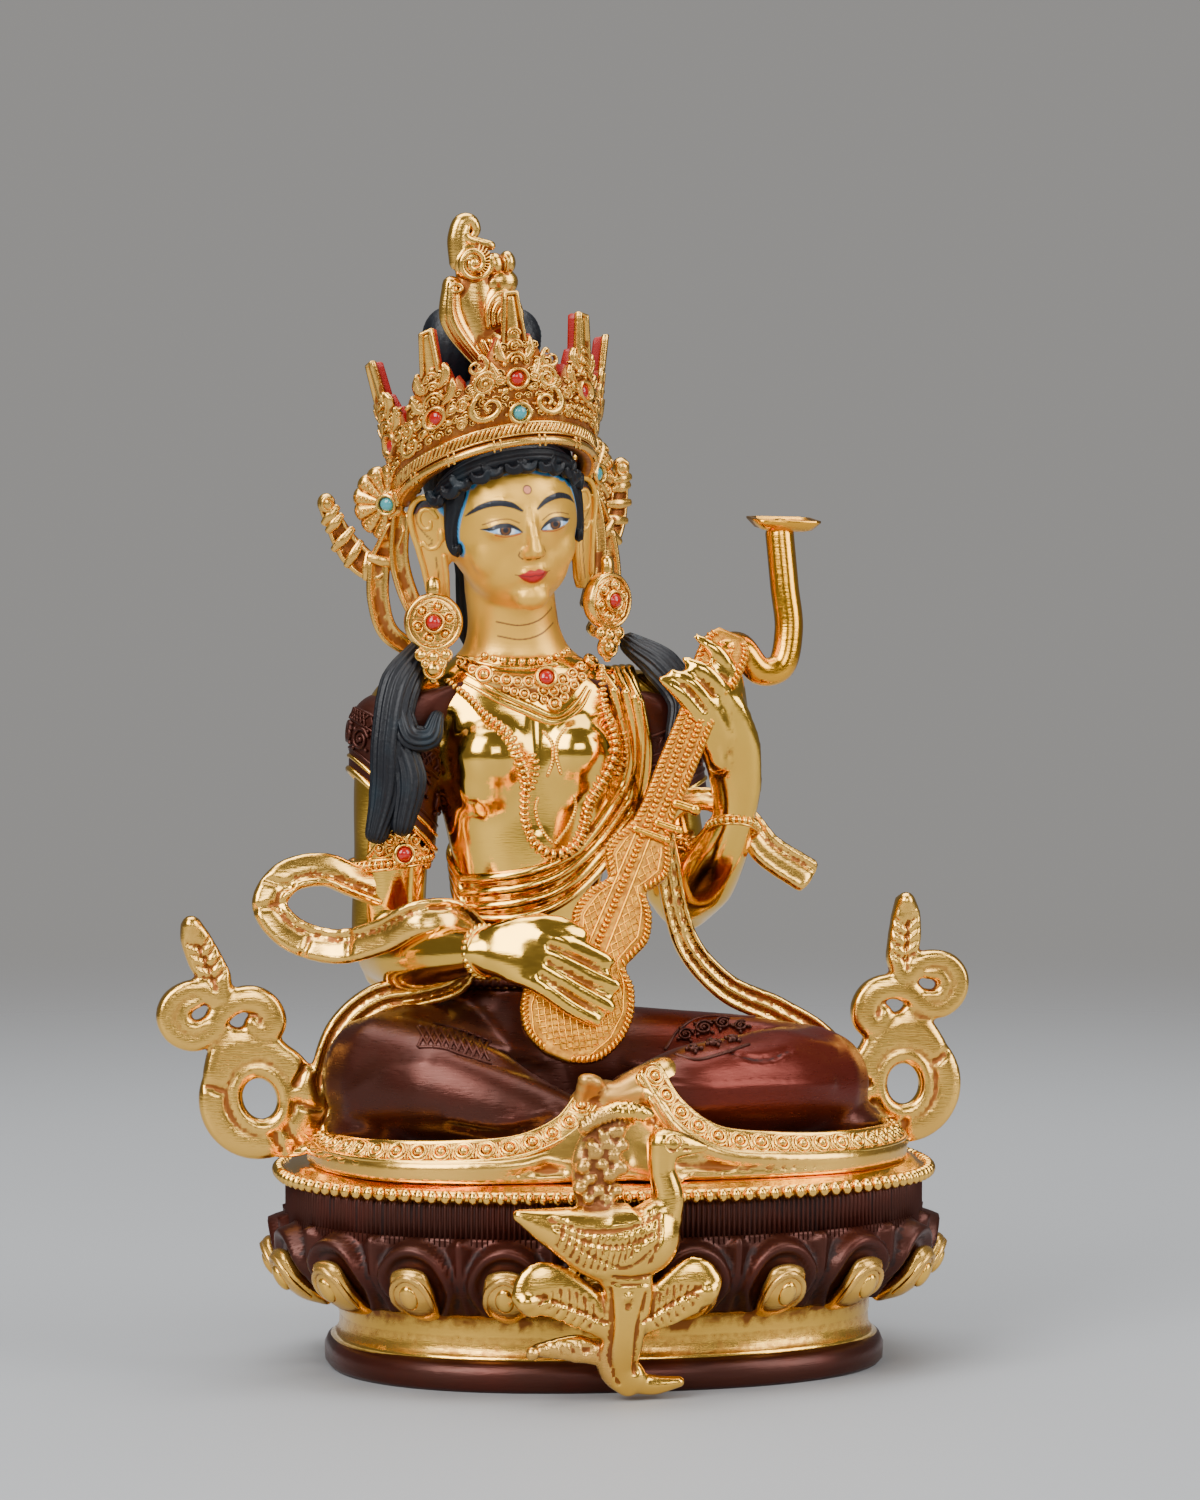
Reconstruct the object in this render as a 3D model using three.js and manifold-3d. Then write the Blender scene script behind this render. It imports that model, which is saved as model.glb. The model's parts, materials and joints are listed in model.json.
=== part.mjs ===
// A seated Saraswati figure of cast, partly gilded copper on a lotus base.
// Millimetres, +Z up. The origin is the centre of the base's underside and the figure faces -Y.
// Left and right in the names of the pieces are the figure's own.
import * as THREE from "three";
import { mergeVertices } from "three/addons/utils/BufferGeometryUtils.js";
import Module from "manifold-3d";

const wasm = await Module();
wasm.setup();

// Lotus base.
const footHalfWidth = 51;
const footHalfDepth = 38;
const footHeight = 5.5;
const waistHalfWidth = 48.5;
const waistHalfDepth = 34.5;
const waistHeight = 8;
const lotusHalfWidth = 58;
const lotusHalfDepth = 42.5;
const petalHeight = 14;
const petalCount = 20;
const petalThickness = 3;
const stamenHeight = 6.5;
const beadRimRadius = 1.3;
const daisHeight = 0.9;

// Figure, and what it wears and holds.
const figureHeight = 173;
const luteLength = 84;
const luteThickness = 4.4;
const trayWidth = 12;
const trayDepth = 9;
const trayThickness = 1.8;
const crownBandHeight = 5;
const crownPlateThickness = 2.2;
const earringRadius = 5.3;
const earringThickness = 2.4;
const scarfWidth = 6;
const scarfThickness = 2.2;
const scrollHeight = 46;
const scrollThickness = 3.2;
const swanHeight = 52;
const stoneRadius = 1.35;
const stoneHeight = 1.8;
const stoneSeatDepth = 0.9;

// Gaps between pieces that touch.
const fitGap = 0.3;

const waistTop = footHeight + waistHeight;
const petalTop = waistTop + petalHeight;
const stamenTop = petalTop + stamenHeight;
const baseTop = stamenTop + 2 * beadRimRadius + daisHeight;
const seatHeight = baseTop + fitGap;

const copper = new THREE.MeshStandardMaterial({ color: 0x4a1f14, roughness: 0.42, metalness: 0.6 });
const gilt = new THREE.MeshStandardMaterial({ color: 0xe3b04b, roughness: 0.22, metalness: 1 });
const coral = new THREE.MeshStandardMaterial({ color: 0xd8230f, roughness: 0.3, metalness: 0 });
const turquoise = new THREE.MeshStandardMaterial({ color: 0x4fb6b8, roughness: 0.35, metalness: 0 });

// The free form of the figure is drawn from its seat upwards, as shares of its own height.
const drawnFigureHeight = 173;
const share = figureHeight / drawnFigureHeight;
const at = (x, y, z) => new THREE.Vector3(x, y, z).multiplyScalar(share);
const points = (list) => list.map((p) => at(...p));

const bare = (geometry) => {
  geometry.deleteAttribute("uv");
  geometry.deleteAttribute("normal");
  return geometry;
};

// A closed mesh as a solid for joining and cutting.
function toSolid(geometry) {
  const merged = mergeVertices(bare(geometry), 1e-4);
  return new wasm.Manifold(
    new wasm.Mesh({
      numProp: 3,
      vertProperties: new Float32Array(merged.attributes.position.array),
      triVerts: new Uint32Array(merged.index.array),
    }),
  );
}

function toGeometry(solid) {
  const { vertProperties, triVerts } = solid.getMesh();
  const geometry = new THREE.BufferGeometry();
  geometry.setAttribute("position", new THREE.BufferAttribute(new Float32Array(vertProperties), 3));
  geometry.setIndex(new THREE.BufferAttribute(new Uint32Array(triVerts), 1));
  geometry.computeVertexNormals();
  return geometry;
}

const join = (geometries) => geometries.map(toSolid).reduce((whole, next) => whole.add(next));

// The piece itself after a cut, without the slivers that the cut leaves beside it.
const mainBody = (solid) =>
  solid.decompose().reduce((most, next) => (next.volume() > most.volume() ? next : most));

// A closed skin over rings of equally many points, with a cap at each end.
function skin(rings) {
  const sides = rings[0].length;
  const corners = rings.flat();
  const faces = [];
  for (let r = 0; r + 1 < rings.length; r++) {
    for (let s = 0; s < sides; s++) {
      const a = r * sides + s;
      const b = r * sides + ((s + 1) % sides);
      faces.push(a, b, b + sides, a, b + sides, a + sides);
    }
  }
  const last = (rings.length - 1) * sides;
  for (let s = 1; s + 1 < sides; s++) {
    faces.push(0, s + 1, s);
    faces.push(last, last + s, last + s + 1);
  }
  const geometry = new THREE.BufferGeometry().setFromPoints(corners);
  geometry.setIndex(faces);
  return volumeOf(geometry) < 0 ? turnedOut(geometry) : geometry;
}

function volumeOf(geometry) {
  const position = geometry.attributes.position;
  const corner = [0, 1, 2].map(() => new THREE.Vector3());
  let volume = 0;
  for (let i = 0; i < geometry.index.count; i += 3) {
    corner.forEach((c, k) => c.fromBufferAttribute(position, geometry.index.getX(i + k)));
    volume += corner[0].dot(corner[1].clone().cross(corner[2])) / 6;
  }
  return volume;
}

function turnedOut(geometry) {
  const faces = Array.from(geometry.index.array);
  for (let i = 0; i < faces.length; i += 3) {
    [faces[i + 1], faces[i + 2]] = [faces[i + 2], faces[i + 1]];
  }
  geometry.setIndex(faces);
  return geometry;
}

// The value at t, from 0 to 1, of a number or of a list of evenly spaced numbers.
function reading(values, t) {
  if (typeof values === "number") return values;
  const place = t * (values.length - 1);
  const i = Math.min(Math.floor(place), values.length - 2);
  return values[i] + (values[i + 1] - values[i]) * (place - i);
}

// A limb, strap or strand swept along a smooth line: side is its half width and deep its half
// thickness towards facing, both in millimetres. square 1 is an oval section and 0 a flat-sided one.
// It starts square, inside another form, and ends in a rounded tip.
function limb(path, { side, deep = side, facing = [0, -1, 0], sides = 8, steps = 5, grow = 0, square = 1 }) {
  const curve = new THREE.CatmullRomCurve3(path, false, "centripetal");
  const face = new THREE.Vector3(...facing);
  const squared = (v) => Math.sign(v) * Math.abs(v) ** square;
  const ringAt = (t, shift = 0, shrink = 1) => {
    const along = curve.getTangent(t);
    const across = new THREE.Vector3().crossVectors(along, face).normalize();
    const out = new THREE.Vector3().crossVectors(across, along);
    const centre = curve.getPoint(t).addScaledVector(along, shift);
    const w = (reading(side, t) + grow) * shrink;
    const d = (reading(deep, t) + grow) * shrink;
    return Array.from({ length: sides }, (_, k) => {
      const a = ((k + 0.5) / sides) * 2 * Math.PI;
      return centre
        .clone()
        .addScaledVector(across, w * squared(Math.cos(a)))
        .addScaledVector(out, d * squared(Math.sin(a)));
    });
  };
  const tip = 0.45 * (Math.min(reading(side, 1), reading(deep, 1)) + grow);
  const along = Array.from({ length: steps + 1 }, (_, k) => ringAt(k / steps));
  return skin([...along, ringAt(1, tip, 0.6)]);
}

// A limb of the figure: its places and thicknesses are shares of the figure's height.
function fleshed(list, { side, deep = side, ...rest }) {
  const sized = (v) => (typeof v === "number" ? v * share : v.map((r) => r * share));
  return limb(points(list), { side: sized(side), deep: sized(deep), ...rest });
}

// A turned oval ball of the figure, with half sizes along its own axes.
function ball([x, y, z], radii, { turn = [0, 0, 0], grow = 0, detail = 8 } = {}) {
  const geometry = new THREE.SphereGeometry(1, detail, Math.ceil(detail * 0.6));
  geometry.scale(...radii.map((r) => r * share + grow));
  geometry.applyMatrix4(new THREE.Matrix4().makeRotationFromEuler(new THREE.Euler(...turn)));
  const centre = at(x, y, z);
  return geometry.translate(centre.x, centre.y, centre.z);
}

// A flat plate cut to an outline in X and Z, with its middle plane at y = 0.
function plate(outline, thickness) {
  const shape = new THREE.Shape(outline.map(([x, z]) => new THREE.Vector2(x, z)));
  const geometry = new THREE.ExtrudeGeometry(shape, { depth: thickness, bevelEnabled: false });
  return geometry.rotateX(Math.PI / 2).translate(0, thickness / 2, 0);
}

// The plan of the base: an oval with slightly squared ends.
const ovalPower = 2.35;

function ovalPoint(angle, halfWidth, halfDepth, z) {
  const eased = (v) => Math.sign(v) * Math.abs(v) ** (2 / ovalPower);
  return new THREE.Vector3(eased(Math.cos(angle)) * halfWidth, eased(Math.sin(angle)) * halfDepth, z);
}

// The line round the lotus, read by its length.
function ovalLine(halfWidth, halfDepth, z = 0) {
  const fine = 360;
  const pointAt = (_, k) => ovalPoint((k / fine) * 2 * Math.PI, halfWidth, halfDepth, z);
  const line = Array.from({ length: fine }, pointAt);
  const curve = new THREE.CatmullRomCurve3(line, true);
  curve.arcLengthDivisions = fine;
  return curve;
}

// A ring with its corners between the petals.
function ovalRing(halfWidth, halfDepth, z) {
  const line = ovalLine(halfWidth, halfDepth, z);
  return Array.from({ length: petalCount }, (_, k) => line.getPointAt(k / petalCount));
}

// The middles of the petals, with the outward direction and the pitch between them.
function petalPlaces() {
  const line = ovalLine(lotusHalfWidth, lotusHalfDepth);
  const pitch = line.getLength() / petalCount;
  return Array.from({ length: petalCount }, (_, k) => {
    const u = (k + 0.5) / petalCount;
    const along = line.getTangentAt(u);
    return { place: line.getPointAt(u), outward: Math.atan2(-along.x, along.y), pitch };
  });
}

// The body of the base: foot, waist, the swell behind the petals, stamen band, bead rim and dais.
function pedestal(grow) {
  const round = 1;
  const flare = 2;
  const rimCentre = stamenTop + beadRimRadius;
  const profile = [
    [footHalfWidth, footHalfDepth, -grow],
    [footHalfWidth - round, footHalfDepth - round, footHeight],
    [waistHalfWidth, waistHalfDepth, footHeight],
    [waistHalfWidth, waistHalfDepth, waistTop - flare],
    [waistHalfWidth + flare, waistHalfDepth + flare, waistTop],
    [lotusHalfWidth, lotusHalfDepth, waistTop + petalHeight * 0.6],
    [lotusHalfWidth, lotusHalfDepth, stamenTop],
    [lotusHalfWidth + 2 * beadRimRadius, lotusHalfDepth + 2 * beadRimRadius, rimCentre],
    [lotusHalfWidth, lotusHalfDepth, rimCentre + beadRimRadius],
    [lotusHalfWidth - flare, lotusHalfDepth - flare, baseTop + grow],
  ];
  return skin(profile.map(([w, d, z]) => ovalRing(w + grow, d + grow, z)));
}

// A broad petal that leans out, and the curled tip that rises from its foot. Widths are shares of the
// pitch between petals, heights are shares of the petal's own and reaches shares of its thickness.
const petalShape = { reach: 1.4, halfWidth: 0.47, lean: 0.28, rise: 0.57 };
const curlShape = { reach: 1, halfWidth: 0.22, halfHeight: 0.42, lean: 0.5, out: 0.6, rise: 0.36 };

function petal({ place, outward, pitch }, grow) {
  const broad = new THREE.SphereGeometry(1, 6, 2).rotateX(Math.PI / 2).rotateY(Math.PI / 2);
  const broadSize = [petalThickness * petalShape.reach, pitch * petalShape.halfWidth, petalHeight / 2];
  broad.scale(...broadSize.map((v) => v + grow)).rotateY(petalShape.lean);
  broad.translate(0, 0, petalHeight * petalShape.rise);
  const curl = new THREE.SphereGeometry(1, 4, 2);
  const curlSize = [
    petalThickness * curlShape.reach,
    pitch * curlShape.halfWidth,
    petalHeight * curlShape.halfHeight,
  ];
  curl.scale(...curlSize.map((v) => v + grow)).rotateY(curlShape.lean);
  curl.translate(petalThickness * curlShape.out, 0, petalHeight * curlShape.rise);
  return [broad, curl].map((g) => g.rotateZ(outward).translate(place.x, place.y, waistTop));
}

const baseForms = (grow = 0) => [pedestal(grow), ...petalPlaces().flatMap((place) => petal(place, grow))];
const baseSolid = join(baseForms());

// The trunk as level oval sections from the seat to the neck: x, y, half width, half depth, height.
const trunkSections = [
  [-14.5, 9, 15.5, 12.5, 3],
  [-14.5, 9.3, 16.4, 12.8, 15],
  [-13.8, 9.5, 14, 10.4, 31],
  [-13.2, 9, 12.9, 9.3, 41],
  [-12.8, 8.3, 13.8, 9.6, 51],
  [-12.6, 7.5, 16.2, 10.2, 62],
  [-13, 7, 19.8, 10.5, 75],
  [-13.8, 7.5, 20.5, 9, 84],
  [-14.6, 7.5, 14.5, 8, 89],
  [-15.2, 7.2, 9.4, 7.8, 92.5],
  [-15.8, 6.6, 8.1, 7.6, 97],
  [-17, 5.5, 7.9, 7.8, 108],
];

function trunk(grow) {
  const sides = 10;
  const section = ([x, y, w, d, z]) =>
    Array.from({ length: sides }, (_, k) => {
      const a = (k / sides) * 2 * Math.PI;
      const reach = new THREE.Vector3((w * share + grow) * Math.cos(a), (d * share + grow) * Math.sin(a), 0);
      return at(x, y, z).add(reach);
    });
  return skin(trunkSections.map(section));
}

// Legs folded under the robe, with the knees out and the shins crossed in front.
function foldedLegs(grow) {
  const lying = { facing: [0, 0, 1], grow };
  return [
    fleshed([[-20, 8, 16], [-34, 0, 16.5], [-41, -8, 16]], { side: [11, 12, 11], steps: 3, ...lying }),
    fleshed([[-42.4, -8, 15.6], [-32, -18, 14.5], [-20, -26, 11], [-10, -30, 8.5]], {
      side: [10.6, 10.2, 7.6, 4.8],
      deep: [11.6, 10.4, 7.4, 4.6],
      steps: 4,
      ...lying,
    }),
    fleshed([[-4, 8, 16], [22, 2, 14], [37, -6, 13]], { side: [11, 11, 10.4], steps: 3, ...lying }),
    fleshed([[37.6, -7, 12.8], [26, -17, 13.5], [10, -26, 14], [0, -29, 13]], {
      side: [10.4, 10, 8, 5.4],
      deep: [10.6, 10, 8, 5.2],
      steps: 4,
      ...lying,
    }),
    ball([-5.5, -31, 15.5], [6.2, 3.6, 4.4], { grow, turn: [0, 0.5, 0], detail: 7 }),
  ];
}

// The robe spread over the seat, its embroidered hem and the cloth that falls between the shins.
const robe = { halfWidth: 53, front: 36, back: 26, thickness: 3.2, folds: 11, foldDepth: 0.012 };

function spreadRobe(grow) {
  const count = 2 * robe.folds;
  const ring = (inset, z) =>
    Array.from({ length: count }, (_, k) => {
      const a = (k / count) * 2 * Math.PI;
      const depth = Math.sin(a) < 0 ? robe.front : robe.back;
      const flat = ovalPoint(a, robe.halfWidth - inset, depth - inset, 0);
      const fold = 1 + robe.foldDepth * Math.cos(robe.folds * a);
      return at(flat.x * fold, flat.y * fold, z);
    });
  return skin([ring(0.6, -grow / share), ring(0, robe.thickness / 2), ring(1.2, robe.thickness)]);
}

function robeHem(grow) {
  const band = { side: 2.4, deep: 1.3, steps: 6, sides: 4, grow };
  return [
    fleshed([[-9, -32.5, 13], [-13, -35, 9], [-21, -37, 5.5], [-33, -34.5, 4.4], [-45, -28, 4],
      [-51, -17, 3.6]], {
      ...band,
      facing: [-0.2, -1, 0.7],
    }),
    fleshed([[2, -33.5, 18.5], [6, -35.5, 12], [13, -37, 6.5], [26, -35.5, 4.6], [40, -30, 4],
      [50, -17, 3.6]], {
      ...band,
      facing: [0.2, -1, 0.7],
    }),
    fleshed([[-5, -30, 13], [-6, -35, 8], [-7, -39, 3.6]], {
      side: [3, 5, 8],
      deep: [3, 3, 2.2],
      steps: 3,
      grow,
    }),
  ];
}

function arms(grow) {
  return [
    fleshed([[-27, 7.5, 82], [-35, 7.5, 80.5], [-37.4, 8, 70], [-38, 9, 55], [-38.4, 10, 40],
      [-38, 9.6, 34.5]], {
      side: [6, 7.6, 7.4, 6.8, 6.8, 5.6],
      sides: 6,
      grow,
    }),
    fleshed([[-38.4, 9, 37], [-35.6, -2, 37], [-30.6, -13, 38.2], [-26.6, -20, 39]], {
      side: [6.4, 7, 5.6, 4.4],
      deep: [6.4, 6.6, 5.2, 4],
      facing: [0, 0, 1],
      sides: 6,
      steps: 3,
      grow,
    }),
    fleshed([[0, 7.5, 82], [8.5, 7.5, 80.5], [11, 8.6, 70], [14, 11, 57], [16.6, 13, 47], [17.4, 12, 44.5]], {
      side: [6, 7.4, 7.2, 6.6, 6.4, 5],
      sides: 6,
      grow,
    }),
    fleshed([[17.4, 12.4, 46], [19.4, 5, 50], [21.6, -2, 56], [23, -5.6, 61]], {
      side: [6.2, 6.4, 5, 4],
      facing: [1, 0, 0.3],
      sides: 6,
      steps: 3,
      grow,
    }),
  ];
}

// The right hand lies over the strings, its four fingers side by side.
const rightFingers = [
  [[-14.4, -26.9, 41.8], [-9, -26.8, 39.7], [-4.1, -26.9, 37.5]],
  [[-14.7, -27.2, 39], [-8.2, -27.4, 35.7], [-3.2, -27.9, 33.3]],
  [[-15.4, -27.3, 36.2], [-9, -28, 32.3], [-4.2, -28.6, 29.7]],
  [[-17.1, -27.3, 34.1], [-11.3, -28.2, 29.9], [-6.8, -28.8, 27.2]],
];

function rightHand(grow) {
  const finger = { side: [2, 1.9, 1.3], deep: [1.9, 1.7, 1.2], sides: 4, steps: 2, grow };
  return [
    fleshed([[-26.4, -19.6, 39], [-21, -24.4, 39.2], [-15.4, -27.4, 38.2]], {
      side: [4.3, 5.4, 5.8],
      deep: [3.6, 2.9, 2.3],
      sides: 6,
      steps: 2,
      facing: [-0.3, -1, 0.2],
      grow,
    }),
    ...rightFingers.map((line) => fleshed(line, { ...finger, facing: [0, -1, 0.2] })),
    fleshed([[-22, -23.6, 43], [-15, -25.4, 44.6], [-8.6, -25.6, 42.6]], { ...finger, side: [2.2, 2, 1.4] }),
  ];
}

// The left hand rises beside the lute's neck, the thumb and fingers folded over its edge.
const leftFingers = [
  [[18.8, -11.2, 75.9], [19.2, -17.5, 77.5], [14.7, -18.1, 82.6], [7.8, -15.5, 86.9]],
  [[20.5, -10.6, 79.5], [20.8, -16.9, 80.9], [16.2, -17.7, 85], [10.3, -15.8, 86.8]],
  [[21.9, -10, 82.6], [22.3, -16.2, 84.1], [17.6, -17.2, 87.8], [12.5, -15.4, 89.7]],
  [[22.4, -9.5, 84.6], [23.2, -15.7, 86.9], [19, -16.6, 90.9], [14.4, -14.5, 93.1]],
];

function leftHand(grow) {
  const finger = { side: [1.9, 1.9, 1.7, 0.9], deep: [1.8, 1.8, 1.6, 0.9], sides: 4, steps: 3, grow };
  return [
    fleshed([[22.8, -5.4, 60], [23, -7, 68], [20.6, -6.8, 77], [18, -6.6, 86]], {
      side: [4.2, 5.2, 5.6, 5],
      deep: [3.4, 3.2, 3, 2.4],
      sides: 7,
      steps: 3,
      facing: [-0.5, -1, 0],
      grow,
    }),
    ...leftFingers.map((line) => fleshed(line, finger)),
  ];
}

// Bust, collar, bead string, sash and armlet.
function trunkOrnaments(grow) {
  const string = { side: 1.3, deep: 1.1, sides: 4, grow };
  return [
    ball([-20.8, -1.6, 72.5], [7.4, 6.6, 7.2], { grow, detail: 7 }),
    ball([-5.4, -1.8, 73.2], [7.2, 6.6, 7.2], { grow, detail: 7 }),
    fleshed([[-28, 1, 87], [-24.6, -4.6, 79.5], [-19, -8.4, 72], [-16.4, -6.6, 64], [-15, -4.6, 57.4],
      [-11, -4.4, 52.6], [-6.6, -4.6, 55], [-2.4, -6.4, 64], [1.2, -6.6, 72], [0.4, -3.6, 81],
      [-2, 0.6, 88]], {
      ...string,
      steps: 8,
    }),
    fleshed([[-25, 3.6, 92], [-20, -2.6, 86.5], [-11.4, -4.2, 86], [-5.6, -2.4, 86.5], [-4.6, 3.6, 92]], {
      ...string,
      side: [1.2, 2.6, 3.4, 2.6, 1.2],
      sides: 5,
    }),
    fleshed([[-2, 4, 91], [4, -2, 82], [6.6, -3.6, 71], [4, -3.6, 60], [-2, -3.2, 50.6], [-12, -1.4, 45.6],
      [-22, 1, 44.6], [-27, 8, 45]], {
      ...string,
      side: [3, 4.4, 4.6, 4.4, 4, 3.8, 3.8, 3.6],
      sides: 5,
      steps: 6,
    }),
    fleshed([[-46.4, 8, 54], [-42, 1.4, 53.6], [-37, -0.4, 55], [-32, 1, 52.6], [-30, 8, 52]], {
      ...string,
      side: [1, 1.2, 3.4, 1.2, 1],
      steps: 4,
    }),
  ];
}

// The head is drawn upright about its own centre and then turned, nodded and tipped into place.
const headPlace = [-17.4, 3, 116];
const headTurn = new THREE.Euler(0.12, -0.12, 0.16, "ZYX");

function inHead(geometry) {
  const turn = new THREE.Matrix4().makeRotationFromEuler(headTurn);
  return geometry.applyMatrix4(turn.setPosition(at(...headPlace)));
}

// The crown's plan is an oval round the brow, and its foot drops from the brow to the ears.
const crownPlan = { middle: -1.5, halfWidth: 16.6, halfDepth: 15.4, brow: 15.2, drop: 9.3 };

function crownFoot(angle) {
  const x = crownPlan.middle + crownPlan.halfWidth * Math.sin(angle);
  const y = -crownPlan.halfDepth * Math.cos(angle);
  return at(x, y, crownPlan.brow - crownPlan.drop * (1 - Math.cos(angle)));
}

// The roll of curls under the crown, which the crown's foot rests on.
function hairRoll(grow) {
  const radius = 2.3 * share;
  const reach = 1.7;
  const bends = 7;
  const inside = 0.93;
  const line = Array.from({ length: bends }, (_, k) => {
    const foot = crownFoot(reach * ((2 * k) / (bends - 1) - 1));
    return new THREE.Vector3(foot.x * inside, foot.y * inside, foot.z - radius - fitGap);
  });
  return limb(line, { side: radius, facing: [0, 0, 1], sides: 5, steps: 6, grow });
}

function head(grow) {
  const ear = { side: [3, 2.6, 1.6], deep: 1.3, sides: 5, steps: 2, grow };
  return [
    ball([0, -1.4, 0.6], [12.4, 12.6, 12.4], { grow }),
    ball([0, -3.6, -6.5], [10, 9.6, 9.4], { grow }),
    fleshed([[0, -13.4, 3], [0, -14.9, -1.4], [0, -15.8, -4.4]], {
      side: [1, 1.2, 1.9],
      deep: 1.3,
      sides: 5,
      steps: 2,
      grow,
    }),
    fleshed([[-12.8, 1.6, 3], [-13.6, 1.4, -3], [-13.4, 0.6, -13]], { ...ear, facing: [-1, 0, 0] }),
    fleshed([[12.8, 1.6, 3], [13.6, 1.4, -3], [13.4, 0.6, -13]], { ...ear, facing: [1, 0, 0] }),
    ball([0, 2.6, 5], [14.4, 14.4, 14.8], { grow }),
    hairRoll(grow),
    ball([-1, 4, 20], [9, 8.6, 9], { grow, detail: 7 }),
    ball([-5.6, 3, 31.6], [6, 5.6, 8], { grow, turn: [0, -0.5, 0], detail: 7 }),
    ball([5.4, 4, 31.6], [4.6, 4.6, 5.8], { grow, turn: [0, 0.3, 0], detail: 6 }),
  ].map(inHead);
}

// Hair that falls down the nape, and locks over both shoulders.
function hairLocks(grow) {
  const strand = { sides: 5, grow };
  return [
    fleshed([[-17.6, 12, 119], [-17, 14.4, 107], [-15.6, 15.4, 96], [-14.6, 16, 84]], {
      ...strand,
      side: [9, 7.6, 8.6, 4],
      deep: [4, 3.4, 3.2, 2],
      steps: 3,
    }),
    fleshed([[-33, 3, 92], [-37.4, -0.4, 86], [-39.4, -1.6, 76], [-40, -1, 66], [-42, -0.8, 58.6]], {
      ...strand,
      side: [2.4, 3.6, 3.4, 3.2, 2.2],
      deep: [2, 2.6, 2.4, 2.2, 1.6],
      steps: 4,
    }),
    fleshed([[-38, -1, 82], [-36, -3, 76.6], [-32.6, -3.4, 76.6], [-31.4, -2.8, 80]], {
      ...strand,
      side: [2.2, 2.4, 2.2, 1.4],
      deep: 2,
      steps: 3,
    }),
    fleshed([[-37.6, -1.8, 76], [-36, -2.2, 68], [-37.4, -1.8, 60.6]], {
      ...strand,
      side: [2, 2.8, 2],
      deep: 1.8,
      steps: 2,
    }),
    fleshed([[6, 6, 93], [11, 2, 89], [14.6, 0, 83], [13, -1.4, 76]], {
      ...strand,
      side: [2, 3.2, 3, 2],
      deep: 2.2,
      steps: 3,
    }),
  ];
}

const figureForms = (grow = 0) =>
  join([
    trunk(grow),
    ...foldedLegs(grow),
    spreadRobe(grow),
    ...robeHem(grow),
    ...arms(grow),
    ...rightHand(grow),
    ...leftHand(grow),
    ...trunkOrnaments(grow),
    ...head(grow),
    ...hairLocks(grow),
  ]);

// A block that fills everything below the seat, to cut the figure flat where it stands.
function belowSeat() {
  const reach = 2 * figureHeight;
  return toSolid(new THREE.BoxGeometry(reach, reach, reach).translate(0, 0, -reach / 2));
}

const figureSolid = mainBody(figureForms().subtract(belowSeat()));
const figureClearance = figureForms(fitGap);

// The crown's wall: a band with a rolled foot whose upper edge rises into five leaves. A leaf's edge
// is given as shares of its half angle and of its height above the band, as is its stone's height.
const leafEdge = [
  [-1, 0.28], [-0.64, 0.5], [-0.22, 0.6], [-0.13, 1], [0.13, 1], [0.22, 0.6], [0.64, 0.5],
];
const crownLeaves = [
  { angle: -1.51, half: 0.29, height: 19.6, stone: 0.23 },
  { angle: -0.87, half: 0.35, height: 20, stone: 0.22 },
  { angle: 0, half: 0.52, height: 22.5, stone: 0.32 },
  { angle: 0.87, half: 0.35, height: 20, stone: 0.3 },
  { angle: 1.51, half: 0.29, height: 19.6, stone: 0.32 },
];
const crownRoll = 0.5;
const wallFlare = (angle) => 0.2 * Math.sin(angle) ** 4;

function wallPoint(angle, out, rise) {
  const outward = new THREE.Vector3(Math.sin(angle), -Math.cos(angle), 0);
  const lifted = crownFoot(angle).addScaledVector(outward, out + wallFlare(angle) * rise);
  return lifted.add(new THREE.Vector3(0, 0, rise));
}

function crownWall() {
  const half = crownPlateThickness / 2;
  const edge = crownLeaves.flatMap((leaf) =>
    leafEdge.map(([u, v]) => ({
      angle: leaf.angle + u * leaf.half,
      rise: crownBandHeight + v * leaf.height * share,
    })));
  const end = { angle: -edge[0].angle, rise: edge[0].rise };
  const section = ({ angle, rise }) => [
    wallPoint(angle, -half, 0),
    wallPoint(angle, half + crownRoll, 0),
    wallPoint(angle, half + crownRoll, crownBandHeight * 0.8),
    wallPoint(angle, half, rise),
    wallPoint(angle, -half, rise),
  ];
  return skin([...edge, end].map(section));
}

const fan = { radius: 7.4, place: [[-20.4, 5.4, 4.6], [18.8, 5.4, 5.4]], turn: 0.7 };

function fanPlace(side) {
  const place = at(...fan.place[side < 0 ? 0 : 1]);
  return new THREE.Matrix4().makeRotationZ(side * fan.turn).setPosition(place);
}

function crownFan(side) {
  const steps = 8;
  const rim = Array.from({ length: steps }, (_, k) => {
    const a = -1.4 + (k / (steps - 1)) * 4.2;
    return [side * fan.radius * share * Math.cos(a), fan.radius * share * Math.sin(a)];
  });
  return plate(side > 0 ? rim : rim.reverse(), crownPlateThickness).applyMatrix4(fanPlace(side));
}

// Ribbons beside the ear: one that curls out and up, and two that hang down to the earring.
const ribbonSpread = { right: 1, left: 0.7 };

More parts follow.
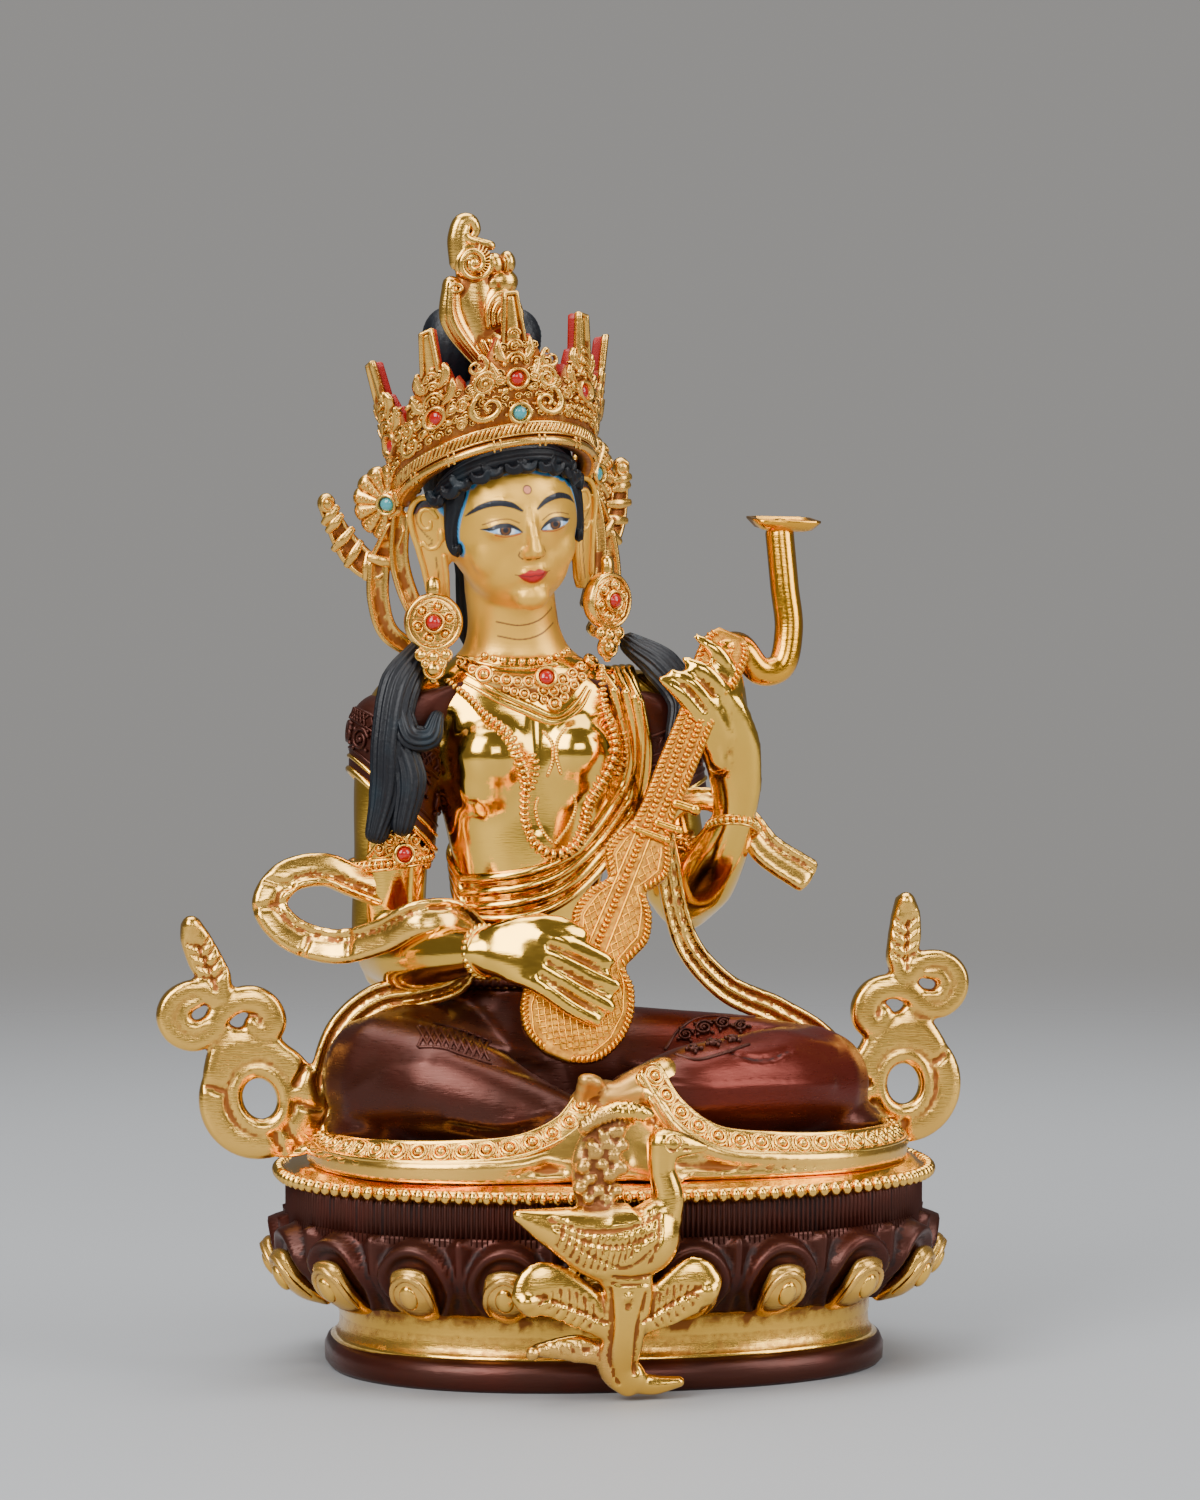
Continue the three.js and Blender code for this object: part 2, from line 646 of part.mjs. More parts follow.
function earRibbons(side) {
  const spread = side < 0 ? ribbonSpread.right : ribbonSpread.left;
  const place = (list) => list.map(([x, y, z]) => [side * (16 + (x - 16) * spread), y, z]);
  const strip = {
    deep: crownPlateThickness / 2 / share,
    sides: 4,
    square: 0,
    steps: 3,
    facing: [side * 0.25, -1, 0],
  };
  return [
    fleshed(place([[18.6, 5.2, 2], [19.6, 5, -6], [18, 4.2, -14], [15.6, 3.4, -18.5]]), {
      ...strip,
      side: 1.7,
    }),
    fleshed(place([[19.6, 5.4, 0], [23.6, 7.6, -7], [27, 9.6, -4], [30.8, 11, 4.6]]), {
      ...strip,
      side: [1.8, 2.4, 2.4, 1.2],
    }),
    fleshed(place([[23, 7, -6.4], [23.4, 6.8, -13], [22.4, 6, -19], [17, 4.6, -23.6]]), {
      ...strip,
      side: 1.8,
    }),
  ];
}

const crownForms = () =>
  join(
    [crownWall(), ...[-1, 1].flatMap((side) => [crownFan(side), ...earRibbons(side)])].map(inHead),
  );

// The flame-shaped finial that rises from behind the front leaf, before the hair knot.
function finial() {
  const stem = { sides: 5 };
  return join(
    [
      fleshed([[1.4, -6.4, 22], [-1.6, -6, 31], [-4.2, -5, 40], [-3.8, -4.4, 46.6], [-5.4, -4.2, 52],
        [-4.4, -4.2, 55.6]], {
        ...stem,
        side: [1.4, 3, 3.6, 3.6, 2.2, 1.4],
        deep: [1.4, 2, 2.2, 2, 1.6, 1.2],
        steps: 6,
      }),
      fleshed([[0.6, -6, 24], [-5.4, -5.6, 31.4], [-9, -5, 38], [-8.6, -4.8, 44]], {
        ...stem,
        side: [1.2, 1.9, 2.4, 1.6],
        deep: 1.7,
        steps: 3,
      }),
      ball([-0.2, -6, 38.4], [3.6, 3, 5.4], { detail: 6 }),
      ball([0.6, -5.4, 47], [2.7, 2.2, 2.2], { detail: 6 }),
    ].map(inHead),
  );
}

// The lute is drawn upright, from the foot of its bowl, in shares of its length: height, half width.
const luteProfile = [
  [0, 0.04], [0.03, 0.088], [0.08, 0.114], [0.14, 0.118], [0.2, 0.096], [0.235, 0.064], [0.305, 0.086],
  [0.36, 0.072], [0.4, 0.042], [0.45, 0.072], [0.49, 0.064], [0.54, 0.042], [0.82, 0.042], [0.9, 0.056],
  [0.97, 0.05], [1, 0.026],
];
const luteStem = [
  [0, 0, 0.96], [0.027, 0.036, 0.986], [0.089, 0.061, 0.96], [0.125, 0.071, 0.988], [0.112, 0.061, 1.068],
  [0.067, 0.042, 1.15], [0.012, 0.022, 1.252],
];
const luteStemRadius = 2.6;
const luteFoot = [-13.2, -25.4, 20.2];
const luteHead = [21.6, -11, 95.4];

function lutePlace() {
  const up = at(...luteHead).sub(at(...luteFoot)).normalize();
  const towards = new THREE.Vector3(0.12, 1, -0.2);
  const across = new THREE.Vector3().crossVectors(towards, up).normalize();
  const back = new THREE.Vector3().crossVectors(up, across);
  return new THREE.Matrix4().makeBasis(across, back, up).setPosition(at(...luteFoot));
}

function lute() {
  const edge = [...luteProfile.map(([z, w]) => [w, z]), ...luteProfile.map(([z, w]) => [-w, z]).reverse()];
  const body = plate(edge.map(([x, z]) => [x * luteLength, z * luteLength]), luteThickness);
  const stemLine = luteStem.map(([x, y, z]) => new THREE.Vector3(x, y, z).multiplyScalar(luteLength));
  const stem = limb(stemLine, { side: luteStemRadius, sides: 5, steps: 8 });
  const stemEnd = stemLine[stemLine.length - 1];
  const tray = new THREE.BoxGeometry(trayWidth, trayDepth, trayThickness);
  tray.rotateX(0.25).rotateY(-0.42).rotateZ(0.2);
  tray.translate(stemEnd.x, stemEnd.y, stemEnd.z + trayThickness / 2 + 0.4 * luteStemRadius);
  return join([body, stem, tray].map((g) => g.applyMatrix4(lutePlace())));
}

// A scarf strap with flat faces, as wide and as thick as the scarves are.
const strap = (list, options) =>
  limb(points(list), { side: scarfWidth / 2, deep: scarfThickness / 2, sides: 4, square: 0, ...options });

// The upright end of a scarf: a large ring, two smaller curls and a leaf tip, drawn for the left side
// about the ring's centre and leaned outwards.
const drawnScrollHeight = 46;

function scroll(side, [x, y, z], lean) {
  const size = scrollHeight / drawnScrollHeight;
  const line = (list) =>
    list.map(([u, v]) => {
      const out = u * Math.cos(lean) + v * Math.sin(lean);
      const up = v * Math.cos(lean) - u * Math.sin(lean);
      return at(x, y, z).add(new THREE.Vector3(side * out, 0, up).multiplyScalar(size));
    });
  const arc = ([u, v], radius, from, to, count) =>
    Array.from({ length: count }, (_, k) => {
      const a = from + ((to - from) * k) / (count - 1);
      return [u + radius * Math.cos(a), v + radius * Math.sin(a)];
    });
  const band = { deep: scrollThickness / 2, sides: 4, square: 0 };
  const turn = 2 * Math.PI;
  return [
    limb(line(arc([0, 0], 7.3, -0.33 * turn, 0.56 * turn, 12)), { ...band, side: 3.7 * size, steps: 8 }),
    limb(line(arc([4.4, 15.6], 4.1, -0.3 * turn, 0.5 * turn, 8)), { ...band, side: 2.1 * size, steps: 5 }),
    limb(line(arc([-4, 13.8], 3.9, 0.06 * turn, 0.84 * turn, 8)), { ...band, side: 2.1 * size, steps: 5 }),
    limb(line([[0.4, 18], [0.2, 22], [0.4, 26.4], [-0.4, 31.4]]), {
      ...band,
      side: [2.4, 2.6, 3.1, 1.6].map((w) => w * size),
      steps: 3,
    }),
  ];
}

// The right scarf loops out beside the arm, crosses over the forearm, and runs down to its scroll.
function rightScarf() {
  return join([
    strap([[-46.4, 3, 50], [-51, 2, 52.4], [-58, 1, 51.2], [-61.4, 0, 46.4], [-58, -1.4, 41.4],
      [-50, -4, 38.8], [-42, -9, 41], [-36, -13, 44.4], [-30, -12, 44.6], [-25.6, -8, 41], [-25, -3, 36]], {
      facing: [0.1, -1, 0.35],
      steps: 12,
    }),
    strap([[-25, -4, 37.4], [-28, -2, 32.4], [-34, -1.8, 30.4], [-42, -1.4, 28.8], [-48.4, -1.6, 23.4],
      [-51.4, -1.8, 15], [-52.6, -1.8, 8], [-55.6, -2, 3.6]], { side: 2.8, steps: 7 }),
    ...scroll(-1, [-63.4, -2, 11.4], 0.34),
  ]);
}

// The left scarf's short tail beside the forearm, and its long strap down to its scroll.
function leftScarf() {
  return join([
    strap([[10.4, 0.4, 60], [14, -0.4, 64], [20, 0.6, 64.4], [26, 0.6, 61], [30, -1, 55.4],
      [37.4, -2.4, 50.4]], {
      side: [1.8, 2, 2, 2.4, 3, 3.2],
      facing: [0.1, -1, 0.4],
      steps: 6,
    }),
    strap([[10.6, 0.6, 61.6], [12, 0.8, 53], [13.4, 1.2, 45], [16.4, 2, 37], [23.4, 2.6, 29.6],
      [33, 3.4, 25], [42, 4, 19], [47.6, 3, 10], [50, 2, 5]], {
      side: [2, 2.2, 2.2, 2.4, 2.6, 2.8, 2.8, 2.6],
      steps: 8,
    }),
    ...scroll(1, [56.6, 2, 11.4], -0.02),
  ]);
}

// The swan, the bud behind it and the lotus stem below, soldered before the base.
const drawnSwanHeight = 52;
const swanPlace = [-8, -(lotusHalfDepth + petalThickness + 4), 0];

function swanAndStem() {
  const size = swanHeight / drawnSwanHeight;
  const spot = (list) => list.map((p) => new THREE.Vector3(...p).multiplyScalar(size));
  const sized = (v) => (typeof v === "number" ? v * size : v.map((r) => r * size));
  const form = (list, { side, deep = side, ...rest }) =>
    limb(spot(list), { side: sized(side), deep: sized(deep), sides: 5, steps: 3, ...rest });
  return join(
    [
      form([[-15.6, 0, 33.4], [-9, -0.4, 31], [0, -1, 28.4], [6.6, -0.8, 29.6], [9.6, 0, 33]], {
        side: [1.2, 4, 7.2, 6.6, 4],
        deep: [1.2, 3, 4.6, 4.4, 3],
        sides: 7,
        steps: 4,
      }),
      form([[8.2, 0, 30], [10.6, -0.4, 35.6], [9.4, -0.4, 41], [9.6, -0.6, 45]], {
        side: [3.6, 2.8, 2.4, 3],
        deep: [3, 2.4, 2.2, 2.6],
      }),
      form([[9.4, -0.6, 45.4], [13, -0.8, 45.2], [17, -0.8, 44.6]], {
        side: [3, 2.2, 0.7],
        deep: [2.8, 1.8, 0.7],
        steps: 2,
      }),
      form([[-1, 0.6, 30], [-2.4, 0.8, 37], [-2, 0.8, 44], [2, 0.8, 49], [6.4, 0.8, 50.6]], {
        side: [2.6, 4.4, 5, 3.6, 2],
        deep: 2,
        steps: 4,
      }),
      form([[1, -1, 27], [3.4, -0.6, 21], [3, 1.2, 12], [2.4, 3.6, 6.4], [5, 4, 3.2]], {
        side: [5.6, 4.4, 3.6, 3.8, 3],
        deep: [3, 2.6, 2.6, 2.6, 2],
        steps: 4,
      }),
      form([[2, 1, 12], [-4, 0.6, 17], [-11.6, 0, 20.6], [-14.6, 0, 18]], {
        side: [2, 3.6, 4.4, 1.4],
        deep: 1.6,
      }),
      form([[3.6, 1, 13], [9.4, 0.4, 17], [15.6, 0, 20.6], [18.4, 0, 20]], {
        side: [2, 3.6, 4.6, 1.6],
        deep: 1.6,
      }),
      form([[1.6, 3.4, 7.4], [-5, 3, 9.6], [-12, 2.8, 9.6]], { side: [1.6, 2.6, 1.2], deep: 1.4, steps: 2 }),
      form([[4, 4, 3.4], [9, 4.4, 2.6], [13.4, 4.6, 3]], { side: [2, 1.8, 1], deep: 1.4, steps: 2 }),
    ].map((g) => g.translate(...swanPlace)),
  );
}

// An earring: a thick disc, the hook that holds it in the lobe, a cluster of beads and a drop.
const earrings = {
  right: { place: [-31.6, -1.4, 97.2], turn: -0.1 },
  left: { place: [0.8, 1.2, 101], turn: 0.6 },
};

function earringPlace({ place, turn }) {
  return new THREE.Matrix4().makeRotationZ(turn).setPosition(at(...place));
}

const bezelWidth = 1.2;
const bezelRise = 0.8;

function earring(which) {
  const disc = new THREE.CylinderGeometry(earringRadius, earringRadius, earringThickness, 10);
  const boss = new THREE.CylinderGeometry(stoneRadius + bezelWidth, stoneRadius, earringThickness, 6);
  boss.rotateX(Math.PI).translate(0, -bezelRise, 0);
  const hook = new THREE.BoxGeometry(2.6, 2, 3).translate(0, 0, earringRadius);
  const bead = 2.1;
  const cluster = new THREE.SphereGeometry(bead, 6, 3).scale(1.8, 1, 0.9);
  cluster.translate(0, 0, -earringRadius - 0.4 * bead);
  const drop = new THREE.SphereGeometry(bead, 6, 3).translate(0, 0, -earringRadius - 1.9 * bead);
  return join([disc, boss, hook, cluster, drop].map((g) => g.applyMatrix4(earringPlace(which))));
}

// A stone's place: the front face of its holder, and the way that face looks.
const turned = (x, y, z) => new THREE.Matrix4().makeRotationFromEuler(new THREE.Euler(x, y, z, "ZYX"));
const headMatrix = new THREE.Matrix4().makeRotationFromEuler(headTurn).setPosition(at(...headPlace));
const onHead = (matrix) => headMatrix.clone().multiply(matrix);
const forward = (matrix, out) => matrix.clone().multiply(new THREE.Matrix4().makeTranslation(0, -out, 0));
const wallFace = (angle, rise) =>
  onHead(turned(-wallFlare(angle), 0, angle).setPosition(wallPoint(angle, crownPlateThickness / 2, rise)));
const leafFace = (leaf) => wallFace(leaf.angle, crownBandHeight + leaf.stone * leaf.height * share);
const fanFace = (side) => onHead(forward(fanPlace(side), crownPlateThickness / 2));
const bezelFace = (which) => forward(earringPlace(which), earringThickness / 2 + bezelRise);
const browRise = crownBandHeight * 1.2;

const coralIn = (name, holder, face) => ({ name, material: coral, holder, face });
const turquoiseIn = (name, holder, face) => ({ name, material: turquoise, holder, face });
const stones = [
  coralIn("coral_crown_right_outer", "crown", leafFace(crownLeaves[0])),
  coralIn("coral_crown_right_inner", "crown", leafFace(crownLeaves[1])),
  coralIn("coral_crown_front", "crown", leafFace(crownLeaves[2])),
  coralIn("coral_crown_left_inner", "crown", leafFace(crownLeaves[3])),
  coralIn("coral_crown_left_outer", "crown", leafFace(crownLeaves[4])),
  turquoiseIn("turquoise_crown_front", "crown", wallFace(0, browRise)),
  turquoiseIn("turquoise_crown_right", "crown", fanFace(-1)),
  turquoiseIn("turquoise_crown_left", "crown", fanFace(1)),
  coralIn("coral_right_earring", "right_earring", bezelFace(earrings.right)),
  coralIn("coral_left_earring", "left_earring", bezelFace(earrings.left)),
  coralIn("coral_necklace", "goddess_figure", turned(-0.3, 0, 0).setPosition(at(-11.4, -4.4, 87.2))),
  coralIn("coral_armlet", "goddess_figure", turned(0, 0, 0.1).setPosition(at(-37, -1.4, 55.2))),
];

// A low domed stone whose foot goes into its seat, and the seat that it goes into.
function cabochon(face) {
  const round = new THREE.CylinderGeometry(stoneRadius, stoneRadius * 0.55, stoneHeight, 5);
  return toSolid(round.translate(0, stoneSeatDepth - stoneHeight / 2, 0).applyMatrix4(face));
}

function stoneSeat(face) {
  const radius = stoneRadius + fitGap;
  const depth = stoneSeatDepth + fitGap;
  const reach = 2 * stoneHeight;
  const hole = new THREE.CylinderGeometry(radius, radius, depth + reach, 5);
  return toSolid(hole.translate(0, depth - (depth + reach) / 2, 0).applyMatrix4(face));
}

const withSeats = (holder, solid) =>
  stones
    .filter((stone) => stone.holder === holder)
    .reduce((cut, stone) => cut.subtract(stoneSeat(stone.face)), solid);

// Pieces that rest against others are cut back from them by the gap.
const liftedBase = join(baseForms(fitGap).map((g) => g.translate(0, 0, -seatHeight)));
const clearOfFigure = (solid) => solid.subtract(figureClearance).subtract(liftedBase);

const gildedPieces = {
  goddess_figure: withSeats("goddess_figure", figureSolid),
  crown: withSeats("crown", clearOfFigure(crownForms())),
  topknot_finial: clearOfFigure(finial()),
  lute: clearOfFigure(lute()),
  right_scarf: clearOfFigure(rightScarf()),
  left_scarf: clearOfFigure(leftScarf()),
  right_earring: withSeats("right_earring", clearOfFigure(earring(earrings.right))),
  left_earring: withSeats("left_earring", clearOfFigure(earring(earrings.left))),
};

function named(name, solid, material) {
  const mesh = new THREE.Mesh(toGeometry(mainBody(solid)), material.clone());
  mesh.name = name;
  return mesh;
}

const seated = new THREE.Group();
seated.position.z = seatHeight;
Object.entries(gildedPieces).forEach(([name, solid]) => seated.add(named(name, solid, gilt)));
stones.forEach(({ name, face, material }) => seated.add(named(name, cabochon(face), material)));

const statue = new THREE.Group();
statue.add(named("lotus_base", baseSolid, copper));
statue.add(named("swan_and_lotus_stem", swanAndStem().subtract(join(baseForms(fitGap))), gilt));
statue.add(seated);

export default statue;
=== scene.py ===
import json
import math

import bpy
import numpy as np
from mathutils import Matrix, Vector
from mathutils.bvhtree import BVHTree

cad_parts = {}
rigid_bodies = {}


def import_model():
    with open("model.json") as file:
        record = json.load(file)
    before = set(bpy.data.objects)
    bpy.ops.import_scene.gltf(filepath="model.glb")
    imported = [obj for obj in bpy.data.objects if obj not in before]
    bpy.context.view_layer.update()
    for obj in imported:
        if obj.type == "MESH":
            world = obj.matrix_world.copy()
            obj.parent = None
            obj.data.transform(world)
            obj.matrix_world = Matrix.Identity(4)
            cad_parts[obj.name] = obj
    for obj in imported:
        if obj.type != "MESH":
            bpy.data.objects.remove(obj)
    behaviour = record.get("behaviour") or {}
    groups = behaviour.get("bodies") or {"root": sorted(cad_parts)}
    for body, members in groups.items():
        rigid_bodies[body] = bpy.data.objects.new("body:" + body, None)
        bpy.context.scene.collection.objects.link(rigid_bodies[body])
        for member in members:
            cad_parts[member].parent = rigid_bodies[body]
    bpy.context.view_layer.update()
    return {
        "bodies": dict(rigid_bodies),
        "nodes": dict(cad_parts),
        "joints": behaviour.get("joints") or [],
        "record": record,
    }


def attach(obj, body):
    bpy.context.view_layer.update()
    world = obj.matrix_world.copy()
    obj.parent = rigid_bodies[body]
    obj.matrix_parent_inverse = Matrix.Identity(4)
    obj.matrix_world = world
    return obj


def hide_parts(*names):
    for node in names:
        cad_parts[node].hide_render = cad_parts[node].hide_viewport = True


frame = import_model()
print("frame loaded")

# Everything is drawn in millimetres and made in metres.
mm = 0.001
seat = 37.8  # height of the base's top
viewPoint = np.array([-156.28, -886.33, 150.0])  # the camera's place
rng = np.random.default_rng(7)


# Lines and solids as plain lists of corners and faces.


# The length run so far at each point of a line.
def runAlong(line):
    return np.concatenate([[0], np.cumsum(np.linalg.norm(np.diff(line, axis=0), axis=1))])


# A smooth line through points that may carry more numbers than their place, and its share run at each.
def smoothLine(points, count, closed=False):
    p = np.asarray(points, float)
    if closed:
        p = np.vstack([p[-1:], p, p[:2]])
    else:
        p = np.vstack([2 * p[:1] - p[1:2], p, 2 * p[-1:] - p[-2:-1]])
    spans = len(p) - 3
    fine, shares = [], []
    for i in range(spans):
        a, b, c, d = p[i:i + 4]
        t1 = max(np.linalg.norm(b - a), 1e-6) ** 0.5
        t2 = t1 + max(np.linalg.norm(c - b), 1e-6) ** 0.5
        t3 = t2 + max(np.linalg.norm(d - c), 1e-6) ** 0.5
        t = np.linspace(t1, t2, 14, endpoint=False)[:, None]
        ab = (t1 - t) / t1 * a + t / t1 * b
        bc = (t2 - t) / (t2 - t1) * b + (t - t1) / (t2 - t1) * c
        cd = (t3 - t) / (t3 - t2) * c + (t - t2) / (t3 - t2) * d
        abc = (t2 - t) / t2 * ab + t / t2 * bc
        bcd = (t3 - t) / (t3 - t1) * bc + (t - t1) / (t3 - t1) * cd
        fine.append((t2 - t) / (t2 - t1) * abc + (t - t1) / (t2 - t1) * bcd)
        shares.append(np.linspace(i, i + 1, 14, endpoint=False) / spans)
    fine.append(p[-2:-1])
    shares.append([1.0])
    fine, shares = np.vstack(fine), np.concatenate(shares)
    run = runAlong(fine)
    u = np.linspace(0, run[-1], count + 1)[:-1] if closed else np.linspace(0, run[-1], count)
    line = np.stack([np.interp(u, run, fine[:, k]) for k in range(fine.shape[1])], axis=1)
    return line, np.interp(u, run, shares)


def readAt(values, t):
    if np.isscalar(values):
        return np.full(len(t), float(values))
    return np.interp(t, np.linspace(0, 1, len(values)), values)


def unit(v):
    v = np.asarray(v, float)
    return v / np.maximum(np.linalg.norm(v, axis=-1, keepdims=True), 1e-12)


# A closed skin over rings of points, with a middle point at each end.
def skinOf(rings, closedAlong=False, poles=None):
    rings = np.asarray(rings, float)
    count, around, _ = rings.shape
    verts = rings.reshape(-1, 3)
    r = np.arange(count if closedAlong else count - 1)[:, None] * around
    s = np.arange(around)[None, :]
    nextRing = (r + around) % (count * around)
    a, b = r + s, r + (s + 1) % around
    c, d = nextRing + (s + 1) % around, nextRing + s
    faces = np.stack([a, b, c, d], axis=-1).reshape(-1, 4).tolist()
    if not closedAlong:
        first, last = len(verts), len(verts) + 1
        ends = poles if poles is not None else (rings[0].mean(0), rings[-1].mean(0))
        verts = np.vstack([verts, ends[0], ends[1]])
        top = (count - 1) * around
        for k in range(around):
            n = (k + 1) % around
            faces.append([first, n, k])
            faces.append([last, top + k, top + n])
    return turnedOut(verts, faces)


def turnedOut(verts, faces):
    f = np.array([[q[0], q[1], q[2]] for q in faces] + [[q[0], q[2], q[3]] for q in faces if len(q) == 4])
    p = verts[f]
    volume = np.einsum("ij,ij->i", p[:, 0], np.cross(p[:, 1], p[:, 2])).sum()
    return verts, (faces if volume > 0 else [q[::-1] for q in faces])


# A form drawn along a line: side and deep are its half widths, facing is the way its face looks.
def sweep(points, side, deep=None, facing=(0, -1, 0), around=16, steps=24, square=1.0,
          section=None, closed=False, tips=(1, 1), ripple=None):
    deep = side if deep is None else deep
    line, t = smoothLine(points, steps, closed)
    if closed:
        along = unit(np.roll(line, -1, 0) - np.roll(line, 1, 0))
    else:
        along = unit(np.gradient(line, axis=0))
    across = unit(np.cross(along, np.broadcast_to(np.asarray(facing, float), along.shape)))
    out = np.cross(across, along)
    if section is None:
        angle = (np.arange(around) + 0.5) / around * 2 * np.pi
        section = np.stack([np.cos(angle), np.sin(angle)], axis=1)
        section = np.sign(section) * np.abs(section) ** square
    section = np.asarray(section, float)
    w, d = readAt(side, t), readAt(deep, t)
    if ripple is not None:
        w = w * (1 + ripple(t))
        d = d * (1 + ripple(t))

    def ringAt(i, shift=0.0, shrink=1.0):
        return (line[i] + along[i] * shift + across[i] * (section[:, :1] * w[i] * shrink)
                + out[i] * (section[:, 1:] * d[i] * shrink))

    rings = [ringAt(i) for i in range(len(line))]
    if closed:
        return skinOf(rings, closedAlong=True)
    last = len(line) - 1
    startLength, endLength = tips[0] * min(w[0], d[0]), tips[1] * min(w[last], d[last])
    bends = np.array([0.35, 0.65, 0.88]) * math.pi / 2
    front = [ringAt(0, -startLength * math.sin(a), math.cos(a)) for a in bends[::-1]]
    back = [ringAt(last, endLength * math.sin(a), math.cos(a)) for a in bends]
    poles = (line[0] - along[0] * startLength, line[last] + along[last] * endLength)
    return skinOf(front + rings + back, poles=poles)


def turnMatrix(x, y, z):
    cx, sx, cy, sy, cz, sz = math.cos(x), math.sin(x), math.cos(y), math.sin(y), math.cos(z), math.sin(z)
    rx = np.array([[1, 0, 0], [0, cx, -sx], [0, sx, cx]])
    ry = np.array([[cy, 0, sy], [0, 1, 0], [-sy, 0, cy]])
    rz = np.array([[cz, -sz, 0], [sz, cz, 0], [0, 0, 1]])
    return rz @ ry @ rx


def blob(centre, radii, turn=(0, 0, 0), around=24, rows=14):
    lat = np.linspace(0, math.pi, rows + 1)[1:-1]
    lon = np.arange(around) / around * 2 * math.pi
    rings = np.stack([np.stack([np.sin(a) * np.cos(lon), np.sin(a) * np.sin(lon),
                                np.full(around, math.cos(a))], axis=1) for a in lat])
    m = turnMatrix(*turn) * np.asarray(radii, float)
    place = np.asarray(centre, float)
    poles = (m @ np.array([0, 0, 1.0]) + place, m @ np.array([0, 0, -1.0]) + place)
    return skinOf(rings @ m.T + place, poles=poles)


# Flat ornament, drawn in x and y with z towards the eye.


def flatWire(points, width, height=None, lift=0.0, steps=24, around=8, closed=False, tips=(1, 1)):
    p = np.asarray(points, float)
    p = np.column_stack([p, np.full(len(p), lift)]) if p.shape[1] == 2 else p
    return sweep(p, width, width if height is None else height, facing=(0, 0, 1), around=around,
                 steps=steps, closed=closed, tips=tips)


def dome(x, y, rx, ry, height, turn=0.0, lift=0.0, around=11, rows=5):
    return blob((x, y, lift), (rx, ry, height), (0, 0, turn), around, rows)


def arcPoints(x, y, r0, r1, start, end, count):
    a = np.linspace(start, end, count)
    r = np.linspace(r0, r1, count)
    return np.stack([x + r * np.cos(a), y + r * np.sin(a)], axis=1)


def flatRing(x, y, radius, width, height=None, lift=0.0, steps=20, around=8):
    return flatWire(arcPoints(x, y, radius, radius, 0, 2 * math.pi * (1 - 1 / 12), 12), width, height, lift,
                    steps=steps, around=around, closed=True)


def moved(part, by=(0, 0, 0), turn=None, mirror=False):
    verts, faces = part
    verts = verts.copy()
    if mirror:
        verts[:, 0] *= -1
        faces = [f[::-1] for f in faces]
    if turn is not None:
        verts = verts @ turnMatrix(*turn).T
    return verts + np.asarray(by, float), faces


def allMoved(parts, **how):
    return [moved(part, **how) for part in parts]


# Pieces and what is done to them.


def makePiece(name, parts, marks=None, up=0.0):
    corners, faces, start = [], [], 0
    values = {key: [] for key in (marks or {})}
    for i, (verts, quads) in enumerate(parts):
        corners.append(verts)
        faces += [[k + start for k in q] for q in quads]
        start += len(verts)
        for key in values:
            value = marks[key][i] if isinstance(marks[key], (list, tuple)) else marks[key]
            values[key].append(np.full(len(verts), float(value)))
    mesh = bpy.data.meshes.new(name)
    mesh.from_pydata(((np.vstack(corners) + (0, 0, up)) * mm).tolist(), [], faces)
    mesh.update()
    piece = bpy.data.objects.new(name, mesh)
    bpy.context.collection.objects.link(piece)
    for key, value in values.items():
        setMark(piece, key, np.concatenate(value))
    return piece


def setMark(piece, key, values):
    mesh = piece.data
    layer = mesh.attributes.get(key) or mesh.attributes.new(key, "FLOAT", "POINT")
    layer.data.foreach_set("value", np.asarray(values, np.float32))


def readMark(piece, key):
    values = np.zeros(len(piece.data.vertices), np.float32)
    piece.data.attributes[key].data.foreach_get("value", values)
    return values


def readCorners(piece, what):
    flat = np.empty(len(piece.data.vertices) * 3, np.float32)
    piece.data.vertices.foreach_get(what, flat)
    return flat.reshape(-1, 3).astype(float)


def places(piece):
    return readCorners(piece, "co") / mm


def setPlaces(piece, verts):
    piece.data.vertices.foreach_set("co", (verts * mm).astype(np.float32).ravel())
    piece.data.update()


def normals(piece):
    return readCorners(piece, "normal")


def onlySelect(piece):
    bpy.ops.object.select_all(action="DESELECT")
    piece.select_set(True)
    bpy.context.view_layer.objects.active = piece


def finished(piece, kind, **settings):
    onlySelect(piece)
    step = piece.modifiers.new(kind.lower(), kind)
    for key, value in settings.items():
        setattr(step, key, value)
    bpy.ops.object.modifier_apply(modifier=step.name)


# Joins overlapping forms into one skin.
def blended(piece, voxel, smooth):
    finished(piece, "REMESH", mode="VOXEL", voxel_size=voxel * mm)
    finished(piece, "SMOOTH", factor=0.5, iterations=smooth)


# Evens out a part of a surface: weights says how much at each place.
def evened(piece, weights, iterations):
    group = piece.vertex_groups.new(name="evened")
    for k in np.flatnonzero(weights > 0.01):
        group.add([int(k)], float(weights[k]), "REPLACE")
    finished(piece, "SMOOTH", factor=0.5, iterations=iterations, vertex_group="evened")
    piece.vertex_groups.clear()


def lineDistance(verts, line):
    best = np.full(len(verts), 1e9)
    for a, b in zip(line[:-1], line[1:]):
        ab = b - a
        t = np.clip(((verts - a) @ ab) / max(ab @ ab, 1e-12), 0, 1)
        best = np.minimum(best, np.linalg.norm(verts - a - t[:, None] * ab, axis=1))
    return best


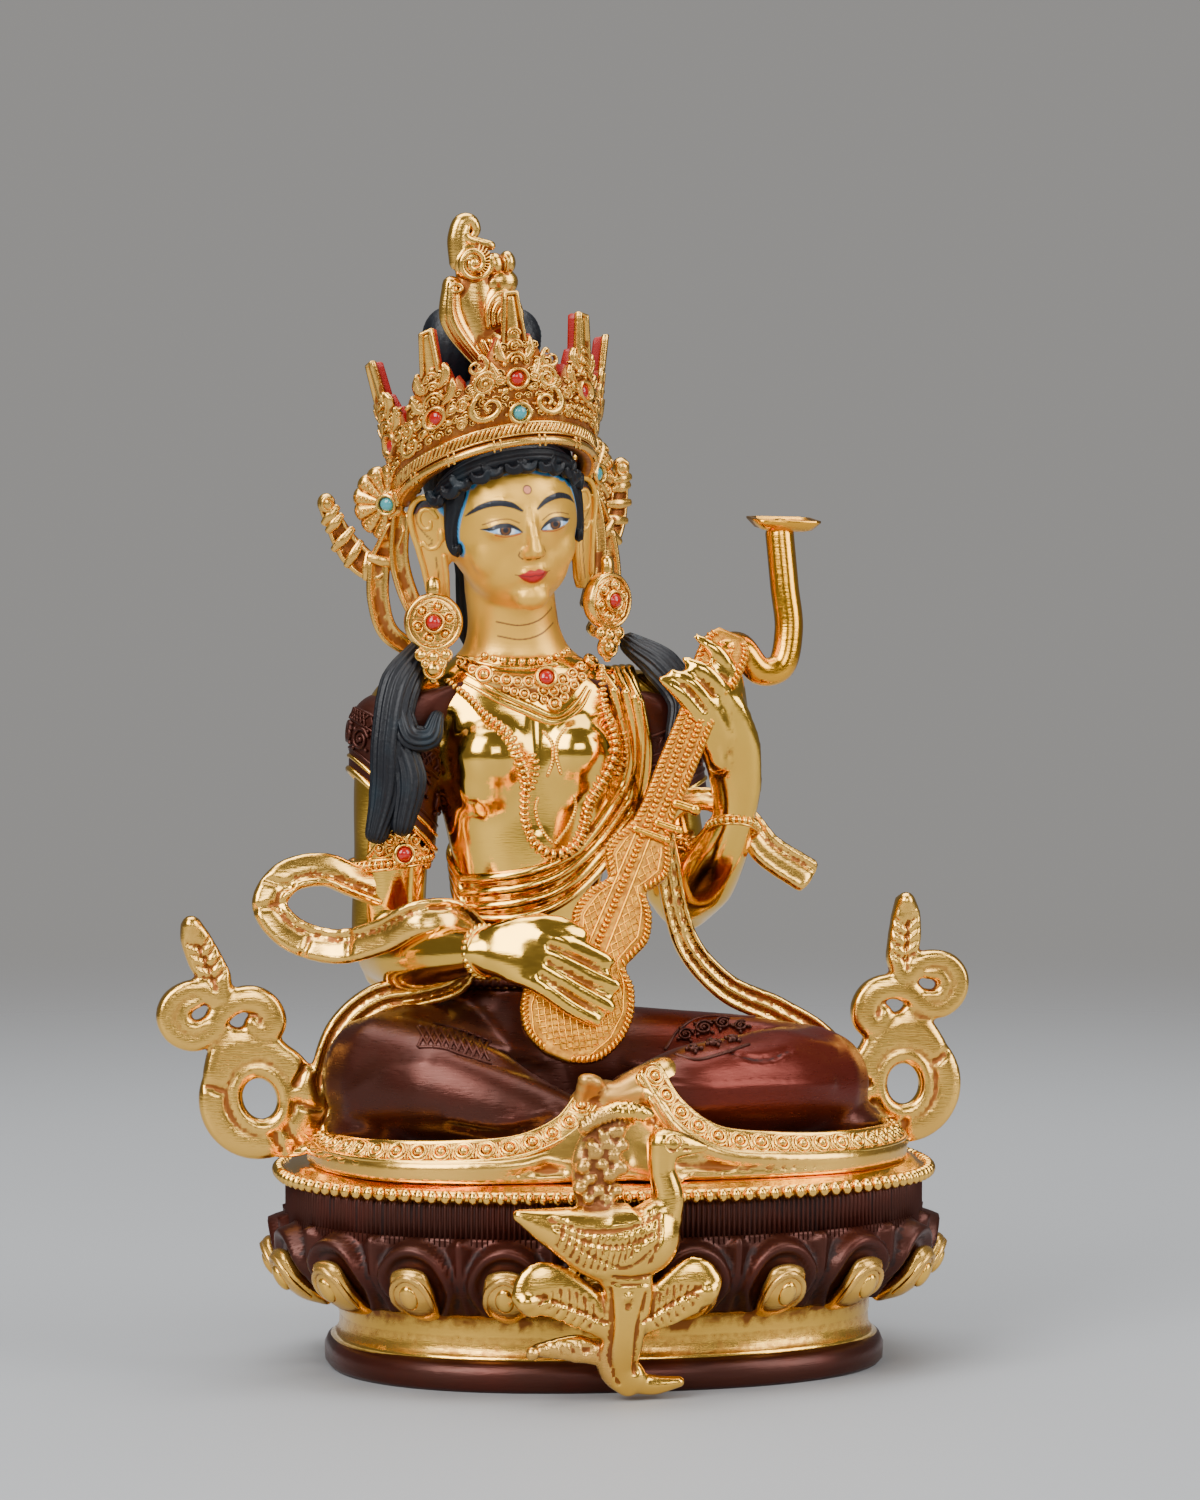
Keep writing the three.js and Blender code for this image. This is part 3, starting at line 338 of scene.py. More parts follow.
# Raises or sinks the surface along drawn lines: each has points, width and height. Points with only x and
# z are read from the front.
def worked(piece, strokes, up=0.0):
    verts, norm = places(piece), normals(piece)
    change = np.zeros(len(verts))
    for points, width, height in strokes:
        points = np.array(points, float)
        points[:, -1] += up
        count = max(8, int(len(points) * 6))
        line, _ = smoothLine(points, count)
        if points.shape[1] == 2:
            flat = verts[:, [0, 2]]
            seen = norm[:, 1] < 0.1
        else:
            flat = verts
            seen = np.ones(len(verts), bool)
        low, high = line.min(0) - 2.5 * width, line.max(0) + 2.5 * width
        near = np.flatnonzero(seen & np.all((flat > low) & (flat < high), axis=1))
        if not len(near):
            continue
        gap = lineDistance(flat[near], line)
        change[near] += height * np.exp(-((gap / width) ** 2) * 1.5)
    setPlaces(piece, verts + norm * change[:, None])


# How deep each corner lies among its neighbours, for the patina and painted shade in the hollows.
def markRecess(piece, reach=0.8, gain=1.0):
    verts, norm = places(piece), normals(piece)
    cell = np.floor(verts / reach).astype(np.int64) + 512
    key = (cell[:, 0] * 1024 + cell[:, 1]) * 1024 + cell[:, 2]
    keys, inverse, counts = np.unique(key, return_inverse=True, return_counts=True)
    sums = np.stack([np.bincount(inverse, verts[:, k], len(keys)) for k in range(3)], axis=1)
    total, number = np.zeros_like(verts), np.zeros(len(verts))
    for dx in (-1, 0, 1):
        for dy in (-1, 0, 1):
            for dz in (-1, 0, 1):
                other = key + (dx * 1024 + dy) * 1024 + dz
                i = np.searchsorted(keys, other)
                i = np.minimum(i, len(keys) - 1)
                hit = keys[i] == other
                weight = 1.0 / (1 + abs(dx) + abs(dy) + abs(dz))
                total[hit] += sums[i[hit]] * weight
                number[hit] += counts[i[hit]] * weight
    middle = total / number[:, None]
    depth = np.einsum("ij,ij->i", middle - verts, norm) / reach
    setMark(piece, "recess", np.clip(depth * gain * 2.0, -1, 1))


def dressed(piece, material, replaced):
    piece.data.materials.clear()
    piece.data.materials.append(material)
    piece.data.shade_smooth()
    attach(piece, "root")
    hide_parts(replaced)
    piece.data.calc_loop_triangles()
    print(piece.name, len(piece.data.loop_triangles), "triangles")
    return piece


# Places drawn on the front, given as x and z where they are seen on the plane y = 0, laid on a surface.
class Surface:
    def __init__(self, *pieces):
        corners, faces, start = [], [], 0
        for piece in pieces:
            verts = places(piece)
            corners.append(verts)
            faces += [[k + start for k in poly.vertices] for poly in piece.data.polygons]
            start += len(verts)
        self.tree = BVHTree.FromPolygons(np.vstack(corners).tolist(), faces)

    def seen(self, spots, lift=0.0, beyond=-500.0):
        # what lies in front of the plane y = beyond is passed through
        found = []
        for x, z in spots:
            way = np.array([x, 0.0, z]) - viewPoint
            start = viewPoint + way * max(0.0, (beyond - viewPoint[1]) / way[1])
            place, normal, _, _ = self.tree.ray_cast(Vector(start), Vector(unit(way)))
            if place is not None:
                found.append(np.array(place) + np.array(normal) * lift)
        return np.array(found)

    def nearest(self, spots, lift=0.0):
        found = []
        for spot in spots:
            place, normal, _, _ = self.tree.find_nearest(Vector(spot))
            found.append((np.array(place), np.array(normal)))
        return (np.array([p + n * lift for p, n in found]), np.array([n for _, n in found]))


# shared effects for the finishes


def effectGroup(name, inputs, outputs):
    group = bpy.data.node_groups.new(name, "ShaderNodeTree")
    for title, kind, value in inputs:
        group.interface.new_socket(name=title, in_out="INPUT", socket_type=kind).default_value = value
    for title, kind in outputs:
        group.interface.new_socket(name=title, in_out="OUTPUT", socket_type=kind)
    return group, group.nodes.new("NodeGroupInput"), group.nodes.new("NodeGroupOutput")


def addNode(tree, kind, **settings):
    node = tree.nodes.new(kind)
    for key, value in settings.items():
        if key in node.inputs:
            node.inputs[key].default_value = value
        else:
            setattr(node, key, value)
    return node


def noiseAt(tree, coordinates, scale, detail, stretch=(1, 1, 1)):
    place = addNode(tree, "ShaderNodeMapping")
    place.inputs["Scale"].default_value = stretch
    noise = addNode(tree, "ShaderNodeTexNoise", Scale=scale, Detail=detail)
    tree.links.new(coordinates, place.inputs["Vector"])
    tree.links.new(place.outputs["Vector"], noise.inputs["Vector"])
    return noise.outputs["Fac"]


def between(tree, value, low, high, toLow=0.0, toHigh=1.0):
    node = addNode(tree, "ShaderNodeMapRange", interpolation_type="SMOOTHSTEP")
    for key, number in (("From Min", low), ("From Max", high), ("To Min", toLow), ("To Max", toHigh)):
        node.inputs[key].default_value = number
    tree.links.new(value, node.inputs["Value"])
    return node.outputs["Result"]


def combine(tree, operation, a, b):
    node = addNode(tree, "ShaderNodeMath", operation=operation)
    for socket, value in zip(node.inputs, (a, b)):
        if isinstance(value, (int, float)):
            socket.default_value = value
        else:
            tree.links.new(value, socket)
    return node.outputs[0]


def mixed(tree, mask, a, b):
    node = addNode(tree, "ShaderNodeMix", data_type="RGBA")
    for socket, value in ((node.inputs[0], mask), (node.inputs[6], a), (node.inputs[7], b)):
        if isinstance(value, (tuple, list)):
            socket.default_value = (*value[:3], 1)
        elif isinstance(value, (int, float)):
            socket.default_value = value
        else:
            tree.links.new(value, socket)
    return node.outputs[2]


def mark(tree, name):
    return addNode(tree, "ShaderNodeAttribute", attribute_name=name).outputs["Fac"]


# Patina and painted shade that gather in the hollows, cloudy tarnish, and fine brush marks.
def buildOxideAndShade():
    group, start, end = effectGroup(
        "oxideShadeAndBrushing",
        [("Recess", "NodeSocketFloat", 0.0), ("Threshold", "NodeSocketFloat", 0.2)],
        [("Hollow", "NodeSocketFloat"), ("Cloud", "NodeSocketFloat"), ("Brushed", "NodeSocketFloat")])
    where = addNode(group, "ShaderNodeTexCoord").outputs["Object"]
    speckle = noiseAt(group, where, 900, 3)
    cloud = noiseAt(group, where, 90, 4)
    brushed = noiseAt(group, where, 500, 4, (1, 1, 7))
    lifted = combine(group, "ADD", start.outputs["Recess"],
                     combine(group, "MULTIPLY", combine(group, "SUBTRACT", speckle, 0.5), 0.35))
    lifted = combine(group, "SUBTRACT", lifted, start.outputs["Threshold"])
    group.links.new(between(group, lifted, -0.12, 0.3), end.inputs["Hollow"])
    group.links.new(between(group, cloud, 0.42, 0.68), end.inputs["Cloud"])
    group.links.new(brushed, end.inputs["Brushed"])
    return group


oxideShadeGroup = buildOxideAndShade()

metalTones = {
    "bright": (0.95, 0.56, 0.085),
    "pale": (0.93, 0.53, 0.125),  # matt burnished ornament
    "face": (0.86, 0.46, 0.055),
    "deep": (0.90, 0.43, 0.035),
    # hollow and dark: the brown of the hollows, partly patina and partly painted shade
    "hollow": (0.22, 0.046, 0.005),
    "brown": (0.055, 0.0125, 0.0062),  # oxidised copper
    "warm": (0.125, 0.0095, 0.0025),
    "dark": (0.016, 0.004, 0.003),
    "red": (0.30, 0.004, 0.003),
}


def metal(name, tone="bright", roughness=0.13, mattRoughness=0.3, bump=0.012, threshold=0.2, cloudiness=0.2):
    material = bpy.data.materials.new(name)
    material.use_nodes = True
    tree = material.node_tree
    shader = tree.nodes["Principled BSDF"]
    oxideAndShade = addNode(tree, "ShaderNodeGroup", node_tree=oxideShadeGroup)
    oxideAndShade.inputs["Threshold"].default_value = threshold
    recess, matt, copper, warm, red = (mark(tree, key) for key in ("recess", "matt", "copper", "warm", "red"))
    tree.links.new(recess, oxideAndShade.inputs["Recess"])
    hollow, cloud, brushed = (oxideAndShade.outputs[key] for key in ("Hollow", "Cloud", "Brushed"))
    gold = mixed(tree, matt, metalTones[tone], metalTones["deep" if tone == "deep" else "pale"])
    gold = mixed(tree, combine(tree, "MULTIPLY", cloud, cloudiness), gold, (0.80, 0.36, 0.06))
    # in the hollows the gold and the brown darken: patina and painted shade
    gold = mixed(tree, combine(tree, "MULTIPLY", hollow, 0.92), gold, metalTones["hollow"])
    brown = mixed(tree, warm, metalTones["brown"], metalTones["warm"])
    brown = mixed(tree, combine(tree, "MULTIPLY", cloud, 0.18), brown, metalTones["warm"])
    brown = mixed(tree, combine(tree, "MULTIPLY", hollow, 0.8), brown, metalTones["dark"])
    base = mixed(tree, copper, gold, brown)
    base = mixed(tree, red, base, metalTones["red"])
    tree.links.new(base, shader.inputs["Base Color"])
    sheen = combine(tree, "SUBTRACT", 1.0, combine(tree, "MULTIPLY", hollow, 0.3))
    sheen = combine(tree, "MULTIPLY", sheen,
                    combine(tree, "SUBTRACT", 1.0, combine(tree, "MULTIPLY", copper, 0.4)))
    sheen = combine(tree, "MULTIPLY", sheen, combine(tree, "SUBTRACT", 1.0, red))
    tree.links.new(sheen, shader.inputs["Metallic"])
    rough = between(tree, matt, 0, 1, roughness, mattRoughness)
    rough = combine(tree, "ADD", rough, combine(tree, "MULTIPLY", copper, 0.12))
    rough = combine(tree, "ADD", rough, combine(tree, "MULTIPLY", hollow, 0.22))
    strokes = combine(tree, "SUBTRACT", brushed, 0.5)
    rough = combine(tree, "ADD", rough, combine(tree, "MULTIPLY", strokes, 0.16))
    tree.links.new(rough, shader.inputs["Roughness"])
    dent = addNode(tree, "ShaderNodeBump", Strength=0.35, Distance=bump * mm * 10)
    tree.links.new(brushed, dent.inputs["Height"])
    tree.links.new(dent.outputs["Normal"], shader.inputs["Normal"])
    return material


giltMetal = metal("polishedGilt", bump=0.004)
ornamentMetal = metal("chasedGilt", roughness=0.15, mattRoughness=0.24, threshold=0.06, cloudiness=0.22,
                      bump=0.012)
copperMetal = metal("oxidisedCopper", roughness=0.17, mattRoughness=0.33, bump=0.012, threshold=0.3)
print("metal finishes made")


# lotus base

lotus = {
    "halfWidth": 58, "halfDepth": 42.5, "power": 2.35, "petals": 20, "petalPitch": 16.3,
    "foot": (51, 38), "footHeight": 5.5, "neck": (48.5, 34.5), "neckTop": 13.5,
    "petalTop": 27.9, "stamenTop": 34.0, "stamens": 343, "rim": 1.3, "beads": 136, "top": 37.5,
}


# Evenly spaced points on the base's oval, and the ways that look outwards there.
def ovalLine(halfWidth, halfDepth, count, shift=0.0):
    a = np.linspace(0, 2 * np.pi, 2881)
    oval = np.stack([np.cos(a), np.sin(a)], axis=1)
    oval = np.sign(oval) * np.abs(oval) ** (2 / lotus["power"]) * (halfWidth, halfDepth)
    run = runAlong(oval)
    u = (np.arange(count) + shift) / count * run[-1]
    line = np.stack([np.interp(u, run, oval[:, k]) for k in (0, 1)], axis=1)
    along = unit(np.roll(line, -1, 0) - np.roll(line, 1, 0))
    return line, np.stack([along[:, 1], -along[:, 0]], axis=1)


def ovalSolid(rows):
    count = 240
    rings = []
    for halfWidth, halfDepth, z in rows:
        line, _ = ovalLine(halfWidth, halfDepth, count)
        rings.append(np.column_stack([line, np.full(count, z)]))
    return skinOf(rings, poles=((0, 0, rows[0][2]), (0, 0, rows[-1][2])))


def eased(value, low, high):
    t = np.clip((value - low) / (high - low), 0, 1)
    return t * t * (3 - 2 * t)


# The band of petals: t runs up it, s across one petal, inside is the way in from the petal's edge.
def petalSkin():
    columns, rows = 26, 28
    count = lotus["petals"] * columns
    line, outward = ovalLine(lotus["halfWidth"], lotus["halfDepth"], count)
    pitch = lotus["petalPitch"]
    s = (np.arange(count) % columns) / columns - 0.5
    rings = []
    for t in np.linspace(0, 1.0, rows):
        body = -7.6 * (1 - eased(t, -0.25, 0.62))
        side = np.abs(s) * pitch
        if t > 0.35:
            inside = (1 - np.hypot(side / 7.5, (t - 0.35) / 0.62)) * 6.6
        else:
            inside = 7.5 - 2.4 * ((0.35 - t) / 0.35) ** 1.4 - side
        lean = 0.6 + 2.2 * t
        petal = (1.0 + lean) * eased(inside, -0.25, 1.0) - 1.15 * eased(inside, 1.5, 2.5)
        edge = pitch / 2 - side
        leafWidth = (0.9 + 1.7 * t ** 1.4) * (1 if t < 0.9 else max(0.05, (1.02 - t) / 0.12))
        leaf = (0.6 + 1.5 * t) * np.clip(1 - edge / leafWidth, 0, 1) ** 0.75
        out = body + np.maximum(petal, leaf)
        if t > 0.97:
            out = out * 0.4
        ring = line + outward * out[:, None]
        height = lotus["neckTop"] + t * (lotus["petalTop"] - lotus["neckTop"])
        rings.append(np.column_stack([ring, np.full(count, height)]))
    inner = line - outward * 3
    first = np.column_stack([line - outward * 12, np.full(count, lotus["neckTop"] + 0.2)])
    last = np.column_stack([inner, np.full(count, lotus["petalTop"])])
    return skinOf([first] + rings + [last], poles=((0, 0, lotus["neckTop"] + 0.2), (0, 0, lotus["petalTop"])))


def onOval(parts, index, count, shift, lift=0.0):
    line, outward = ovalLine(lotus["halfWidth"], lotus["halfDepth"], count, shift)
    turn = math.atan2(outward[index, 1], outward[index, 0])
    return allMoved(parts, turn=(0, 0, turn), by=(line[index, 0], line[index, 1], lift))


def lotusCurl():
    thumb = sweep([(-5.4, 0, 13.7), (-1.8, 0, 15.4), (1.5, 0, 18.4), (3.0, 0, 21.3)], [2.4, 3.6, 4.2, 3.5],
                  [1.4, 1.9, 2.1, 1.6], facing=(1, 0, -0.6), around=18, steps=14)
    nail = blob((2.9, 0, 17.6), (1.15, 1.75, 2.6), turn=(0, 0.55, 0), around=14, rows=10)
    rim = sweep([(-1.6, -3.0, 14.4), (1.6, -3.5, 17.0), (3.5, -2.6, 19.8), (4.3, 0, 21.3), (3.5, 2.6, 19.8),
                 (1.6, 3.5, 17.0),
                 (-1.6, 3.0, 14.4)], [0.35, 0.6, 0.7, 0.75, 0.7, 0.6, 0.35], facing=(1, 0, -0.4), around=7,
                steps=22)
    return [thumb, nail, rim]


def stamenSkin():
    count = lotus["stamens"] * 4
    line, outward = ovalLine(lotus["halfWidth"] - 0.2, lotus["halfDepth"] - 0.2, count)
    flute = 0.32 * np.cos(np.arange(count) / 4 * 2 * np.pi)
    rings = []
    for z, out in ((lotus["petalTop"] - 1.4, 0.1), (33.2, 0.1), (lotus["stamenTop"] + 0.5, -0.2)):
        rings.append(np.column_stack([line + outward * (flute + out)[:, None], np.full(count, z)]))
    return skinOf(rings, poles=((0, 0, lotus["petalTop"] - 1.4), (0, 0, lotus["stamenTop"] + 0.5)))


def buildLotus():
    w, d = lotus["foot"]
    foot = ovalSolid([(w - 2, d - 2, 0.0), (w - 0.7, d - 0.7, 0.0), (w, d, 0.8), (w + 0.1, d + 0.1, 3.4),
                      (w - 0.5, d - 0.5, 4.8), (w - 1.8, d - 1.8, lotus["footHeight"])])
    w, d = lotus["neck"]
    neck = ovalSolid([(w + 1.5, d + 1.5, 5.2), (w + 0.5, d + 0.5, 6.0), (w, d, 7.0), (w - 0.1, d - 0.1, 9.2),
                      (w + 0.1, d + 0.1, 9.7), (w + 0.1, d + 0.1, 12.0), (w + 1.0, d + 1.0, 13.2),
                      (w + 2.6, d + 2.6, 14.4)])
    w, d = lotus["halfWidth"], lotus["halfDepth"]
    rimHeight = lotus["stamenTop"] + lotus["rim"]
    rim = ovalSolid([(w - 1.2, d - 1.2, rimHeight - 1.3), (w + 0.6, d + 0.6, rimHeight - 1.0),
                     (w + 1.3, d + 1.3, rimHeight), (w + 0.7, d + 0.7, rimHeight + 0.9),
                     (w - 0.4, d - 0.4, rimHeight + 1.15), (w - 1.0, d - 1.0, 37.0),
                     (w - 1.9, d - 1.9, 37.35),
                     (w - 3.2, d - 3.2, lotus["top"])])
    beads = []
    for k in range(lotus["beads"]):
        one = blob((lotus["rim"] + 0.1, 0, rimHeight), (1.25, 1.06, 1.3), around=9, rows=6)
        beads += onOval([one], k, lotus["beads"], 0.5)
    curls = []
    for k in range(lotus["petals"]):
        curls += onOval(lotusCurl(), k, lotus["petals"], 0.5)
    body = [foot, petalSkin(), stamenSkin()]
    brown = makePiece("lotusBody", body, {"copper": 1.0, "matt": [0.3, 0.5, 0.9]})
    markRecess(brown, 0.9, 1.0)
    dressed(brown, copperMetal, "lotus_base")
    parts = [neck, rim] + beads + curls
    matt = [0.25, 0.1] + [0.5] * len(beads) + [0.6, 0.4, 0.8] * lotus["petals"]
    gold = makePiece("lotusGilding", parts, {"matt": matt})
    markRecess(gold, 0.9, 0.8)
    z = places(gold)[:, 2]
    setMark(gold, "copper", np.where(z < 24, eased(z, 17.5, 22.5) * 0.5, 0))  # the curls darken upwards
    dressed(gold, ornamentMetal, "lotus_base")


buildLotus()
print("lotus base made")


# the figure's skin: trunk, busts, arms and hands

trunkSections = [
    (-14.5, 9, 15.5, 12.5, 3), (-14.5, 9.3, 16.4, 12.8, 15), (-13.8, 9.5, 14, 10.4, 31),
    (-13.2, 8.2, 12.9, 9.9, 41), (-12.8, 7.2, 13.8, 10.7, 51), (-12.6, 6.7, 16.2, 10.9, 62),
    (-13, 6.4, 19.6, 11.2, 75), (-13.8, 6.8, 19.8, 10.0, 83.6), (-14.6, 7.1, 14.5, 8.9, 89),
    (-15.2, 7.2, 9.4, 7.8, 92.5), (-15.8, 6.6, 8.1, 7.6, 97), (-17, 5.5, 7.9, 7.8, 108),
]


def loftOvals(sections, steps=60, around=48):
    line, _ = smoothLine(sections, steps)
    a = np.arange(around) / around * 2 * np.pi
    rings = [np.column_stack([x + w * np.cos(a), y + d * np.sin(a), np.full(around, z)])
             for x, y, w, d, z in line]
    return skinOf(rings)


rightFingers = [
    [(-20, -24.6, 42.2), (-14.4, -26.9, 41.8), (-9, -26.9, 39.7), (-3.9, -26.9, 37.4)],
    [(-20, -25.2, 40), (-14.7, -27.2, 39), (-8.2, -27.4, 35.7), (-2.8, -27.9, 33.1)],
    [(-20.4, -25.2, 37.6), (-15.4, -27.3, 36.2), (-9, -28, 32.3), (-3.9, -28.6, 29.4)],
    [(-21.4, -25, 35.8), (-17.1, -27.3, 34.1), (-11.3, -28.2, 29.9), (-6.6, -28.8, 27.0)],
]
leftFingers = [
    [(18.6, -12.4, 72), (14.8, -15.2, 80.2), (11.0, -16.2, 84.6), (7.6, -16, 87.2)],
    [(19.4, -13.6, 76.6), (16.0, -16, 83), (12.6, -16.6, 86.6), (9.6, -16, 88.4)],
    [(20.8, -12.8, 80), (18.2, -15.6, 85.8), (15.2, -16.3, 88.8), (12.0, -15.6, 90.6)],
    [(22.6, -10.6, 82), (20.9, -13.4, 88), (17.9, -14.8, 92), (14.4, -14.5, 94.6)],
]


def skinParts():
    upright = dict(around=30, steps=40)
    parts = [
        loftOvals(trunkSections),
        blob((-20.8, -0.9, 72.8), (7.6, 6.5, 7.3)), blob((-5.4, -1.2, 73.4), (7.2, 6.4, 7.2)),
        blob((-20.5, -0.3, 68.6), (7.7, 5.1, 7.2)), blob((-5.5, -0.5, 69), (7.3, 5.1, 7.2)),
        sweep([(-20.8, 4.2, 88), (-21, 1.8, 81.5), (-20.8, 0.6, 74.5)], [4.6, 6.2, 6.8], [3, 4.4, 5.8],
              around=26),
        sweep([(-5.8, 4.2, 88), (-5.6, 1.8, 81.5), (-5.4, 0.4, 75)], [4.6, 5.8, 6.4], [3, 4.4, 5.6],
              around=26),
        sweep([(-27, 7.5, 82), (-35, 7.5, 80.5), (-37.4, 8, 70), (-38, 9, 55), (-38.4, 10, 40),
               (-38, 9.6, 34.5)],
              [6, 7.6, 7.4, 6.8, 6.8, 5.6], **upright),
        sweep([(-38.4, 9, 37), (-35.6, -2, 37), (-30.6, -13, 38.2), (-26, -20.4, 39)], [6.4, 7, 5.6, 4.1],
              [6.4, 6.6, 5.2, 3.6], facing=(0, 0, 1), around=26, steps=30),
        sweep([(0, 7.5, 82), (8.5, 7.5, 80.5), (11, 8.6, 70), (14, 11, 57), (16.6, 13, 47), (17.4, 12, 44.5)],
              [6, 7.4, 7.2, 6.6, 6.4, 5], **upright),
        sweep([(17.4, 12.4, 46), (19.4, 5, 50), (21.6, -2, 56), (23, -5.6, 61)], [6.2, 6.4, 5, 3.9],
              facing=(1, 0, 0.3), around=26, steps=30),
        sweep([(-28, -17.6, 38.9), (-23.6, -22.4, 39.2), (-19, -25.6, 38.8), (-15, -27.1, 37.8)],
              [3.7, 4.7, 5.6, 5.3], [3.4, 3.0, 2.5, 1.9], facing=(-0.3, -1, 0.2), around=26, steps=20),
        sweep([(-23.4, -22.4, 42.2), (-17, -24.9, 44.4), (-11.6, -25.6, 44.0), (-8.2, -25.7, 42.4)],
              [2.3, 2.1, 1.8, 1.3], [2.1, 1.9, 1.6, 1.2], around=18, steps=20),
        sweep([(22.8, -5.2, 59), (22.9, -8.2, 67), (21.2, -11, 75), (18.2, -13.4, 82), (14.4, -15, 86.6)],
              [3.6, 4.7, 5.7, 5.2, 3.0], [3.2, 3.0, 2.8, 2.5, 1.8], facing=(-0.35, -1, 0.1), around=30,
              steps=34),
    ]
    for line in rightFingers:
        parts.append(sweep(line, [2.2, 2.15, 2.0, 1.85, 1.5], [1.9, 1.95, 1.85, 1.7, 1.35],
                           facing=(0, -1, 0.2),
                           around=18, steps=26))
    for line in leftFingers:
        parts.append(sweep(line, [2.1, 1.95, 1.6, 0.85], around=18, steps=30))
    return parts


def splitFaces(piece, chosen):
    # halves the size of the faces whose corners all lie in the chosen part
    onlySelect(piece)
    count = len(piece.data.polygons)
    picked = np.array([all(chosen[k] for k in poly.vertices) for poly in piece.data.polygons])
    piece.data.polygons.foreach_set("select", picked)
    piece.data.edges.foreach_set("select", np.zeros(len(piece.data.edges), bool))
    piece.data.vertices.foreach_set("select", np.zeros(len(piece.data.vertices), bool))
    bpy.ops.object.mode_set(mode="EDIT")
    bpy.ops.mesh.select_mode(type="FACE")
    bpy.ops.mesh.subdivide(number_cuts=1, smoothness=0)
    bpy.ops.object.mode_set(mode="OBJECT")
    print(piece.name, count, "faces made", len(piece.data.polygons))


def atHands(piece):
    x, y, z = (places(piece) - (0, 0, seat)).T
    return (y < -20) & (x > -21) & (z < 46) | (y < -9) & (x > 3) & (z > 78)


def buildSkin():
    skin = makePiece("gildedSkin", skinParts(), up=seat)
    blended(skin, 0.72, smooth=8)
    # the trunk's soft forms run into one another
    x, y, z = (places(skin) - (0, 0, seat)).T
    middle = (eased(x, -31, -27) - eased(x, 0, 4)) * (1 - eased(y, -1, 3))
    evened(skin, middle * (eased(z, 42, 46) - 0.75 * eased(z, 70, 74) - 0.25 * eased(z, 80, 84)), 36)
    worked(skin, [
        # the hollow between the busts and the crease beside the right arm
        ([(-13.2, 80), (-13, 70), (-12.8, 60)], 1.6, -0.5),
        ([(-28.6, 80), (-29.4, 74), (-29, 69)], 1.0, -0.5),
    ], up=seat)
    # grooves between the fingers, in a finer skin
    splitFaces(skin, atHands(skin))
    evened(skin, atHands(skin).astype(float), 3)
    grooves = []
    for fingers in (leftFingers, rightFingers):
        for one, two in zip(fingers[:-1], fingers[1:]):
            middle = (np.array(one) + np.array(two)) / 2 + (0, -1.5, 0)
            grooves.append((middle[1:], 0.6, -0.75))
    worked(skin, grooves, up=seat)
    markRecess(skin, 0.9, 0.9)
    # the trunk's front stays bright where its soft forms meet: less patina and painted shade there
    recess = readMark(skin, "recess")
    x, y, z = places(skin).T
    front = (y < 2) & (x > -28) & (x < 2) & (z > seat + 45) & (z < seat + 80)
    setMark(skin, "recess", np.where(front, recess * 0.35, recess))
    return skin


gildedSkin = buildSkin()
print("skin shaped")


# robe and legs

robe = {"halfWidth": 53, "front": 36, "back": 26, "folds": 11, "foldDepth": 0.012}


def robeOnSeat():
    count = 220
    a = np.arange(count) / count * 2 * np.pi
    flat = np.stack([np.cos(a), np.sin(a)], axis=1)
    flat = np.sign(flat) * np.abs(flat) ** (2 / lotus["power"])
    depth = np.where(np.sin(a) < 0, robe["front"], robe["back"])
    fold = 1 + robe["foldDepth"] * np.cos(robe["folds"] * a) + 0.004 * np.cos(31 * a)
    rings = []
    for inset, z in ((1.2, 0.05), (0.3, 0.35), (0, 1.3), (0.5, 2.4), (1.6, 3.1), (4, 3.3)):
        rings.append(np.column_stack([flat[:, 0] * (robe["halfWidth"] - inset) * fold,
                                      flat[:, 1] * (depth - inset) * fold, np.full(count, z)]))
    return skinOf(rings, poles=((0, 0, 0.05), (0, 0, 3.4)))


def legParts():
    lying = dict(facing=(0, 0, 1), around=40, steps=34)
    return [
        sweep([(-20, 8, 16), (-34, 0, 16.5), (-41, -8, 16)], [11, 12, 11], **lying),
        sweep([(-42.4, -8, 15.6), (-32, -18, 14.5), (-20, -26, 11), (-10, -30, 8.5)],
              [10.6, 10.2, 7.6, 4.8], [11.6, 10.4, 7.4, 4.6], **lying),
        sweep([(-4, 8, 16), (22, 2, 14), (37, -6, 13)], [11, 11, 10.4], **lying),
        sweep([(37.6, -7, 12.8), (26, -17, 13.5), (10, -26, 14), (0, -29, 13)],
              [10.4, 10, 8, 5.4], [10.6, 10, 8, 5.2], **lying),
    ]


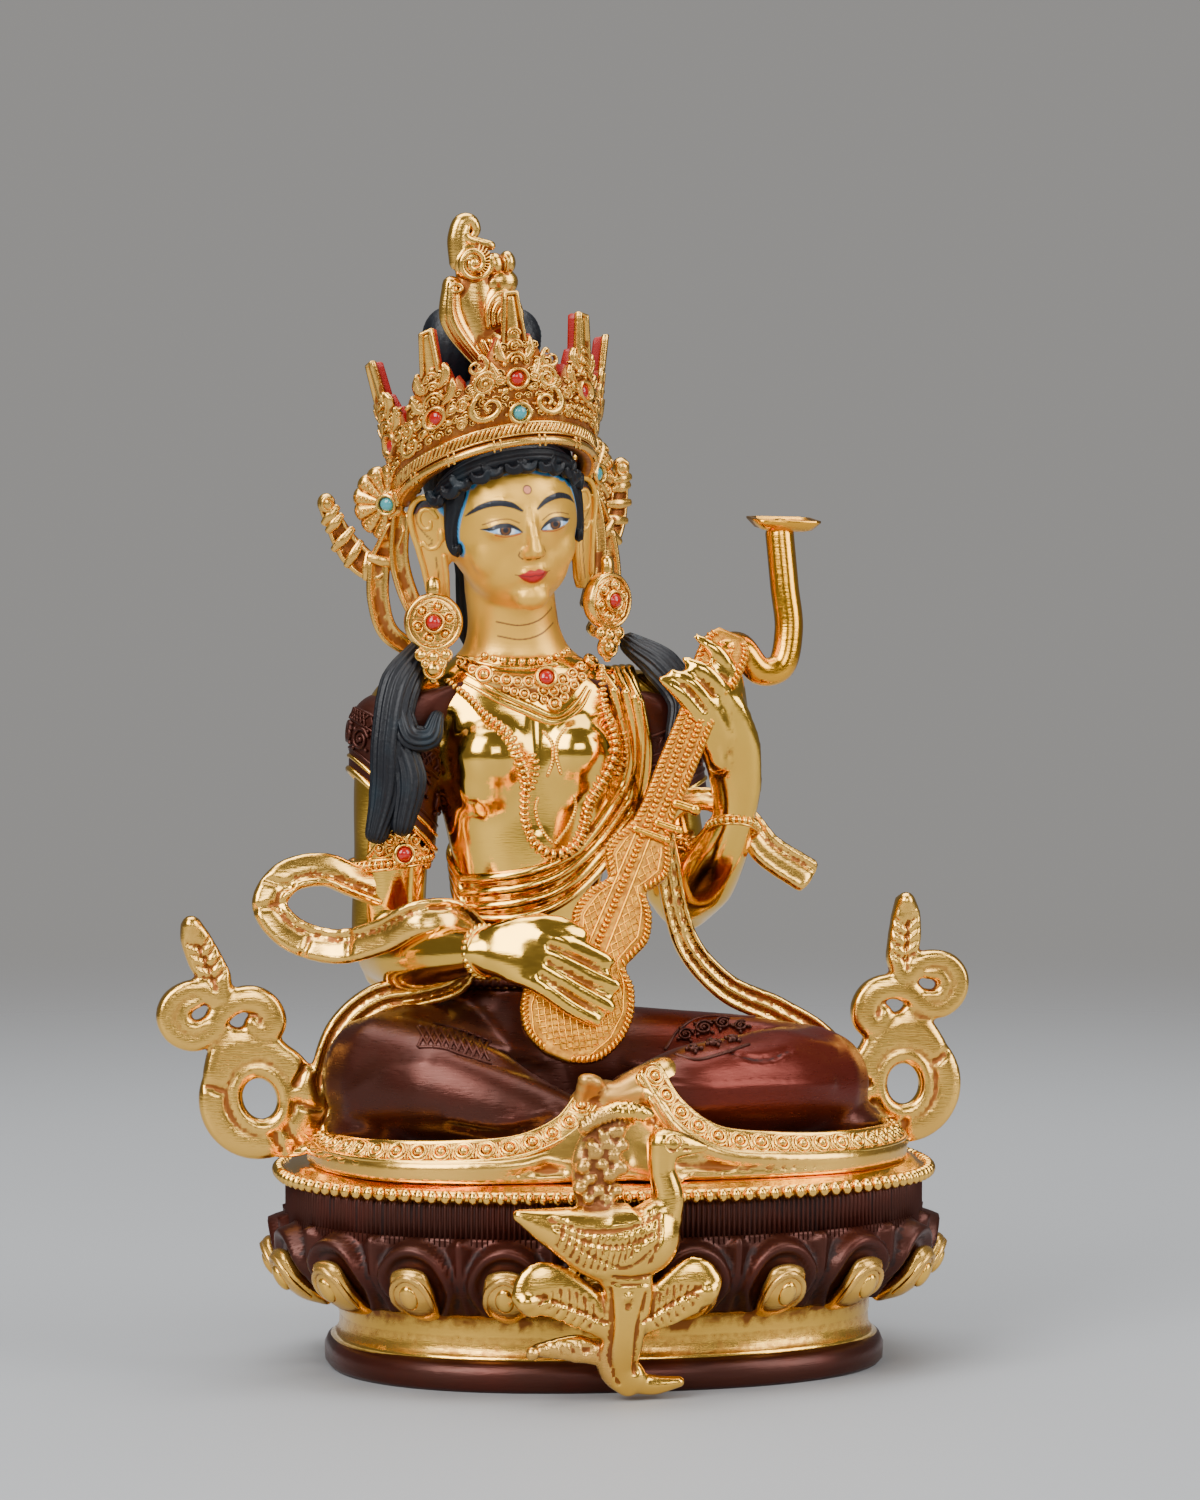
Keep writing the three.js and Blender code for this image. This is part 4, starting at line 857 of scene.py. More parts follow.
def buildRobe():
    hips = loftOvals([(-14, 9, 18.5, 14.5, 2), (-14.4, 9.2, 17.4, 13.4, 14), (-14.2, 9.4, 16.0, 12.0, 24),
                      (-13.9, 9.5, 14.6, 10.9, 31)])
    underKnees = [blob((-41, -6, 6.4), (11.5, 11.5, 5)), blob((38.5, -5, 6), (12.5, 11.5, 5))]
    piece = makePiece("robe", legParts() + [robeOnSeat()] + underKnees + [hips], up=seat)
    blended(piece, 1.0, smooth=4)
    worked(piece, [
        # long folds over the shins and knees, read from the front
        ([(4, 17), (12, 15.4), (24, 15.2), (38, 14.2)], 1.3, 0.55),
        ([(18.4, 20.9), (22, 19.7), (26, 19.6), (29.6, 20.6)], 0.42, -0.6),
        ([(19.2, 20.2), (22.4, 18.8), (26.2, 18.8), (29.2, 19.9)], 0.5, 0.35),
        ([(2, 9.6), (10, 5.9), (24, 4.4), (40, 4.6)], 1.0, -0.5),
        ([(4, 11.5), (12, 7.8), (26, 6.2)], 0.9, 0.35),
        ([(-16, 12.4), (-24, 9.4), (-33, 10.4)], 0.9, 0.45),
        ([(-15, 10.6), (-24, 7.8), (-32, 8.8)], 0.7, -0.5),
        ([(-12, 17.4), (-22, 20.6), (-32, 23.4)], 0.9, 0.45),
        ([(-11, 15.2), (-21, 18.6), (-31, 21.6)], 0.7, -0.35),
        ([(-36, 20), (-44, 18), (-49, 13)], 1.2, 0.3),
        ([(16, 24), (28, 23.6), (40, 20)], 1.0, 0.35),
    ], up=seat)
    markRecess(piece, 1.1, 1.0)
    x, y, z = places(piece).T
    setMark(piece, "warm", eased(x, 2, 16) * eased(z, seat + 5, seat + 13) * 0.8)
    # the cloth's edge below the hem is gilded
    edgeX, edgeY = np.array([(-52.6, -2), (-51.4, -15.5), (-45, -27.4), (-33, -34.5), (-21, -37), (-13, -35),
                             (-9, -32.5),
                             (2, -33.5), (6, -35.5), (13, -37), (26, -35.3), (40, -29.6), (50, -17),
                             (52.4, -4)]).T
    outside = eased(np.interp(x, edgeX, edgeY) + 2.2 - y, 0, 0.5)
    low = 1 - eased(z - seat, 3.5, 4.2)
    reach = np.hypot(x / robe["halfWidth"], y / np.where(y < 0, robe["front"], robe["back"]))
    rimSide = eased(reach, 0.965, 0.985)
    setMark(piece, "copper", 1 - np.clip(low * np.maximum(outside, rimSide), 0, 1))
    setMark(piece, "matt", np.full(len(x), 0.1))
    return piece


robePiece = buildRobe()
print("robe shaped")


# head and hair; the head is drawn upright about its own centre and then tipped into place

headTurn = (0.12, -0.12, 0.16)
headPlace = (-17.4, 3, 116)


def inHead(parts):
    return allMoved(parts, turn=headTurn, by=headPlace)


face = {"browHeight": 3.5, "eyeHeight": 0.0, "eyeApart": 4.7, "noseBase": -5.6, "mouthHeight": -8.7,
        "ear": (14.9, 1.4, -0.4)}


def headParts():
    e, n, m = face["eyeHeight"], face["noseBase"], face["mouthHeight"]
    parts = [
        blob((0, -1.3, 1.2), (12.4, 12.5, 15.6), around=44, rows=30),
        blob((0, -3.6, -6.5), (9.9, 9.5, 9.4), around=36, rows=22),
        blob((0, -10.9, -13.1), (3.4, 2.4, 2.5)),
        sweep([(0, -13.1, 3.4), (0, -14.6, -1.0), (0, -15.7, n + 1.2)], [0.8, 0.95, 1.45], [0.9, 1.1, 1.35],
              steps=18),
        sweep([(0, 2, -4), (-0.4, 1.4, -14), (0.4, 1.2, -20)], [7.8, 8.0, 8.1], steps=12),
    ]
    for side in (-1, 1):
        parts += [
            blob((side * 5.2, -7.7, -4.6), (4.9, 3.9, 5.4)),
            blob((side * face["eyeApart"], -11.2, e - 0.1), (3.3, 2.2, 1.9)),
            blob((side * 1.25, -14.2, n + 0.75), (1.05, 1.15, 0.95)),
            blob((side * 1.0, -13.2, m + 0.45), (1.55, 0.85, 0.6), turn=(0, side * 0.18, 0)),
            sweep([(side * 1.2, -13.3, 4.0), (side * 4.8, -12.6, 4.9), (side * 9.2, -9.6, 3.6)],
                  [0.8, 0.9, 0.7], [0.3, 0.35, 0.25], steps=16),
        ]
    parts.append(blob((0, -13.1, m - 0.75), (1.9, 0.95, 0.75)))
    return parts


def onEar(side, line, lift):
    # drawn on the ear's plate: outwards from its middle, and up
    facing, across = unit((side * 0.45, -0.9, 0)), unit((side * 0.9, 0.45, 0))
    return np.array([np.array(face["ear"]) * (side, 1, 1) + across * u + (0, 0, w) + facing * lift for u,
                     w in line])


def earParts(side):
    facing = tuple(unit((side * 0.45, -0.9, 0)))
    plate = onEar(side, [(-1.2, 5.6), (-0.4, 2.6), (-0.5, -2.0), (-0.9, -7.0), (-1.3, -13.6)], 0)

    def ridge(line, radius, lift=0.95, steps=30):
        return sweep(onEar(side, line, lift), radius, facing=facing, around=10, steps=steps)
    return [
        sweep(plate, [2.3, 3.5, 3.2, 2.7, 2.1], [1.1, 1.2, 1.2, 1.2, 1.0], facing=facing, around=30,
              steps=34),
    ], [
        ridge([(-2.2, 4.4), (-0.9, 5.9), (1.2, 5.7), (2.7, 3.4), (2.6, 0.2), (1.8, -3.2), (1.0, -7.2),
               (0.4, -11.6)], 0.62),
        ridge([(-2.1, 2.2), (-0.9, 3.7), (0.6, 3.6), (1.2, 2.0), (0.5, 0.4), (-0.7, 0.3), (-0.9, 1.5)], 0.52),
        ridge([(-2.6, -1.6), (-1.6, -3.2), (-0.2, -3.4), (0.7, -2.2)], 0.5),
        ridge([(-2.9, -5.0), (-3.0, -8.4), (-2.8, -12.2)], 0.6),
        blob(onEar(side, [(-2.7, -1.0)], 0.8)[0], (0.9, 0.9, 1.4)),
    ]


def neckLoft():
    # the painted neck, a little proud of the gilt below it
    return loftOvals([(-14.9, 7.15, 12.4, 8.75, 90.4), (-15.1, 7.2, 10.0, 8.35, 92.2),
                      (-15.6, 6.7, 8.5, 8.0, 96),
                      (-16.4, 5.9, 8.2, 8.1, 102), (-17, 5.5, 8.1, 8.1, 107)])


def buildHead():
    parts = inHead(headParts() + earParts(-1)[0] + earParts(1)[0]) + [neckLoft()]
    head = makePiece("paintedHead", parts, up=seat)
    blended(head, 0.65, smooth=6)
    markRecess(head, 0.7, 0.3)
    return head


def buildEarFolds():
    folds = makePiece("earFolds", inHead(earParts(-1)[1] + earParts(1)[1]), up=seat)
    blended(folds, 0.28, smooth=2)
    return folds


turnBack = turnMatrix(*headTurn)


def headLocal(piece):
    return (places(piece) - np.array(headPlace) - (0, 0, seat)) @ turnBack


headPiece = buildHead()
earFolds = buildEarFolds()


crownPlan = {"middle": -1.5, "halfWidth": 16.6, "halfDepth": 15.4, "brow": 15.2, "drop": 9.3}


def crownFoot(angle):
    angle = np.asarray(angle, float)
    return np.stack([crownPlan["middle"] + crownPlan["halfWidth"] * np.sin(angle),
                     -crownPlan["halfDepth"] * np.cos(angle),
                     crownPlan["brow"] - crownPlan["drop"] * (1 - np.cos(angle))], axis=-1)


def combedBlob(centre, radii, turn, strands, depth, twist, around=96, rows=30):
    lat = np.linspace(0, math.pi, rows + 1)[1:-1]
    lon = np.arange(around) / around * 2 * math.pi
    rings = []
    for a in lat:
        groove = 1 + depth * np.sin(strands * (lon + twist * a)) * math.sin(a)
        rings.append(np.stack([math.sin(a) * np.cos(lon) * groove, math.sin(a) * np.sin(lon) * groove,
                               np.full(around, math.cos(a))], axis=1))
    m = turnMatrix(*turn) * np.asarray(radii, float)
    place = np.asarray(centre, float)
    return skinOf(np.array(rings) @ m.T + place, poles=(m @ (0, 0, 1.0) + place, m @ (0, 0, -1.0) + place))


def combedLock(points, side, deep, strands=9, depth=0.09, steps=26, around=60, facing=(0, -1, 0),
               tips=(1, 1)):
    a = np.arange(around) / around * 2 * np.pi
    groove = 1 + depth * np.cos(strands * a)
    section = np.stack([np.cos(a) * groove, np.sin(a) * groove], axis=1)
    return sweep(points, side, deep, facing=facing, steps=steps, section=section, tips=tips)


def hairParts():
    parts = [combedBlob((0, 3.4, 8), (13.7, 14.2, 15), (0, 0, 0), 46, 0.012, 0.3, around=184, rows=24)]
    foot = crownFoot(np.linspace(-1.3, 1.3, 17))
    roll = np.column_stack([foot[:, 0] * 0.8, foot[:, 1] * 0.8, foot[:, 2] - 2.5])
    parts.append(combedLock(roll, [1.2, 1.9, 2.1, 2.1, 2.1, 1.9, 1.2], [1.4, 2.0, 2.4, 2.4, 2.4, 2.0, 1.4],
                            strands=9,
                            depth=0.07, steps=70, facing=(0, 0, 1)))
    for k, angle in enumerate(np.linspace(-1.16, 1.16, 12)):
        # waves of hair that turn under the roll, each with a curled end
        here = crownFoot(angle) * (0.8, 0.8, 1)
        outward = np.array([math.sin(angle), -math.cos(angle), 0])
        across = np.array([math.cos(angle), math.sin(angle), 0])
        low = here + (0, 0, -4.2) + outward * 1.5
        side = 1 if k % 2 else -1
        curve = [low + across * (side * 1.9) + (0, 0, 1.1), low + across * (side * 0.9) + (0, 0, 0.0),
                 low - across * (side * 0.6) + (0, 0, 0.05), low - across * (side * 1.1) + (0, 0, 0.8)]
        parts.append(combedLock(curve, [0.9, 1.15, 1.0, 0.55], 0.95, strands=5, depth=0.08, steps=14,
                                around=30,
                                facing=tuple(outward)))
    for side in (-1, 1):
        # the lock before the ear, with its curled end
        parts.append(combedLock([(side * 10.9 - 0.6, -5.6, 8.2), (side * 11.7, -5.2, 4.2),
                                 (side * 12.2, -4.4, 0.0),
                                 (side * 12.1, -4.2, -3.2), (side * 11.7, -5.2, -4.2),
                                 (side * 11.6, -5.8, -3.3)],
                                [2.6, 2.0, 1.4, 1.1, 0.9, 0.6], 0.9, strands=6, steps=26, around=36,
                                facing=(side * 0.8, -0.6, 0)))
    parts += [
        combedBlob((-1, 4, 20), (9, 8.6, 9), (0, 0.2, 0), 22, 0.03, 0.7, around=88, rows=22),
        combedBlob((-5.6, 3, 31.6), (6.1, 5.7, 8.1), (0, -0.5, 0), 17, 0.045, 1.1, around=84, rows=22),
        combedBlob((5.4, 4, 31.6), (4.7, 4.7, 5.9), (0, 0.3, 0), 14, 0.045, -0.8, around=70, rows=20),
    ]
    return inHead(parts)


def lockParts():
    return [
        combedLock([(-17.6, 12, 119), (-17, 14.4, 107), (-15.6, 15.4, 96), (-14.6, 16, 84)], [9, 7.6, 8.6, 4],
                   [4, 3.4, 3.2, 2], strands=24, around=120),
        combedLock([(-33, 3, 92), (-37.4, -0.4, 86), (-39.4, -1.6, 76), (-40, -1, 66), (-42, -0.8, 58.6)],
                   [2.4, 3.6, 3.4, 3.2, 2.0], [2, 2.6, 2.4, 2.2, 1.5], strands=15, depth=0.07, steps=42,
                   around=75),
        combedLock([(-38, -1, 82), (-36, -3, 76.6), (-32.6, -3.4, 76.6), (-31.2, -2.9, 80)],
                   [2.2, 2.4, 2.2, 1.3],
                   2, strands=11, depth=0.08, around=72),
        combedLock([(-38.6, -1.4, 78), (-36, -2.4, 69), (-37.4, -2.0, 60.4)], [2, 2.9, 2], 1.9, strands=13,
                   depth=0.07, around=78),
        combedLock([(6, 6, 93), (11, 2, 89), (14.6, 0, 83), (13, -1.4, 76)], [2, 3.3, 3.0, 1.8], 2.2,
                   strands=14, depth=0.07,
                   steps=32, around=70),
        combedLock([(9, 5, 90), (14, 1.4, 85.5), (16, 0.4, 80)], [1.6, 2.4, 1.4], 1.8, strands=6, around=42),
    ]


hairPiece = makePiece("paintedHair", hairParts() + lockParts(), up=seat)
print("head and hair shaped")


# the painted face, drawn to the usual proportions: brows, lidded eyes, mouth and a dot on the brow

tints = {"black": (0.008, 0.010, 0.018), "brown": (0.10, 0.022, 0.006), "red": (0.42, 0.006, 0.005),
         "deepRed": (0.16, 0.006, 0.005), "white": (0.80, 0.84, 0.88), "sky": (0.16, 0.42, 0.78),
         "edge": (0.05, 0.27, 0.52), "pink": (0.80, 0.27, 0.14), "iris": (0.13, 0.045, 0.008)}


class PaintedFace:
    def __init__(self, piece):
        self.piece, self.local = piece, headLocal(piece)
        self.colour = np.zeros((len(self.local), 3))
        self.cover = np.zeros(len(self.local))
        self.front = np.where(np.abs(self.local[:, 0]) > 11.8, 1.0, eased(-self.local[:, 1], 1.0, 2.0))

    def lay(self, cover, tint):
        cover = np.clip(cover, 0, 1) * self.front
        shown = cover[:, None] * np.array(tints[tint])
        kept = self.cover * (1 - cover)
        total = cover + kept
        mixed = (shown + self.colour * kept[:, None]) / np.maximum(total, 1e-6)[:, None]
        self.colour = np.where(total[:, None] > 1e-6, mixed, 0)
        self.cover = total

    def line(self, points, width, tint, soft=0.09):
        fine, t = smoothLine([(x, 0, z) for x, z in points], 60)
        reach = readAt(width, t)
        gap = np.full(len(self.local), 9.0)
        for (x, _, z), r in zip(fine, reach):
            gap = np.minimum(gap, np.hypot(self.local[:, 0] - x, self.local[:, 2] - z) - r)
        self.lay(1 - eased(gap, -soft, soft), tint)

    def fill(self, low, high, tint, soft=0.1):
        x, z = self.local[:, 0], self.local[:, 2]
        low, high = (smoothLine([(a, 0, b) for a, b in sorted(side)], 60)[0] for side in (low, high))
        under = z - np.interp(x, low[:, 0], low[:, 2], left=99, right=99)
        over = np.interp(x, high[:, 0], high[:, 2], left=-99, right=-99) - z
        self.lay(eased(np.minimum(under, over), -soft, soft), tint)

    def disc(self, x, z, radius, tint, soft=0.09, within=None):
        gap = np.hypot(self.local[:, 0] - x, self.local[:, 2] - z) - radius
        cover = 1 - eased(gap, -soft, soft)
        self.lay(cover if within is None else cover * within, tint)

    def done(self):
        paint = self.piece.data.attributes.new("paint", "FLOAT_COLOR", "POINT")
        paint.data.foreach_set("color", np.column_stack([self.colour, self.cover]).astype(np.float32).ravel())


def paintFace():
    # the face is split finer where it is painted, twice at the eyes, the mouth and the neck line
    x, y, z = headLocal(headPiece).T
    side = np.abs(x)
    middle = (y < -5) & (z > -13) & (z < 13) & (side < 12.5)
    ears = (side > 11.5) & (y < 3) & (z > -16)
    neck = (side < 8) & (y < -2) & (z < -16) & (z > -23)
    splitFaces(headPiece, middle | ears | neck)
    x, y, z = headLocal(headPiece).T
    side = np.abs(x)
    eyes = (y < -7) & (z > -2.2) & (z < 8.2) & (side < 10.8)
    mouth = (y < -7) & (side < 4.4) & (z < -4.4) & (z > -11.6)
    neck = (side < 6.6) & (y < -3) & (z < -16.8) & (z > -22.6)
    splitFaces(headPiece, eyes | mouth | neck)
    drawn = PaintedFace(headPiece)
    x, y, z = drawn.local.T
    hair = BVHTree.FromPolygons([tuple(v) for v in places(hairPiece)],
                                [tuple(p.vertices) for p in hairPiece.data.polygons])
    near = np.full(len(x), 9.0)
    spots = places(headPiece)
    for k in np.flatnonzero((y < 0.5) & (z > -6) & (z < 15)):
        near[k] = hair.find_nearest(Vector(spots[k]))[3]
    drawn.lay(1 - eased(near, 0.62, 0.85), "edge")
    drawn.lay(1 - eased(near, 0.12, 0.3), "black")
    drawn.lay(eased(z - crownFoot(np.arctan2(x, -y))[:, 2] + 2.6, -0.4, 0.4), "black")
    n, m = face["noseBase"], face["mouthHeight"]
    for side in (-1, 1):
        def turned(points):
            return [(side * a, face["eyeHeight"] + b) for a, b in points]
        upper = [(1.8, -0.7), (2.7, 0.05), (4.3, 0.78), (6.0, 0.72), (7.4, 0.28), (8.5, 0.2)]
        lower = [(1.8, -0.75), (3.2, -1.0), (4.8, -1.02), (6.5, -0.55), (8.5, 0.2)]
        drawn.fill(turned(lower), turned(upper), "white")
        within = eased(np.minimum(np.interp(x * side, [p[0] for p in upper], [p[1] for p in upper]) - z,
                                  z - np.interp(x * side, [p[0] for p in lower], [p[1] for p in lower])),
                       -0.1, 0.1)
        for corner in (2.3, 7.0):
            drawn.lay(within * (1 - eased(np.abs(x * side - corner), 0.5, 1.2)) * 0.75, "sky")
        drawn.disc(side * 4.75, face["eyeHeight"] - 0.05, 1.12, "black", within=within)
        drawn.disc(side * 4.75, face["eyeHeight"] - 0.05, 0.84, "iris", within=within)
        drawn.disc(side * 4.75, face["eyeHeight"] - 0.05, 0.5, "black", within=within)
        drawn.line(turned([(2.1, -1.0), (3.4, -1.28), (5.0, -1.3), (6.6, -0.85)]), 0.1, "red")
        drawn.line(turned(upper), [0.14, 0.3, 0.42, 0.42, 0.32, 0.1], "black")
        drawn.line(turned(lower[:-1]), 0.07, "brown")
        drawn.line(turned([(2.2, 1.0), (4.0, 1.85), (6.2, 1.75), (8.2, 1.05)]), 0.1, "brown")
        brow = ((1.5, -0.35), (3.4, 0.9), (6.0, 1.35), (8.6, 0.55), (10.4, -0.9))
        drawn.line([(side * a, b + face["browHeight"]) for a, b in brow], [0.26, 0.54, 0.6, 0.44, 0.12],
                   "black")
        drawn.line([(side * 2.15, n + 1.5), (side * 2.55, n + 0.6), (side * 1.95, n - 0.1)], 0.1, "brown")
        drawn.line([(side * 0.55, n - 0.3), (side * 1.25, n - 0.2)], 0.13, "brown")
        ear = onEar(side, [(-1.6, 3.2), (-0.3, 4.4), (1.4, 3.6), (1.5, 1.2), (0.2, -0.9), (-0.9, -2.2),
                           (0.2, -2.9)], 1.0)
        drawn.line([(p[0], p[2]) for p in ear], 0.13, "brown")
        lobe = onEar(side, [(-1.3, -5.2), (-1.5, -8.4), (-1.4, -12.4)], 1.0)
        drawn.line([(p[0], p[2]) for p in lobe], 0.12, "brown")
    bow = [(-2.9, m + 0.08), (-1.7, m + 0.62), (-0.75, m + 0.98), (0, m + 0.78), (0.75, m + 0.98),
           (1.7, m + 0.62), (2.9, m + 0.08)]
    under = [(-2.9, m + 0.02), (-1.9, m - 0.95), (-0.8, m - 1.5), (0, m - 1.6), (0.8, m - 1.5),
             (1.9, m - 0.95), (2.9, m + 0.02)]
    drawn.fill(under, bow, "red")
    drawn.line([(-3.3, m + 0.2), (-1.5, m - 0.12), (-0.6, m - 0.2), (0, m - 0.06), (0.6, m - 0.2),
                (1.5, m - 0.12), (3.3, m + 0.2)],
               [0.08, 0.12, 0.14, 0.12, 0.14, 0.12, 0.08], "deepRed")
    drawn.disc(0, 6.7, 0.85, "brown")
    drawn.disc(0, 6.7, 0.66, "pink")
    for drop, bend in ((-18.2, 1.5), (-20.8, 1.4)):
        drawn.line([(-5.2, drop + 0.4), (-1.5, drop - 0.5), (2.2, drop - 0.1), (5.6, drop + bend)], 0.15,
                   "brown")
    drawn.done()


def paintedOver(material):
    # the paint lies over the gold and isn't metal itself
    tree = material.node_tree
    shader = tree.nodes["Principled BSDF"]
    paint = addNode(tree, "ShaderNodeAttribute", attribute_name="paint")
    gold = shader.inputs["Base Color"].links[0].from_socket
    sheen = shader.inputs["Metallic"].links[0].from_socket
    tree.links.new(mixed(tree, paint.outputs["Alpha"], gold, paint.outputs["Color"]),
                   shader.inputs["Base Color"])
    bare = combine(tree, "MULTIPLY", combine(tree, "SUBTRACT", 1.0, paint.outputs["Alpha"]), 0.6)
    tree.links.new(combine(tree, "MULTIPLY", sheen, bare), shader.inputs["Metallic"])
    return material


paintFace()
PaintedFace(earFolds).done()
paintedGold = paintedOver(metal("burnishedFaceGold", tone="face", roughness=0.4, mattRoughness=0.4,
                                bump=0.005, cloudiness=0.04))


def hairPaint():
    material = bpy.data.materials.new("hairPaint")
    material.use_nodes = True
    tree = material.node_tree
    shader = tree.nodes["Principled BSDF"]
    where = addNode(tree, "ShaderNodeTexCoord").outputs["Object"]
    tint = between(tree, noiseAt(tree, where, 260, 3, (1, 1, 0.4)), 0.5, 0.75)
    tree.links.new(mixed(tree, combine(tree, "MULTIPLY", tint, 0.35), (0.0028, 0.0036, 0.0065),
                         (0.006, 0.026, 0.040)),
                   shader.inputs["Base Color"])
    shader.inputs["Roughness"].default_value = 0.46
    shader.inputs["Specular IOR Level"].default_value = 0.36
    dent = addNode(tree, "ShaderNodeBump", Strength=0.3, Distance=0.0003)
    tree.links.new(noiseAt(tree, where, 1500, 2), dent.inputs["Height"])
    tree.links.new(dent.outputs["Normal"], shader.inputs["Normal"])
    return material


blackPaint = hairPaint()
dressed(gildedSkin, giltMetal, "goddess_figure")
dressed(robePiece, copperMetal, "goddess_figure")
dressed(headPiece, paintedGold, "goddess_figure")
dressed(earFolds, paintedGold, "goddess_figure")
dressed(hairPiece, blackPaint, "goddess_figure")
print("figure made")


# jewellery, sash and sleeves, laid on the skin

skinSurface = Surface(gildedSkin)
robeSurface = Surface(robePiece)


def raisedSeat(spots):
    return [(x, z + seat) for x, z in spots]


# A blob set on a surface, long along one way.
def framed(place, along, normal, radii, around=8, rows=5):
    along = unit(along)
    normal = unit(np.asarray(normal) - along * np.dot(normal, along))
    axes = np.stack([along, np.cross(normal, along), normal])
    verts, faces = blob((0, 0, 0), radii, around=around, rows=rows)
    return turnedOut(verts @ axes + place, faces)


def laid(surface, parts, spot, turn=0.0, lift=0.0):
    # flat ornament laid where the spot is seen, its y pointing up the surface
    way = unit(np.array([spot[0], 0, spot[1] + seat]) - viewPoint)
    place, normal, _, _ = surface.tree.ray_cast(Vector(viewPoint), Vector(way))
    if place is None:
        return []
    place, normal = np.array(place), unit(np.array(normal))
    up = unit(np.array((0, 0, 1.0)) - normal * normal[2])
    axes = np.stack([np.cross(up, normal), up, normal])
    return [turnedOut(v @ axes + place + normal * lift, f) for v, f in allMoved(parts, turn=(0, 0, turn))]


def beadsAlong(surface, line, pitch, radius, lift=0.0, flat=0.55, around=8, rows=5):
    smooth, t = smoothLine(line, 240)
    run = runAlong(smooth)
    marks, u = [], pitch / 2
    while u < run[-1]:
        share = np.interp(u, run, t)
        size = float(readAt(radius, np.array([share]))[0])
        marks.append((u, size))
        u += pitch * size / float(np.mean(radius))
    spots = np.stack([[np.interp(u, run, smooth[:, k]) for k in range(3)] for u, _ in marks])
    onIt, norm = surface.nearest(spots, lift)
    along = np.gradient(onIt, axis=0)
    return [framed(p, a, n, (size * flat, size, size * 0.85), around, rows)
            for p, a, n, (_, size) in zip(onIt, along, norm, marks)]


def smallBoss(radius):
    return [flatRing(0, 0, radius * 0.86, radius * 0.26, radius * 0.5, lift=0.15, steps=16, around=6),
            dome(0, 0, radius * 0.62, radius * 0.62, radius * 0.75, lift=0.1, around=10, rows=6)]


